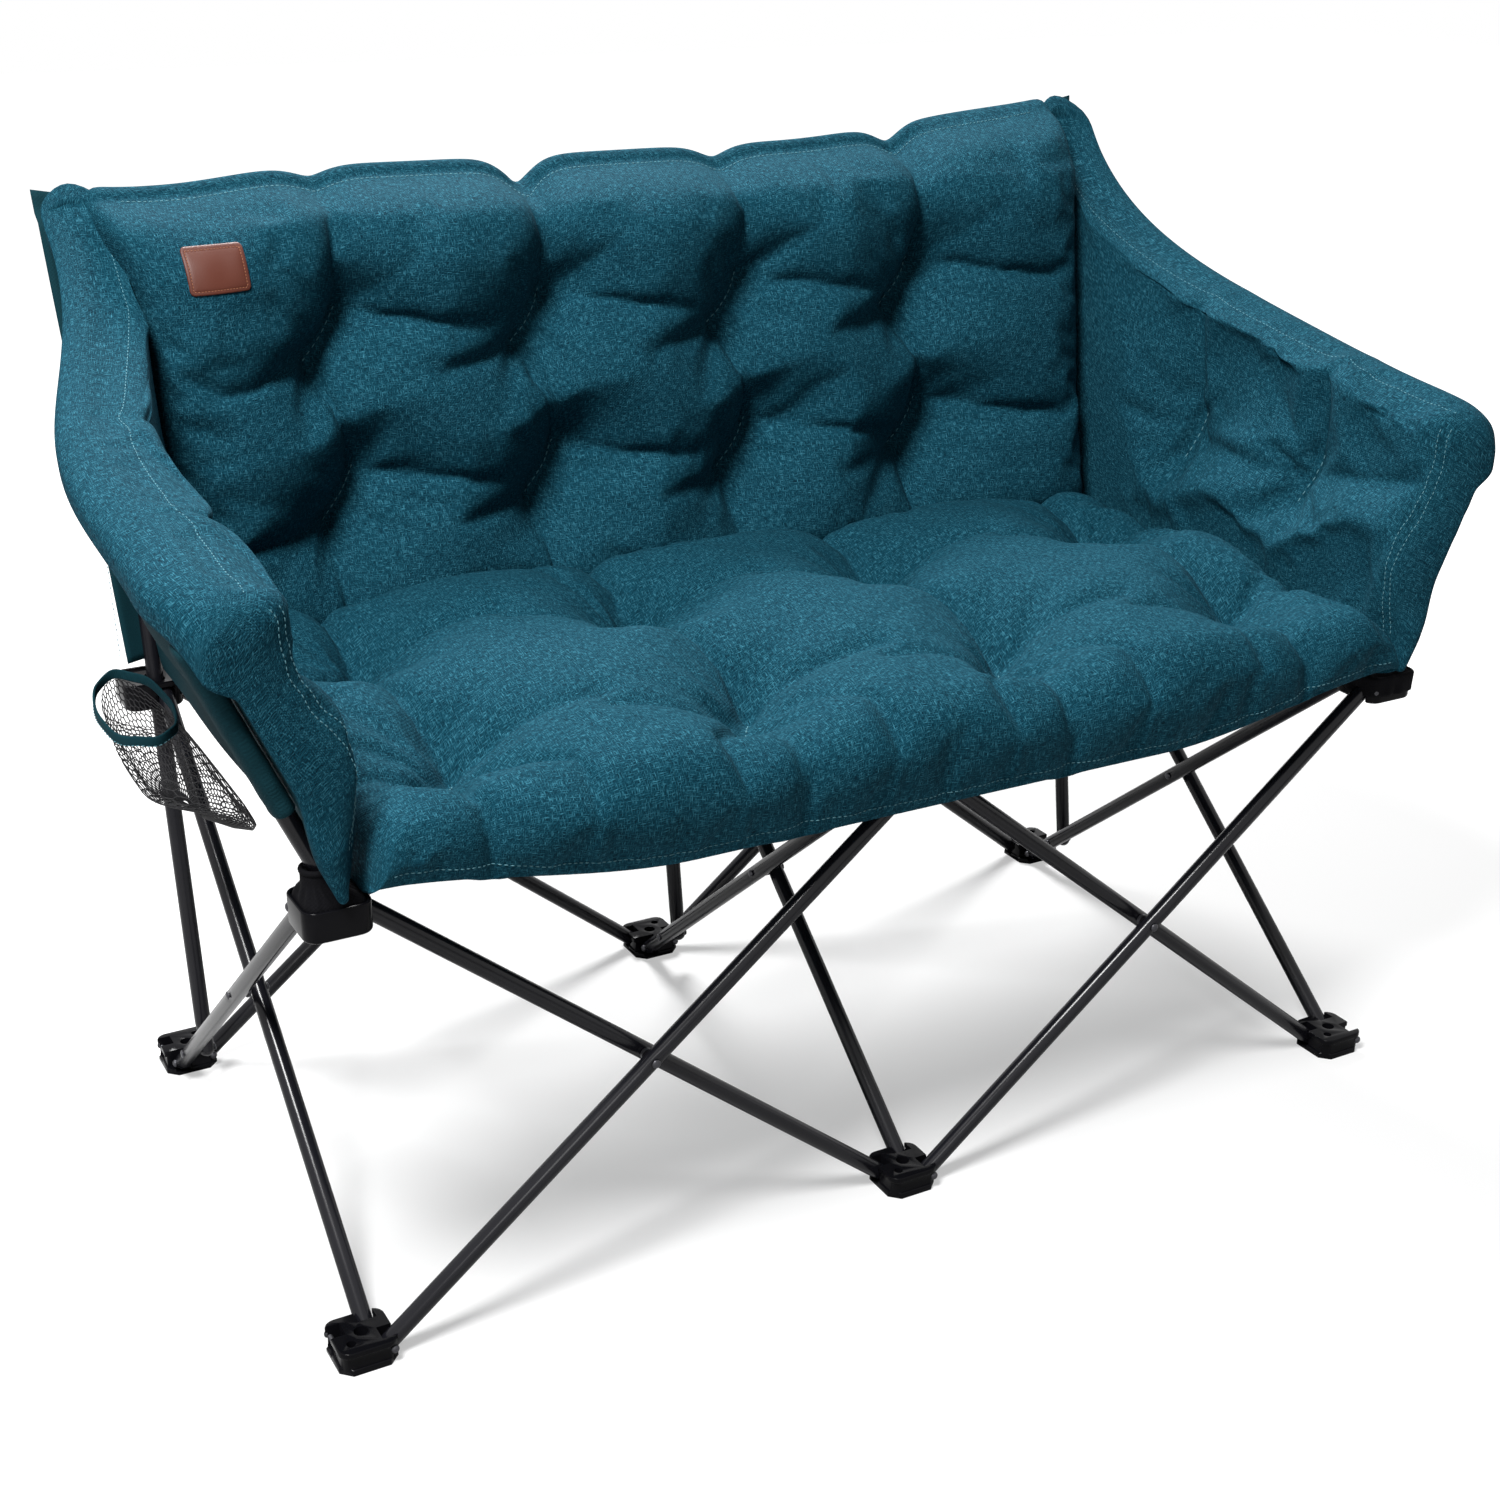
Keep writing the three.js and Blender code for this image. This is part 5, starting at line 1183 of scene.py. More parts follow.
def make_arm(side, name):
    face, outer = arm_grids(side)
    turn = np.array([side, 1, 1])
    quilt_from = ARM_ROLL_START_SHARE - ARM_QUILT_BELOW_ROLL_SHARE
    arm, arm_at = stuffed_skin(f"arm_quilt_{name}", face * turn, outer * turn, QUILT, LINING,
                               backing_is_face=lambda share: share > quilt_from)
    fill(arm, hold_arm(arm, arm_at, face), ARM_SPARE_SHARE, ARM_SWELL)
    subdivide(arm)
    stands_for(arm, f"arm_pad_{name}", f"arm_{name}")
    return arm


arm_left, arm_right = make_arm(-1, "left"), make_arm(1, "right")
print("arms:", len(arm_left.data.polygons), len(arm_right.data.polygons))

# %% [markdown]
# The tubes are drawn steel, 16.5 mm across, with a closed round end at each rivet. Where a crossing
# rivet is pulled tight the wall is pressed in a little, which shows as a small oval dimple.

# %% Frame tubes
TUBE_SIDES = 40
TIP_RINGS = 6
TIP_START_TURN = 0.12
DIMPLE_DEPTH, DIMPLE_REACH = 0.0009, 0.009
DIMPLE_RINGS, DIMPLE_POWER = 13, 6
POST_DIMPLE_SHARE = 0.03
TUBE_SMOOTH_ANGLE = 50


def loft_mesh(name, rings, material, smooth_angle=None):
    """A skin over rings of points, closed at both ends, with its faces outward."""
    count = len(rings[0])
    points = [tuple(point) for ring in rings for point in ring]
    faces = []
    for ring in range(len(rings) - 1):
        base = ring * count
        for at in range(count):
            after = (at + 1) % count
            faces.append((base + at, base + after, base + count + after, base + count + at))
    faces.append(tuple(range(count))[::-1])
    faces.append(tuple(range((len(rings) - 1) * count, len(rings) * count)))
    mesh = bpy.data.meshes.new(name)
    mesh.from_pydata(points, [], faces)
    face_outward(mesh)
    shade_smooth(mesh)
    if smooth_angle:
        mesh.set_sharp_from_angle(angle=math.radians(smooth_angle))
    mesh.materials.append(material)
    return linked(name, mesh)


def ring_points(centre, side, over, radius, count):
    angles = np.linspace(0, 2 * math.pi, count, endpoint=False)
    return centre + radius * np.cos(angles)[:, None] * side + radius * np.sin(angles)[:, None] * over


def round_tube(node, rivet_axis, dimple_share=0.5):
    start, end, radius = tube_axis(node)
    along = end - start
    length = np.linalg.norm(along)
    along /= length
    side = np.array(rivet_axis, float)
    side -= along * (side @ along)
    side /= np.linalg.norm(side)
    over = np.cross(along, side)
    stations = [(radius * (1 - math.cos(turn)), radius * math.sin(turn))
                for turn in np.linspace(TIP_START_TURN, math.pi / 2, TIP_RINGS)]
    dimple = dimple_share * length
    body = [(round(dimple + step, 5), radius) for step in np.linspace(-2, 2, DIMPLE_RINGS) * DIMPLE_REACH]
    angles = np.linspace(0, 2 * math.pi, TUBE_SIDES, endpoint=False)
    c, s = np.cos(angles), np.sin(angles)
    rings = []
    for at, size in stations + body + [(length - at, size) for at, size in stations[::-1]]:
        pressed = math.exp(-((at - dimple) / DIMPLE_REACH) ** 2)
        sizes = size - DIMPLE_DEPTH * pressed * np.abs(c) ** DIMPLE_POWER
        rings.append(start + along * at + (sizes * c)[:, None] * side + (sizes * s)[:, None] * over)
    stands_for(loft_mesh(f"tube_{node}", rings, POWDER_COAT, TUBE_SMOOTH_ANGLE), node)


for node in frame["nodes"]:
    if "_tube_rising_" in node:
        round_tube(node, (1, 0, 0) if node.startswith("side") else (0, 1, 0))
    elif node.startswith(("back_post_", "arm_post_")):
        round_tube(node, (1, 0, 0) if node.startswith("back") else (0, 1, 0), POST_DIMPLE_SHARE)
print("tubes finished")

# %% [markdown]
# Each crossing has a rivet with a domed head on both sides and a spacer ring between the two tubes.

# %% Rivets
RIVET_SIDES = 24
RIVET_HEAD_RADIUS = 0.0042
RIVET_PIN_RADIUS = 0.0024
RIVET_HEAD_HEIGHT = 0.0016
SPACER_RADIUS = 0.006
SPACER_HALF, SPACER_EDGE_SHARE = 0.0019, 0.96
RIVET_SMOOTH_ANGLE = 40
DOME_POWER, DOME_END_TURN, DOME_RINGS = 0.8, math.pi / 2 - 0.15, 5


def dome(root, height, rings):
    """Radius and place of the rings of a domed head that stands on its root."""
    return [(RIVET_HEAD_RADIUS * math.cos(turn) ** DOME_POWER, root + height * math.sin(turn))
            for turn in np.linspace(0, DOME_END_TURN, rings)]


def dome_profile(end, way):
    """Radius and place along the axis from the root of a rivet head out to its crown."""
    root = end - way * RIVET_HEAD_HEIGHT
    return [(RIVET_PIN_RADIUS, root)] + dome(root, way * RIVET_HEAD_HEIGHT, DOME_RINGS)


def rivet(node, with_spacer):
    lowest, highest = low(node), high(node)
    centre, size = (lowest + highest) / 2, highest - lowest
    axis = int(np.argmax(size))
    along = np.eye(3)[axis]
    side, over = np.eye(3)[(axis + 1) % 3], np.eye(3)[(axis + 2) % 3]
    half = size[axis] / 2
    profile = dome_profile(-half, -1)[::-1]
    if with_spacer:
        edge = SPACER_HALF * SPACER_EDGE_SHARE
        profile += [(RIVET_PIN_RADIUS, -SPACER_HALF), (SPACER_RADIUS, -edge),
                    (SPACER_RADIUS, edge), (RIVET_PIN_RADIUS, SPACER_HALF)]
    profile += dome_profile(half, 1)
    rings = [ring_points(centre + along * at, side, over, radius, RIVET_SIDES) for radius, at in profile]
    stands_for(loft_mesh(f"finished_{node}", rings, RIVET_STEEL, RIVET_SMOOTH_ANGLE), node)


for node in frame["nodes"]:
    if node.startswith("rivet_"):
        rivet(node, "back_post" not in node)
print("rivets finished")

# %% [markdown]
# The feet and hubs take the most skill on this chair. Each is one injection moulding with a socket for
# every tube, all open on one face so that the tubes can fold up beside each other. A foot has a
# chamfered base, a recessed waist and a rounded top plate with round wells. A hub is a rounded block
# with a raised shiny rim round its deck. They are built as plates with rounded edges, then the sockets
# and wells are cut out, and every new edge gets the small radius that a mould leaves.

# %% Moulded feet and hubs
FOOT_HALF = float(high("foot_front_middle")[0])
FOOT_HEIGHT = float(high("foot_front_middle")[2])
FOOT_BASE_HEIGHT = 0.0065
FOOT_FLOOR = 0.0036
FOOT_DECK = 0.006
FOOT_WAIST_INSET = 0.002
FOOT_CORNER = 0.011
FOOT_CHAMFER = 0.010
FOOT_WELL_RADIUS = 0.0065
FOOT_SMALL_WELL_RADIUS = 0.0043
FOOT_WELL_DEPTH = 0.013
PIN_OFFSET = 0.022
LANE_OFFSET = 0.0105
PIN_HEIGHT = 0.013
HUB_BELOW_PIN = 0.013
HUB_DECK_ABOVE_PIN = 0.0114
HUB_RIM_HEIGHT = 0.003
HUB_RIM_WALL = 0.003
HUB_CORNER = 0.013
HUB_BEVEL = 0.003
SLOT_HALF = TUBE_RADIUS + 0.0004
SLOT_START = PIN_OFFSET - TUBE_RADIUS - 0.00065
SLOT_CEILING = TUBE_RADIUS + 0.00075
PLATE_EDGE = 0.0012
MOULD_RADIUS = 0.0004
CORNER_STEPS = 8
OVERRUN = 0.002
POST_X = -LANE_OFFSET + 2 * TUBE_RADIUS + 0.0006
POST_GUIDE_GAP = 0.0005
EAR_THICKNESS = 0.003
EAR_HALF_WIDTH = 0.0075
ARM_PIVOT_Y = -0.006
ARM_PIVOT_ABOVE_DECK = 0.012
FOOT_SMALL_WELL_SHARE = 0.72
HUB_CHEEK_INSET = 0.001
POST_GUIDE_FRONT, POST_GUIDE_TRAVEL = -0.0052, 0.0084
PIN_SIDES, PIN_DOME_RINGS = 16, 4
MOULD_EDGE_ANGLE, MOULD_SMOOTH_ANGLE = 40, 32


def rounded_square(half, corner, z):
    points = []
    for quarter, (sx, sy) in enumerate(((1, 1), (-1, 1), (-1, -1), (1, -1))):
        for step in range(CORNER_STEPS + 1):
            angle = (quarter + step / CORNER_STEPS) * math.pi / 2
            points.append((sx * (half - corner) + corner * math.cos(angle),
                           sy * (half - corner) + corner * math.sin(angle), z))
    return np.array(points)


def chamfered_square(half, chamfer, z):
    flat = half - chamfer
    return np.array([(half, flat, z), (flat, half, z), (-flat, half, z), (-half, flat, z),
                     (-half, -flat, z), (-flat, -half, z), (flat, -half, z), (half, -flat, z)])


def plate(outline, z_low, z_high, edge_low, edge_high, steps=3):
    """A plate whose lower and upper edges are rounded off; outline gives a ring for an inset and height."""
    rings = []
    for step in range(steps + 1):
        turn = step / steps * math.pi / 2
        rings.append(outline(edge_low * (1 - math.sin(turn)), z_low + edge_low * (1 - math.cos(turn))))
    for step in range(steps + 1):
        turn = step / steps * math.pi / 2
        rings.append(outline(edge_high * (1 - math.cos(turn)), z_high - edge_high * (1 - math.sin(turn))))
    return loft_mesh("plate", rings, MOULDED)


def box(x_low, x_high, y_low, y_high, z_low, z_high):
    ring = np.array([(x_low, y_low), (x_high, y_low), (x_high, y_high), (x_low, y_high)])
    rings = [np.column_stack([ring, np.full(4, z)]) for z in (z_low, z_high)]
    return loft_mesh("box", rings, MOULDED)


def turned_rod(profile, centre, axis, sides):
    """A turned piece: (radius, place) pairs along a line through a centre."""
    along = np.array(axis, float)
    side = np.cross(along, (0, 0, 1) if abs(along[2]) < 0.5 else (1, 0, 0))
    side /= np.linalg.norm(side)
    over = np.cross(along, side)
    rings = [ring_points(np.array(centre) + along * at, side, over, radius, sides) for radius, at in profile]
    return loft_mesh("rod", rings, MOULDED)


def combine(body, tool, operation):
    """Joins a tool to a body or cuts it out, and removes the tool."""
    step = body.modifiers.new("step", "BOOLEAN")
    step.operation = operation
    step.solver = "EXACT"
    step.object = tool
    applied(body)
    bpy.data.objects.remove(tool)


def turned(obj, quarter):
    obj.data.transform(Matrix.Rotation(quarter * math.pi / 2, 4, "Z"))
    return obj


def eased(body):
    """Gives the cut edges the small radius of a moulding and shades it as one smooth part."""
    step = body.modifiers.new("edges", "BEVEL")
    step.width = MOULD_RADIUS
    step.segments = 2
    step.limit_method = "ANGLE"
    step.angle_limit = math.radians(MOULD_EDGE_ANGLE)
    step.use_clamp_overlap = True
    mesh = applied(body)
    shade_smooth(mesh)
    mesh.set_sharp_from_angle(angle=math.radians(MOULD_SMOOTH_ANGLE))


def socket_slot(lane, half, z_low, z_high):
    return box(SLOT_START, half + OVERRUN, lane - SLOT_HALF, lane + SLOT_HALF, z_low, z_high)


def socket_pin(lane, cheek_face, z):
    """The rivet of a socket, from the inner wall through to a domed head on the outer face."""
    way = 1 if lane > 0 else -1
    root = abs(lane) - SLOT_HALF - OVERRUN
    seat_at = cheek_face - RIVET_HEAD_HEIGHT
    profile = [(RIVET_PIN_RADIUS, root), (RIVET_PIN_RADIUS, seat_at)]
    profile += dome(seat_at, 2 * RIVET_HEAD_HEIGHT, PIN_DOME_RINGS)
    pin = turned_rod(profile, (PIN_OFFSET, 0, z), (0, way, 0), PIN_SIDES)
    pin.data.materials[0] = RIVET_STEEL
    return pin


def joined_pieces(body, pieces):
    """Adds separate closed pieces to a body's mesh as they are, each with its own finish."""
    build = bmesh.new()
    build.from_mesh(body.data)
    for piece in pieces:
        slot = body.data.materials.find(piece.data.materials[0].name)
        if slot < 0:
            body.data.materials.append(piece.data.materials[0])
            slot = len(body.data.materials) - 1
        before = len(build.faces)
        build.from_mesh(piece.data)
        build.faces.ensure_lookup_table()
        for face in build.faces[before:]:
            face.material_index = slot
        bpy.data.objects.remove(piece)
    build.to_mesh(body.data)
    build.free()
    return body


def foot_moulding(side_has_cheek):
    half, waist = FOOT_HALF, FOOT_HALF - FOOT_WAIST_INSET
    body = plate(lambda inset, z: chamfered_square(half - inset, FOOT_CHAMFER - 0.4 * inset, z),
                 0, FOOT_BASE_HEIGHT, 0.0006, PLATE_EDGE)
    middle = plate(lambda inset, z: rounded_square(waist - inset, FOOT_CORNER - FOOT_WAIST_INSET - inset, z),
                   FOOT_FLOOR, FOOT_HEIGHT - FOOT_DECK / 2, 0.0003, 0.0003)
    deck = plate(lambda inset, z: rounded_square(half - inset, FOOT_CORNER - inset, z),
                 FOOT_HEIGHT - FOOT_DECK, FOOT_HEIGHT, PLATE_EDGE, PLATE_EDGE)
    combine(body, middle, "UNION")
    combine(body, deck, "UNION")
    above = FOOT_HEIGHT + OVERRUN
    for quarter in (0, 1, 2):
        combine(body, turned(socket_slot(-LANE_OFFSET, half, FOOT_FLOOR, above), quarter), "DIFFERENCE")
    floor = FOOT_HEIGHT - FOOT_WELL_DEPTH
    small = (half - 2 * FOOT_SMALL_WELL_RADIUS) * FOOT_SMALL_WELL_SHARE
    for radius, place, sides in ((FOOT_WELL_RADIUS, 0, 40), (FOOT_SMALL_WELL_RADIUS, -small, 32)):
        well = turned_rod([(radius, floor), (radius, above)], (place, place, 0), (0, 0, 1), sides)
        combine(body, well, "DIFFERENCE")
    if not side_has_cheek:
        cheek = box(SLOT_START, half + OVERRUN, -half - OVERRUN, -LANE_OFFSET - SLOT_HALF + REST_GAP,
                    FOOT_BASE_HEIGHT, above)
        combine(body, turned(cheek, 1), "DIFFERENCE")
    eased(body)
    pins = []
    for quarter in (0, 1, 2):
        has_cheek = quarter != 1 or side_has_cheek
        face = waist if has_cheek else LANE_OFFSET + SLOT_HALF + RIVET_HEAD_HEIGHT / 2
        pins.append(turned(socket_pin(-LANE_OFFSET, face, PIN_HEIGHT), quarter))
    return joined_pieces(body, pins)


def hub_moulding(quarters, is_rear):
    half = HUB_HALF
    top = HUB_DECK_ABOVE_PIN + HUB_RIM_HEIGHT
    body = plate(lambda inset, z: rounded_square(half - inset, HUB_CORNER - inset, z),
                 -HUB_BELOW_PIN, top, HUB_BEVEL, PLATE_EDGE, 4)
    inside = half - HUB_RIM_WALL
    dish = plate(lambda inset, z: rounded_square(inside - inset, HUB_CORNER - HUB_RIM_WALL - inset, z),
                 HUB_DECK_ABOVE_PIN, top + OVERRUN, PLATE_EDGE, 0.0002)
    combine(body, dish, "DIFFERENCE")
    for quarter in quarters:
        slot = socket_slot(LANE_OFFSET, half, -HUB_BELOW_PIN - OVERRUN, SLOT_CEILING)
        combine(body, turned(slot, quarter), "DIFFERENCE")
    if is_rear:
        reach_y = TUBE_RADIUS / math.cos(math.atan(POST_SLOPE)) + POST_GUIDE_GAP
        reach_x = TUBE_RADIUS + POST_GUIDE_GAP
        y_front = POST_GUIDE_FRONT - reach_y + reach_x - HUB_BELOW_PIN * POST_SLOPE
        y_rear = POST_GUIDE_FRONT + POST_GUIDE_TRAVEL + reach_y - reach_x + HUB_DECK_ABOVE_PIN * POST_SLOPE
        angles = np.linspace(0, math.pi, 17)
        outline = [(POST_X + reach_x * math.cos(a), y_rear + reach_x * math.sin(a)) for a in angles]
        outline += [(POST_X - reach_x * math.cos(a), y_front - reach_x * math.sin(a)) for a in angles]
        rings = [np.column_stack([np.array(outline), np.full(len(outline), z)])
                 for z in (-HUB_BELOW_PIN - OVERRUN, top + OVERRUN)]
        combine(body, loft_mesh("guide", rings, MOULDED), "DIFFERENCE")
    eased(body)
    cheek = half - HUB_CHEEK_INSET
    return joined_pieces(body, [turned(socket_pin(LANE_OFFSET, cheek, 0), quarter) for quarter in quarters])


def arm_ears():
    """Two ears with a pin through them, which carry the foot of an arm post."""
    z = HUB_DECK_ABOVE_PIN + ARM_PIVOT_ABOVE_DECK
    base = HUB_DECK_ABOVE_PIN - HUB_RIM_HEIGHT / 2
    inner = SLOT_HALF
    turns = np.linspace(0, math.pi, 13)
    outline = [(-EAR_HALF_WIDTH, base), (EAR_HALF_WIDTH, base)]
    outline += [(EAR_HALF_WIDTH * math.cos(a), z + EAR_HALF_WIDTH * math.sin(a)) for a in turns]
    pieces = []
    for side in (-1, 1):
        ys = sorted((ARM_PIVOT_Y + side * inner, ARM_PIVOT_Y + side * (inner + EAR_THICKNESS)))
        rings = [np.array([(x, y, height) for x, height in outline]) for y in ys]
        pieces.append(loft_mesh("ear", rings, MOULDED, RIVET_SMOOTH_ANGLE))
    reach = inner + EAR_THICKNESS + RIVET_HEAD_HEIGHT
    profile = dome_profile(-reach, -1)[::-1] + dome_profile(reach, 1)
    pin = turned_rod(profile, (0, ARM_PIVOT_Y, z), (0, 1, 0), PIN_SIDES)
    pin.data.materials[0] = RIVET_STEEL
    return pieces + [pin]


def place_moulding(master, node, place, quarter=0):
    piece = linked(f"moulding_{node}", master.data.copy())
    piece.data.transform(Matrix.Translation(place) @ Matrix.Rotation(quarter * math.pi / 2, 4, "Z"))
    stands_for(piece, node)


HUB_QUARTERS = {
    "front": {"left": (0, 1), "middle": (0, 1, 2), "right": (1, 2)},
    "rear": {"left": (0, 3), "middle": (0, 2, 3), "right": (2, 3)},
}
HUB_PIN_Z = HUB_TOP - HUB_RIM_HEIGHT - HUB_DECK_ABOVE_PIN
feet = {"front": foot_moulding(True), "rear": foot_moulding(False)}
for row, row_y, quarter in (("front", FRONT_ROW_Y, 0), ("rear", REAR_ROW_Y, 2)):
    for column in COLUMNS:
        place_moulding(feet[row], f"foot_{row}_{column}", (COLUMN_X[column], row_y, 0), quarter)
        hub = hub_moulding(HUB_QUARTERS[row][column], row == "rear")
        if row == "front" and column != "middle":
            joined_pieces(hub, arm_ears())
        place_moulding(hub, f"hub_{row}_{column}", (COLUMN_X[column], row_y, HUB_PIN_Z))
        bpy.data.objects.remove(hub)
for foot in feet.values():
    bpy.data.objects.remove(foot)
print("mouldings finished")

# %% [markdown]
# Behind the posts hangs a plain lining, cut wider toward the top. It lies in a soft ridge over each
# post and falls back between them, with a few slack folds.

# %% Back lining
LINING_HALF_LOW = 0.578
LINING_HALF_HIGH = float(high("back_lining")[0])
LINING_BELOW_TOP = 0.007
LINING_THICKNESS = 0.0012
LINING_RIDGE = 0.021
LINING_SLACK = 0.0032
LINING_HEM = 0.010
LINING_COLUMNS, LINING_ROWS = 190, 64
LINING_GAP = 0.0012
LINING_RIDGE_END = 0.03
LINING_FOLD_SIZE, LINING_FOLD_DRAW_SHARE = 0.05, 0.6
LINING_SEAM_SHARE = 0.985
LINING_SEAM_POINTS, LINING_CHANNEL_POINTS = 240, 60
LINING_CHANNEL_REACH = 1.5


def lining_rise(x, v):
    return mix(BACK_BOTTOM, back_top(x) - LINING_BELOW_TOP, v)


def lining_y(x, z):
    ridge = np.zeros_like(x)
    for column in COLUMNS:
        ridge = np.maximum(ridge, np.exp(-((x - COLUMN_X[column] - POST_X) / LINING_RIDGE) ** 2))
    ridge = ridge * (1 - smooth((z - POST_TOP) / LINING_RIDGE_END))
    folds = lumps(x, z * LINING_FOLD_DRAW_SHARE, LINING_FOLD_SIZE, 5.0)
    slack = LINING_SLACK * (1 - ridge) * (1 + folds)
    return back_rear_y(z) + LINING_GAP + mix(0, 2 * POST_CLEAR, ridge) + slack


def make_lining():
    s, v = np.meshgrid(np.linspace(-1, 1, LINING_COLUMNS), np.linspace(0, 1, LINING_ROWS))
    x = s * mix(LINING_HALF_LOW, LINING_HALF_HIGH, v)
    z = lining_rise(x, v)
    y = lining_y(x, z)
    rear = np.stack([x, y + LINING_THICKNESS, z], axis=2)
    lining, _ = stuffed_skin("back_lining_cloth", rear, np.stack([x, y, z], axis=2), LINING, LINING, 2, 0.2)
    stands_for(lining, "back_lining", "back")
    return lining


def lining_hems():
    """Hem lines round the lining and beside the post channels, on its rear face."""
    edge = LINING_HEM / (BACK_TOP - BACK_BOTTOM)
    lines = []
    for share in (edge, 1 - edge):
        s = np.linspace(-LINING_SEAM_SHARE, LINING_SEAM_SHARE, LINING_SEAM_POINTS)
        x = s * mix(LINING_HALF_LOW, LINING_HALF_HIGH, share)
        lines.append((x, lining_rise(x, share)))
    for post_x in [COLUMN_X[column] + POST_X for column in COLUMNS]:
        for side in (-1, 1):
            z = np.linspace(BACK_BOTTOM + LINING_HEM, POST_TOP, LINING_CHANNEL_POINTS)
            lines.append((np.full_like(z, post_x + side * LINING_RIDGE * LINING_CHANNEL_REACH), z))
    drawn = []
    for x, z in lines:
        y = lining_y(x, z) + LINING_THICKNESS + STITCH_LIFT
        drawn.append([tuple(point) for point in np.column_stack([x, y, z])])
    return drawn


back_lining = make_lining()

# %% [markdown]
# Each arm post runs up into a flat sleeve of lining cloth on the outer side of its arm. The sleeve is
# closed over the end of the post, and its hem is open round the bare steel below.

# %% Arm sleeves
SLEEVE_HALF_WIDTH = 0.0195
SLEEVE_HALF_DEPTH = 0.0098
SLEEVE_SIDES = 56
SLEEVE_HEM_DEPTH = 0.020
SLEEVE_HEM_RISE = 0.032
SLEEVE_OVER = 0.006
SLEEVE_SIDE_POWER, SLEEVE_OVER_POWER = 0.72, 0.86
SLEEVE_INNER_GAP = 0.0006
SLEEVE_HEM_STEPS = ((0.0006, 0.0012), (0, 0.0006), (0.0006, 0))
SLEEVE_END_SHARE = 0.94
SLEEVE_RINGS, SLEEVE_WRINKLE = 34, 0.020


def map_cloth(obj, place_of):
    """Gives a lofted piece its cloth map, from a rule that turns a point into two lengths."""
    layer = obj.data.uv_layers.new(name=CLOTH_MAP)
    for loop in obj.data.loops:
        layer.data[loop.index].uv = place_of(np.array(obj.data.vertices[loop.vertex_index].co))


def sleeve_ring(centre, side, over, half_side, half_over):
    """A flattened oval: broad along the arm, thin across it."""
    angles = np.linspace(0, 2 * math.pi, SLEEVE_SIDES, endpoint=False)
    c, s = np.cos(angles), np.sin(angles)
    x = half_side * np.sign(c) * np.abs(c) ** SLEEVE_SIDE_POWER
    y = half_over * np.sign(s) * np.abs(s) ** SLEEVE_OVER_POWER
    return centre + x[:, None] * side + y[:, None] * over


def make_sleeve(column):
    node = f"arm_sleeve_{column}"
    foot, head, _ = tube_axis(node)
    along = (head - foot) / np.linalg.norm(head - foot)
    foot, head = foot + along * SLEEVE_HEM_RISE, head + along * SLEEVE_OVER
    side, length = np.array((0, 1.0, 0)), float(np.linalg.norm(head - foot))
    over = np.cross(along, side)
    inner = TUBE_RADIUS + SLEEVE_INNER_GAP

    def ring(at, half_side, half_over):
        return sleeve_ring(foot + along * at, side, over, half_side, half_over)

    rings = [ring(SLEEVE_HEM_DEPTH, inner * share, inner * share) for share in (0.5, 1)]
    rings += [ring(at, SLEEVE_HALF_WIDTH - grow, SLEEVE_HALF_DEPTH - grow) for at, grow in SLEEVE_HEM_STEPS]
    for share in np.linspace(0.02, SLEEVE_END_SHARE, SLEEVE_RINGS):
        wrinkle = 1 + SLEEVE_WRINKLE * math.sin(37 * share + 1.3 * math.sin(9 * share))
        rings.append(ring(length * share, SLEEVE_HALF_WIDTH * wrinkle, SLEEVE_HALF_DEPTH * (2 - wrinkle)))
    for turn in np.linspace(0.2, math.pi / 2 - 0.1, 6):
        at, narrow = mix(SLEEVE_END_SHARE, 1.0, math.sin(turn)) * length, math.cos(turn) ** 0.5
        rings.append(ring(at, SLEEVE_HALF_WIDTH * narrow, SLEEVE_HALF_DEPTH * narrow))
    sleeve = loft_mesh(f"sleeve_{column}", rings, LINING)
    map_cloth(sleeve, lambda point: (float(point @ side), float(point @ along)))
    stands_for(sleeve, node)


make_sleeve("left")
make_sleeve("right")

# %% [markdown]
# A black cloth pocket is clamped in the deck of each outer front hub and gathered round the arm post,
# with a bound hem at its top. The gathers run up the cloth and grow toward the hem. The right pocket is
# also wrapped down round its hub.

# %% Corner pockets
POCKET_HEIGHT = 0.034
POCKET_WALL = 0.003
POCKET_SIDES = 96
POCKET_TAPER_GAIN = 1.5
POCKET_GATHER = 0.0011
POCKET_GATHERS = 14
WRAP_TOP = HUB_TOP + 0.0021
WRAP_DEPTH = 0.020
WRAP_INNER = HUB_HALF + 0.0004
WRAP_WALL = 0.0016
WRAP_RINGS, WRAP_SQUARE, WRAP_FOLDS = 9, 6, 9
POCKET_HEM = (
    # share of the height, and how far the cloth stands in there
    (0.86, 0.0004), (0.88, -0.0008), (0.93, -0.0011), (0.98, -0.0006), (1.0, 0.0006), (0.99, 0.0022),
    (0.90, 0.0026),
)
POCKET_RINGS = 16
POCKET_POST_GAP = 0.0024
POCKET_BASE_SQUARE, POCKET_TOP_SQUARE = 5.0, 2.0


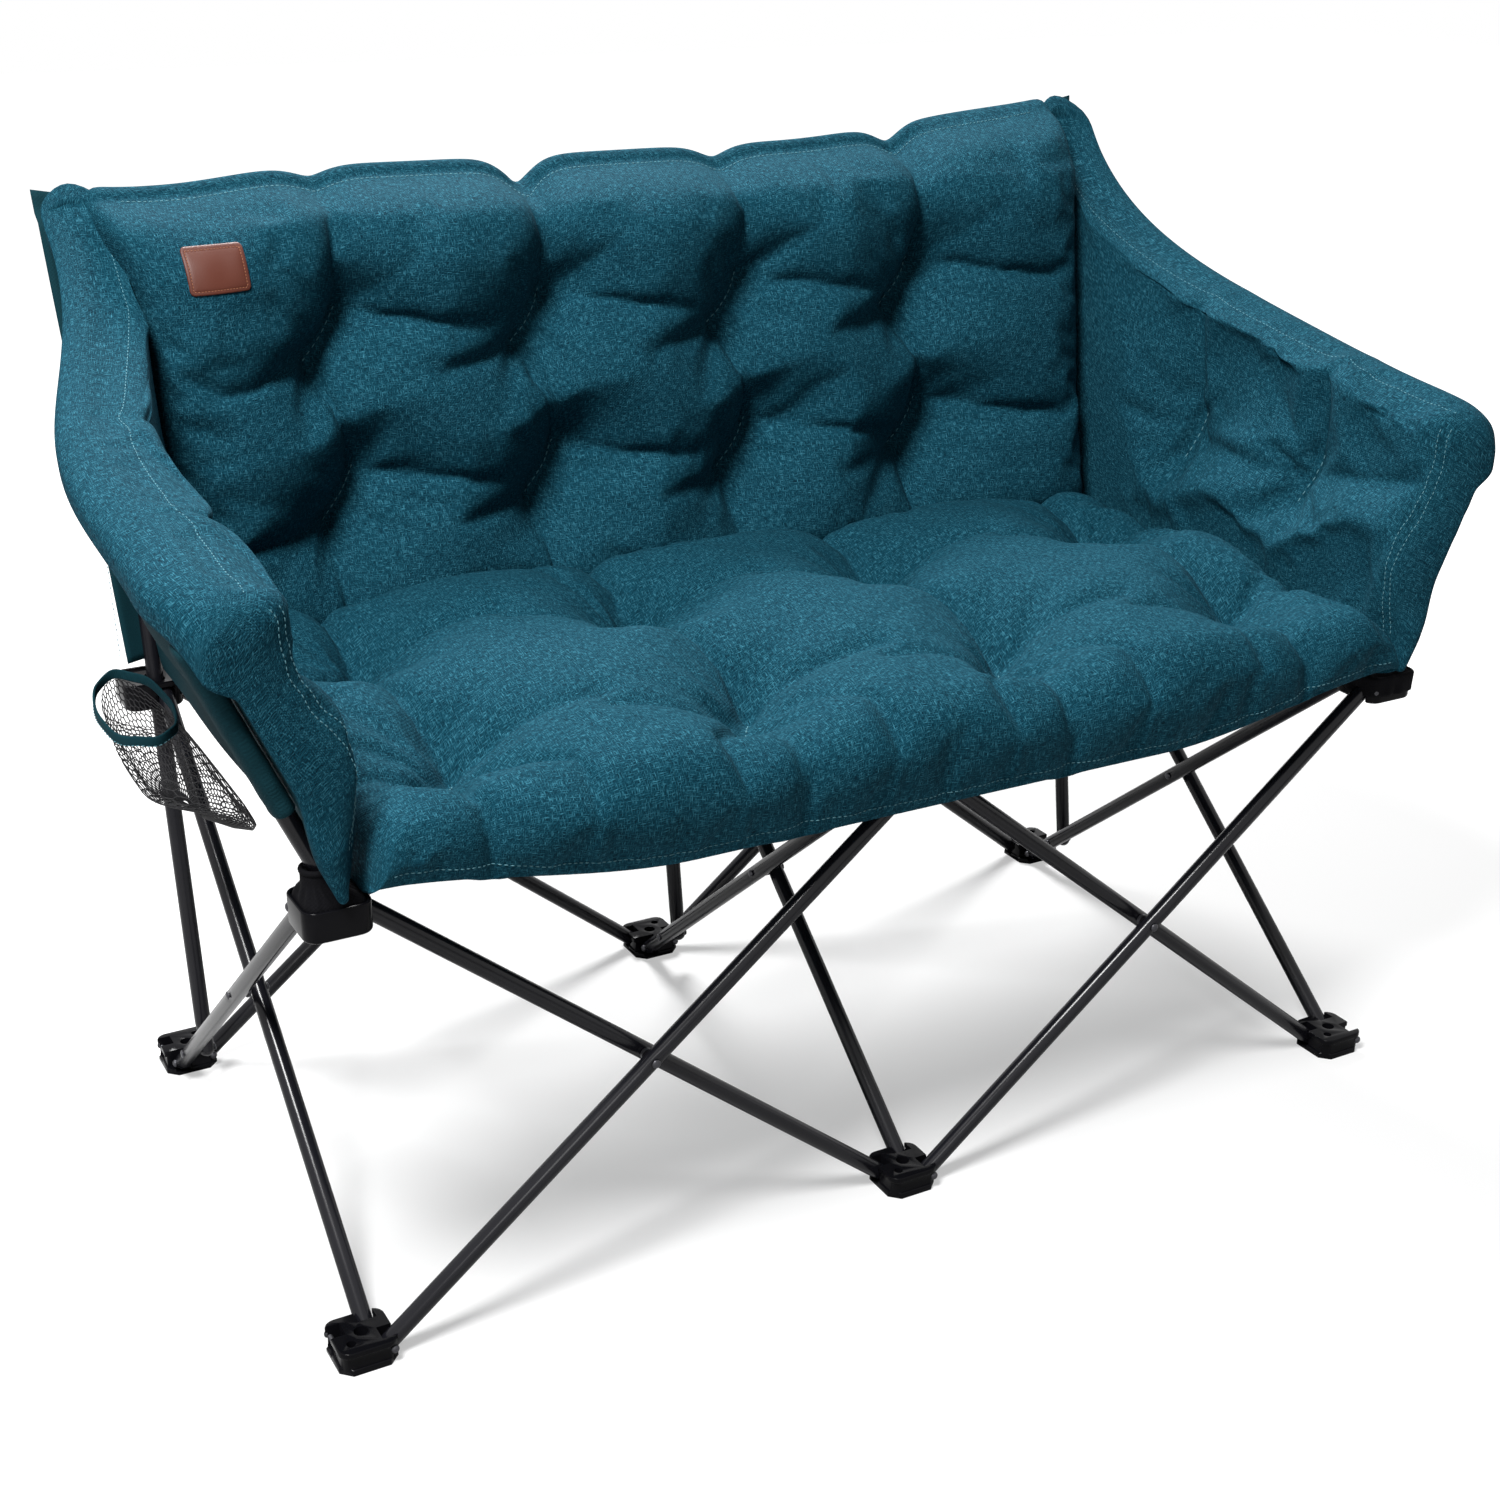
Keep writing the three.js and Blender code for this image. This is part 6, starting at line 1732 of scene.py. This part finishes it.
def make_pocket(column, side):
    node = f"corner_pocket_{column}"
    place = np.array((COLUMN_X[column], FRONT_ROW_Y, HUB_PIN_Z))
    z_low = HUB_DECK_ABOVE_PIN + REST_GAP
    base = HUB_HALF - HUB_RIM_WALL - REST_GAP
    top = TUBE_RADIUS + POCKET_POST_GAP + POCKET_WALL
    lean = side * (POCKET_HEIGHT + REST_GAP - ARM_PIVOT_ABOVE_DECK) * ARM_SLOPE
    angles = np.linspace(0, 2 * math.pi, POCKET_SIDES, endpoint=False)
    c, s = np.cos(angles), np.sin(angles)

    def ring(share, inset):
        t = float(smooth(POCKET_TAPER_GAIN * share))
        reach = mix(base, top, t) - inset
        square = mix(POCKET_BASE_SQUARE, POCKET_TOP_SQUARE, t)
        radius = reach / (np.abs(c) ** square + np.abs(s) ** square) ** (1 / square)
        gathered = np.sin(POCKET_GATHERS * angles + 2 * np.sin(3 * angles))
        radius = radius + POCKET_GATHER * t * (1 - t) * 4 * gathered
        z = z_low + POCKET_HEIGHT * share
        x, y = radius * c + lean * t, radius * s + ARM_PIVOT_Y * t
        return place + np.column_stack([x, y, np.full(len(c), z)])

    def wrapped(reach, z):
        radius = reach / (np.abs(c) ** WRAP_SQUARE + np.abs(s) ** WRAP_SQUARE) ** (1 / WRAP_SQUARE)
        folds = np.sin(WRAP_FOLDS * angles + np.sin(4 * angles))
        ripple = POCKET_GATHER * smooth((WRAP_TOP - z) / WRAP_DEPTH) * folds
        radius = radius + ripple * (reach > WRAP_INNER)
        return place + np.column_stack([radius * c, radius * s, np.full(len(c), z - place[2])])

    rings = [ring(0, 0.004), ring(0, 0.001), ring(0.02, 0)]
    if side > 0:
        inside = (WRAP_TOP - 0.0016, WRAP_TOP - 0.5 * WRAP_DEPTH, WRAP_TOP - WRAP_DEPTH)
        outside = np.linspace(WRAP_TOP - WRAP_DEPTH - 0.001, WRAP_TOP - 0.002, WRAP_RINGS)
        rings = [wrapped(WRAP_INNER, z) for z in inside]
        rings += [wrapped(WRAP_INNER + WRAP_WALL, z) for z in outside]
        rings += [wrapped(WRAP_INNER + 0.0006, WRAP_TOP - 0.0004), wrapped(WRAP_INNER - 0.001, WRAP_TOP)]
        rings += [ring(0.04, -0.001)]
    rings += [ring(share, 0) for share in np.linspace(0.08, 0.84, POCKET_RINGS)]
    rings += [ring(share, inset) for share, inset in POCKET_HEM]
    pocket = loft_mesh(f"pocket_{column}", rings, BLACK_CLOTH)

    def round_hub(point):
        away = point - place
        return float(math.atan2(away[1], away[0]) * base), float(away[2])

    map_cloth(pocket, round_hub)
    stands_for(pocket, node)


make_pocket("left", -1)
make_pocket("right", 1)

# %% [markdown]
# Stitches repeat along a line, so they are made with geometry nodes: the seam line is divided at the
# stitch pitch, and a small spindle of thread is set on each point, turned along the seam. The stitch
# length, pitch and thread thickness are inputs of the tree.

# %% Stitch tree
def new_tree(name, inputs):
    tree = bpy.data.node_groups.new(name, "GeometryNodeTree")
    tree.interface.new_socket("Geometry", in_out="INPUT", socket_type="NodeSocketGeometry")
    for label, kind in inputs:
        tree.interface.new_socket(label, in_out="INPUT", socket_type=kind)
    tree.interface.new_socket("Geometry", in_out="OUTPUT", socket_type="NodeSocketGeometry")
    return tree, tree.nodes.new("NodeGroupInput"), tree.nodes.new("NodeGroupOutput")


def wire(tree, joins):
    """Each join names a node and its output, then the node and the input that it leads to."""
    for source, output, target, socket in joins:
        tree.links.new(source.outputs[output], target.inputs[socket])


def stitch_tree():
    tree, given, result = new_tree("stitches", [
        ("Pitch", "NodeSocketFloat"),
        ("Length", "NodeSocketFloat"),
        ("Thickness", "NodeSocketFloat"),
        ("Thread", "NodeSocketMaterial"),
    ])
    nodes = tree.nodes
    line = nodes.new("GeometryNodeMeshToCurve")
    divided = nodes.new("GeometryNodeResampleCurve")
    divided.mode = "LENGTH"
    spindle = nodes.new("GeometryNodeMeshUVSphere")
    spindle.inputs["Segments"].default_value = 8
    spindle.inputs["Rings"].default_value = 6
    spindle.inputs["Radius"].default_value = 0.5
    size = nodes.new("ShaderNodeCombineXYZ")
    shaped = nodes.new("GeometryNodeTransform")
    placed = nodes.new("GeometryNodeInstanceOnPoints")
    tangent = nodes.new("GeometryNodeInputTangent")
    turn = nodes.new("FunctionNodeAlignRotationToVector")
    turn.axis = "X"
    real = nodes.new("GeometryNodeRealizeInstances")
    finish = nodes.new("GeometryNodeSetMaterial")
    wire(tree, [
        (given, "Geometry", line, "Mesh"),
        (line, "Curve", divided, "Curve"),
        (given, "Pitch", divided, "Length"),
        (given, "Length", size, "X"),
        (given, "Thickness", size, "Y"),
        (given, "Thickness", size, "Z"),
        (spindle, "Mesh", shaped, "Geometry"),
        (size, "Vector", shaped, "Scale"),
        (divided, "Curve", placed, "Points"),
        (shaped, "Geometry", placed, "Instance"),
        (tangent, "Tangent", turn, "Vector"),
        (turn, "Rotation", placed, "Rotation"),
        (placed, "Instances", real, "Geometry"),
        (real, "Geometry", finish, "Geometry"),
        (given, "Thread", finish, "Material"),
        (finish, "Geometry", result, "Geometry"),
    ])
    return tree


def lines_object(name, lines):
    points = [tuple(point) for line in lines for point in line]
    edges, start = [], 0
    for line in lines:
        edges += [(start + at, start + at + 1) for at in range(len(line) - 1)]
        start += len(line)
    mesh = bpy.data.meshes.new(name)
    mesh.from_pydata(points, edges, [])
    return linked(name, mesh)


def grown(obj, tree, values):
    """Runs a tree on an object with its inputs set, and keeps the result as a plain mesh."""
    step = obj.modifiers.new("grow", "NODES")
    step.node_group = tree
    for item in tree.interface.items_tree:
        if item.in_out == "INPUT" and item.name in values:
            step[item.identifier] = values[item.name]
    shade_smooth(applied(obj))
    return obj


STITCHES = stitch_tree()
TUFT_THREAD = {"Pitch": 0.0078, "Length": 0.0056, "Thickness": 0.0012, "Thread": QUILT_THREAD}
SEAM_THREAD = {"Pitch": 0.0052, "Length": 0.0036, "Thickness": 0.0009, "Thread": QUILT_THREAD}
PATCH_SEAM = {"Pitch": 0.0030, "Length": 0.0023, "Thickness": 0.0007, "Thread": PATCH_THREAD}
STITCH_LIFT = 0.0002
CAST_REACH = 0.4
TUFT_POINTS = 9


def cast(tree, points, direction):
    """Drops each point on a surface along a direction, and lifts it off by a little."""
    way = Vector(direction).normalized()
    found = []
    for point in points:
        hit, normal, _, _ = tree.ray_cast(Vector(point) - way * CAST_REACH, way, 2 * CAST_REACH)
        if hit is not None:
            if normal.dot(way) > 0:
                normal = -normal
            found.append(tuple(hit + normal * STITCH_LIFT))
    return found


def line_between(start, end, count):
    return [tuple(mix(np.array(start, float), np.array(end, float), t)) for t in np.linspace(0, 1, count)]


def stitch_piece(name, lines, values, body):
    piece = grown(lines_object(name, [line for line in lines if len(line) > 1]), STITCHES, values)
    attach(piece, body)
    return piece


# %% [markdown]
# The back has its eight slanting tuft seams and one long seam just under its top edge. The arms have a
# seam along the crown and a double seam behind the front edge. The seat has a seam above its front lip.

# %% Quilting and seams
ARM_SEAM_INSETS = (0.011, 0.017)
ARM_CROWN_SHARE = 0.95
BACK_SEAM_STEP, BACK_SEAM_INSET = 0.006, 0.010
ARM_CAST_X, ARM_SEAM_POINTS = 0.45, 40
ARM_SEAM_ABOVE_FOOT, ARM_SEAM_BELOW_TOP = 0.012, 0.018
SEAT_SEAM_INSET, SEAT_SEAM_GAP, SEAT_SEAM_RISE, SEAT_SEAM_POINTS = 0.012, 0.001, 0.013, 44


def arm_lines(side, arm):
    surface = surface_of(arm)
    out = (side, 0, 0)
    reach = ARM_CAST_X * side
    lines = []
    for start, end in arm_stitches():
        lines.append(cast(surface, line_between((reach, *start), (reach, *end), TUFT_POINTS), out))
    seams = []
    for inset in ARM_SEAM_INSETS:
        foot = (reach, ARM_FRONT_Y + inset, ARM_FRONT_BOTTOM + ARM_SEAM_ABOVE_FOOT)
        head = (reach, ARM_FRONT_Y + inset, ARM_TOP_FRONT - ARM_SEAM_BELOW_TOP)
        seams.append(cast(surface, line_between(foot, head, ARM_SEAM_POINTS), out))
    face = arm_grids(side)[0]
    crown = face[int(ARM_CROWN_SHARE * (len(face) - 1)), 3:-2] * np.array([side, 1, 1])
    found = [surface.find_nearest(Vector(point)) for point in crown]
    seams.append([tuple(place + normal * STITCH_LIFT) for place, normal, _, _ in found])
    return lines, seams


back_surface = surface_of(back)
back_lines = []
for start, end in back_stitches():
    line = line_between((start[0], 0, start[1]), (end[0], 0, end[1]), TUFT_POINTS)
    back_lines.append(cast(back_surface, line, (0, 1, 0)))
xs = np.arange(-BACK_HALF_WIDTH + BACK_SEAM_INSET, BACK_HALF_WIDTH - BACK_SEAM_INSET, BACK_SEAM_STEP)
back_seam = cast(back_surface, [(x, 0, float(back_top(x)) - BACK_SEAM) for x in xs], (0, 1, 0))
stitch_pieces = {
    "back": [stitch_piece("back_tuft_stitches", back_lines, TUFT_THREAD, "back"),
             stitch_piece("back_top_seam", [back_seam], SEAM_THREAD, "back"),
             stitch_piece("back_lining_seams", lining_hems(), SEAM_THREAD, "back")],
}
for side, arm, body in ((-1, arm_left, "arm_left"), (1, arm_right, "arm_right")):
    tufts, seams = arm_lines(side, arm)
    stitch_pieces[body] = [stitch_piece(f"{body}_tuft_stitches", tufts, TUFT_THREAD, body),
                           stitch_piece(f"{body}_seams", seams, SEAM_THREAD, body)]
for part, (part_name, x_low, x_high) in zip(seat_parts, SEAT_PARTS):
    x_from = -SEAT_HALF_WIDTH + SEAT_SEAM_INSET if x_low is None else x_low + SEAT_SEAM_GAP
    x_to = SEAT_HALF_WIDTH - SEAT_SEAM_INSET if x_high is None else x_high - SEAT_SEAM_GAP
    lines = []
    for start, end in seat_stitches():
        if x_from < start[0] < x_to:
            line = line_between((*start, SEAT_TOP_HEIGHT), (*end, SEAT_TOP_HEIGHT), TUFT_POINTS)
            lines.append(cast(seat_surface, line, (0, 0, -1)))
    xs = np.linspace(x_from, x_to, SEAT_SEAM_POINTS)
    seam = cast(seat_surface, [(x, 0, float(seat_lip_height(x)) + SEAT_SEAM_RISE) for x in xs], (0, 1, 0))
    body = f"seat_{part_name}"
    stitch_pieces[body] = [stitch_piece(f"{body}_tuft_stitches", lines, TUFT_THREAD, body),
                           stitch_piece(f"{body}_seam", [seam], SEAM_THREAD, body)]
print("stitched lines:", len(back_lines), "back tufts")

# %% [markdown]
# The leather patch is sewn on the crown of the back near its left corner. It is bare: a plain tanned
# piece with rounded corners, rounded cut edges and a stitched border. It is bent a little, as it
# follows the pad beneath it.

# %% Leather patch
PATCH_THICKNESS = 0.0017
PATCH_CORNER = 0.0045
PATCH_TILT = math.radians(1.5)
PATCH_SEAM_INSET = 0.0034
PATCH_EDGE_STEPS = 12
PATCH_LEAST_CORNER = 0.0006


def patch_base(dx, dz):
    """The height of the pad under the patch, where the patch's own border holds the cloth smooth."""
    found = []
    for x, z in zip(dx + PATCH_CENTRE[0], dz + PATCH_CENTRE[1]):
        found.append(back_surface.ray_cast(Vector((x, -0.4, z)), Vector((0, 1, 0)))[0].y)
    return np.array(found)


def patch_outline(inset):
    corner = max(PATCH_CORNER - inset, PATCH_LEAST_CORNER)
    points = []
    for quarter, (sx, sz) in enumerate(((1, 1), (-1, 1), (-1, -1), (1, -1))):
        for step in range(CORNER_STEPS + 1):
            angle = (quarter + step / CORNER_STEPS) * math.pi / 2
            points.append((sx * (PATCH_HALF_WIDTH - inset - corner) + corner * math.cos(angle),
                           sz * (PATCH_HALF_HEIGHT - inset - corner) + corner * math.sin(angle)))
        start = np.array(points[-1])
        away = 2 * ((PATCH_HALF_WIDTH if quarter % 2 == 0 else PATCH_HALF_HEIGHT) - inset - corner)
        end = start + away * np.array(((-1, 0), (0, -1), (1, 0), (0, 1))[quarter])
        points += [tuple(mix(start, end, share)) for share in np.linspace(0, 1, PATCH_EDGE_STEPS + 1)[1:-1]]
    points = np.array(points)
    c, s = math.cos(PATCH_TILT), math.sin(PATCH_TILT)
    return np.column_stack([c * points[:, 0] - s * points[:, 1], s * points[:, 0] + c * points[:, 1]])


def patch_ring(inset, lift):
    flat = patch_outline(inset)
    y = patch_base(flat[:, 0], flat[:, 1]) - lift
    return np.column_stack([flat[:, 0] + PATCH_CENTRE[0], y, flat[:, 1] + PATCH_CENTRE[1]])


def make_patch():
    edge = PATCH_THICKNESS
    steps = [(0.0010, -0.0030), (0.0, -0.0020), (0.0, edge * 0.6), (0.0003, edge * 0.85), (0.0008, edge),
             (0.0026, edge), (PATCH_SEAM_INSET, edge * 0.82), (0.0042, edge), (0.0060, edge * 1.08)]
    steps += [(inset, edge * 1.1) for inset in np.linspace(0.008, PATCH_HALF_HEIGHT - 0.0008, 12)]
    patch = loft_mesh("leather_patch_sewn", [patch_ring(inset, lift) for inset, lift in steps], LEATHER)
    stands_for(patch, "leather_patch", "back")
    seam = [tuple(point) for point in patch_ring(PATCH_SEAM_INSET, edge * 0.95)]
    return patch, stitch_piece("leather_patch_stitches", [seam + seam[:1]], PATCH_SEAM, "back")


patch, patch_stitches = make_patch()

# %% [markdown]
# The cup holder is a bag of black knitted net with hexagonal holes, hung on the outer side of the left
# arm under a bound rim. Its foot is drawn forward and inward. The net's pattern is laid out in rows
# round the bag, and geometry nodes turn each thread of it into a thin round cord.

# %% Cup holder net
NET_CORD_RADIUS = 0.00055
NET_COLUMNS = 54
NET_WALL_ROWS = 18
NET_BASE_ROWS = 4
NET_BASE_SHARE = 0.25
NET_ZIGZAG_SHARE = 0.17
NET_CORD_SIDES = 5
CUP_WALL = 0.002
RIM_LOW, RIM_HIGH = low("cup_holder_rim"), high("cup_holder_rim")
CUP_X, CUP_Y = middle("cup_holder_rim", 0), middle("cup_holder_rim", 1)
CUP_HALF_WIDTH, CUP_HALF_LENGTH = half_span("cup_holder_rim", 0), half_span("cup_holder_rim", 1)
BAG_BOTTOM = float(low("cup_holder_net")[2]) + 0.013
BAG_TOP = float(RIM_LOW[2]) + 0.003
BAG_RISES = (0, 0.28, 0.55, 0.8, 1)
BAG_REACHES = {
    # how far the bag reaches at each of these rises, in metres
    "front": (-0.034, -0.112, -0.166, -0.194, -0.192),
    "rear": (0.040, 0.082, 0.106, 0.121, CUP_Y + CUP_HALF_LENGTH),
    "outer": (-0.612, -0.630, -0.644, -0.652, CUP_X - CUP_HALF_WIDTH),
    "inner": (-0.590, -0.582, -0.579, -0.583, CUP_X + CUP_HALF_WIDTH),
}
BAG_STATIONS = np.linspace(0, 1, 41)
BAG_TAPER, BAG_THIN_SHARE = 0.090, 0.12
RIM_FRONT = CUP_Y - CUP_HALF_LENGTH
RIM_TILT = 0.009


def rim_tilt(y):
    """The rim hangs a little higher at its rear end."""
    return RIM_TILT * np.clip((y - CUP_Y) / CUP_HALF_LENGTH, -0.4, 1)


def bag_meridian(angle):
    """One upright line of the bag from its base to the rim, and the length along it."""
    reach = {name: np.interp(BAG_STATIONS, BAG_RISES, values) for name, values in BAG_REACHES.items()}
    y = (reach["front"] + reach["rear"]) / 2 + (reach["rear"] - reach["front"]) / 2 * math.sin(angle)
    taper_from = mix(reach["front"], RIM_FRONT, BAG_STATIONS ** 3)
    taper = np.maximum(smooth((y - taper_from) / BAG_TAPER), BAG_THIN_SHARE)
    half_width = (reach["inner"] - reach["outer"]) / 2 * taper - CUP_WALL / 2
    slack = 0.0015 * np.sin(5 * angle + 7 * BAG_STATIONS) * np.sin(math.pi * BAG_STATIONS)
    x = reach["inner"] - CUP_WALL / 2 - half_width + (half_width + slack) * math.cos(angle)
    z = mix(BAG_BOTTOM, BAG_TOP, BAG_STATIONS) + rim_tilt(y) * BAG_STATIONS ** 2
    line = np.column_stack([x, y, z])
    return line, np.concatenate([[0], np.cumsum(np.linalg.norm(np.diff(line, axis=0), axis=1))])


def net_pattern():
    """Threads of a hexagonal net: zigzag rows, joined upright at every second turn."""
    rows = NET_BASE_ROWS + NET_WALL_ROWS
    turns = 2 * NET_COLUMNS
    meridians = [bag_meridian(2 * math.pi * at / turns) for at in range(turns)]
    base_middle = np.mean([line[0] for line, _ in meridians], axis=0)

    def place(row, at):
        peak = 1 if (at + row) % 2 else -1
        level = row + NET_ZIGZAG_SHARE * peak
        line, lengths = meridians[at]
        if level < NET_BASE_ROWS:
            return tuple(mix(base_middle, line[0], mix(NET_BASE_SHARE, 1, max(level, 0) / NET_BASE_ROWS)))
        wanted = min((level - NET_BASE_ROWS) / NET_WALL_ROWS, 1) * lengths[-1]
        return tuple(np.interp(wanted, lengths, line[:, axis]) for axis in range(3))

    points = [place(row, at) for row in range(rows + 1) for at in range(turns)]
    edges = []
    for row in range(rows + 1):
        for at in range(turns):
            edges.append((row * turns + at, row * turns + (at + 1) % turns))
            if row < rows and (at + row) % 2:
                edges.append((row * turns + at, (row + 1) * turns + at))
    return points, edges


def net_tree():
    tree, given, result = new_tree("net_cords", [("Radius", "NodeSocketFloat"), ("Sides", "NodeSocketInt"),
                                                 ("Cord", "NodeSocketMaterial")])
    nodes = tree.nodes
    line = nodes.new("GeometryNodeMeshToCurve")
    circle = nodes.new("GeometryNodeCurvePrimitiveCircle")
    cord = nodes.new("GeometryNodeCurveToMesh")
    cord.inputs["Fill Caps"].default_value = True
    real = nodes.new("GeometryNodeRealizeInstances")
    finish = nodes.new("GeometryNodeSetMaterial")
    wire(tree, [
        (given, "Geometry", line, "Mesh"),
        (given, "Radius", circle, "Radius"),
        (given, "Sides", circle, "Resolution"),
        (line, "Curve", cord, "Curve"),
        (circle, "Curve", cord, "Profile Curve"),
        (cord, "Mesh", real, "Geometry"),
        (real, "Geometry", finish, "Geometry"),
        (given, "Cord", finish, "Material"),
        (finish, "Geometry", result, "Geometry"),
    ])
    return tree


def make_net():
    points, edges = net_pattern()
    mesh = bpy.data.meshes.new("net_pattern")
    mesh.from_pydata(points, edges, [])
    net = linked("cup_holder_hexagon_net", mesh)
    grown(net, net_tree(), {"Radius": NET_CORD_RADIUS, "Sides": NET_CORD_SIDES, "Cord": NET_CORD})
    stands_for(net, "cup_holder_net", "arm_left")
    return net


net = make_net()
print("net:", len(net.data.polygons), "faces")

# %% [markdown]
# The rim is a folded band of lining cloth, sewn round the mouth of the net. It stands open as a flat
# loop that sags a little at its outer side, and its back is sewn along the arm.

# %% Cup holder rim
RIM_STEPS = 72
RIM_SAG = 0.004
RIM_HALF_THICKNESS = 0.0012
RIM_HEM = 0.0035
RIM_RIPPLE = 0.001
RIM_EDGE_STEPS = 6
RIM_LENGTH, RIM_GIRTH = 0.34, 0.028
RIM_SEAM_DEPTH, RIM_SEAM_POINTS = 0.0075, 80


def rim_section(angle):
    """A rounded band, taller than it is thick, standing on the rim's line."""
    out = np.array((math.cos(angle), math.sin(angle), 0))
    edge = RIM_HALF_THICKNESS
    half = np.array((CUP_HALF_WIDTH - edge, CUP_HALF_LENGTH - edge, 0))
    centre = np.array((CUP_X, CUP_Y, 0)) + half * out
    sag = RIM_SAG * smooth(-out[0]) + RIM_RIPPLE * math.sin(7 * angle)
    lift = float(rim_tilt(centre[1])) - sag
    bottom, top = RIM_LOW[2] + RIM_HEM + lift, RIM_HIGH[2] + lift
    ring = []
    for way, level in ((1, top - edge), (-1, bottom + edge)):
        for step in range(RIM_EDGE_STEPS + 1):
            turn = math.pi * step / RIM_EDGE_STEPS
            height = level + way * edge * math.sin(turn)
            ring.append(centre + way * out * edge * math.cos(turn) + np.array((0, 0, height)))
    return ring


def make_rim():
    sections = [rim_section(2 * math.pi * at / RIM_STEPS) for at in range(RIM_STEPS)]
    count = len(sections[0])
    points = [tuple(point) for section in sections for point in section]
    faces = []
    for at in range(RIM_STEPS):
        after = (at + 1) % RIM_STEPS
        for step in range(count):
            ahead = (step + 1) % count
            faces.append((at * count + step, after * count + step, after * count + ahead, at * count + ahead))
    mesh = bpy.data.meshes.new("cup_holder_band")
    mesh.from_pydata(points, [], faces)
    face_outward(mesh)
    shade_smooth(mesh)
    layer = mesh.uv_layers.new(name=CLOTH_MAP)
    for loop in mesh.loops:
        at, step = divmod(loop.vertex_index, count)
        layer.data[loop.index].uv = (at / RIM_STEPS * RIM_LENGTH, step / count * RIM_GIRTH)
    mesh.materials.append(LINING)
    rim = linked("cup_holder_band", mesh)
    stands_for(rim, "cup_holder_rim", "arm_left")
    seam = []
    for angle in np.linspace(0, 2 * math.pi, RIM_SEAM_POINTS):
        aside = STITCH_LIFT * np.sign(math.cos(angle))
        seam.append(tuple(rim_section(angle)[0] + np.array((aside, aside, -RIM_SEAM_DEPTH))))
    return rim, stitch_piece("cup_holder_seam", [seam], SEAM_THREAD, "arm_left")


rim, rim_stitches = make_rim()

# %% [markdown]
# When the chair folds, the frame draws the cover together in width and depth. The cushions can't fold as
# cloth here. Each piece of the cover, with its stitching, gets a mesh of its own.

# %% Each piece of the cover gets its own mesh
for piece in [back, back_lining, patch, patch_stitches] + stitch_pieces["back"]:
    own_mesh(piece)
arm_pieces = [arm_left, arm_right, net, rim, rim_stitches]
for piece in arm_pieces + stitch_pieces["arm_left"] + stitch_pieces["arm_right"]:
    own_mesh(piece)
for part, (part_name, _, _) in zip(seat_parts, SEAT_PARTS):
    for piece in [part] + stitch_pieces[f"seat_{part_name}"]:
        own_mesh(piece)
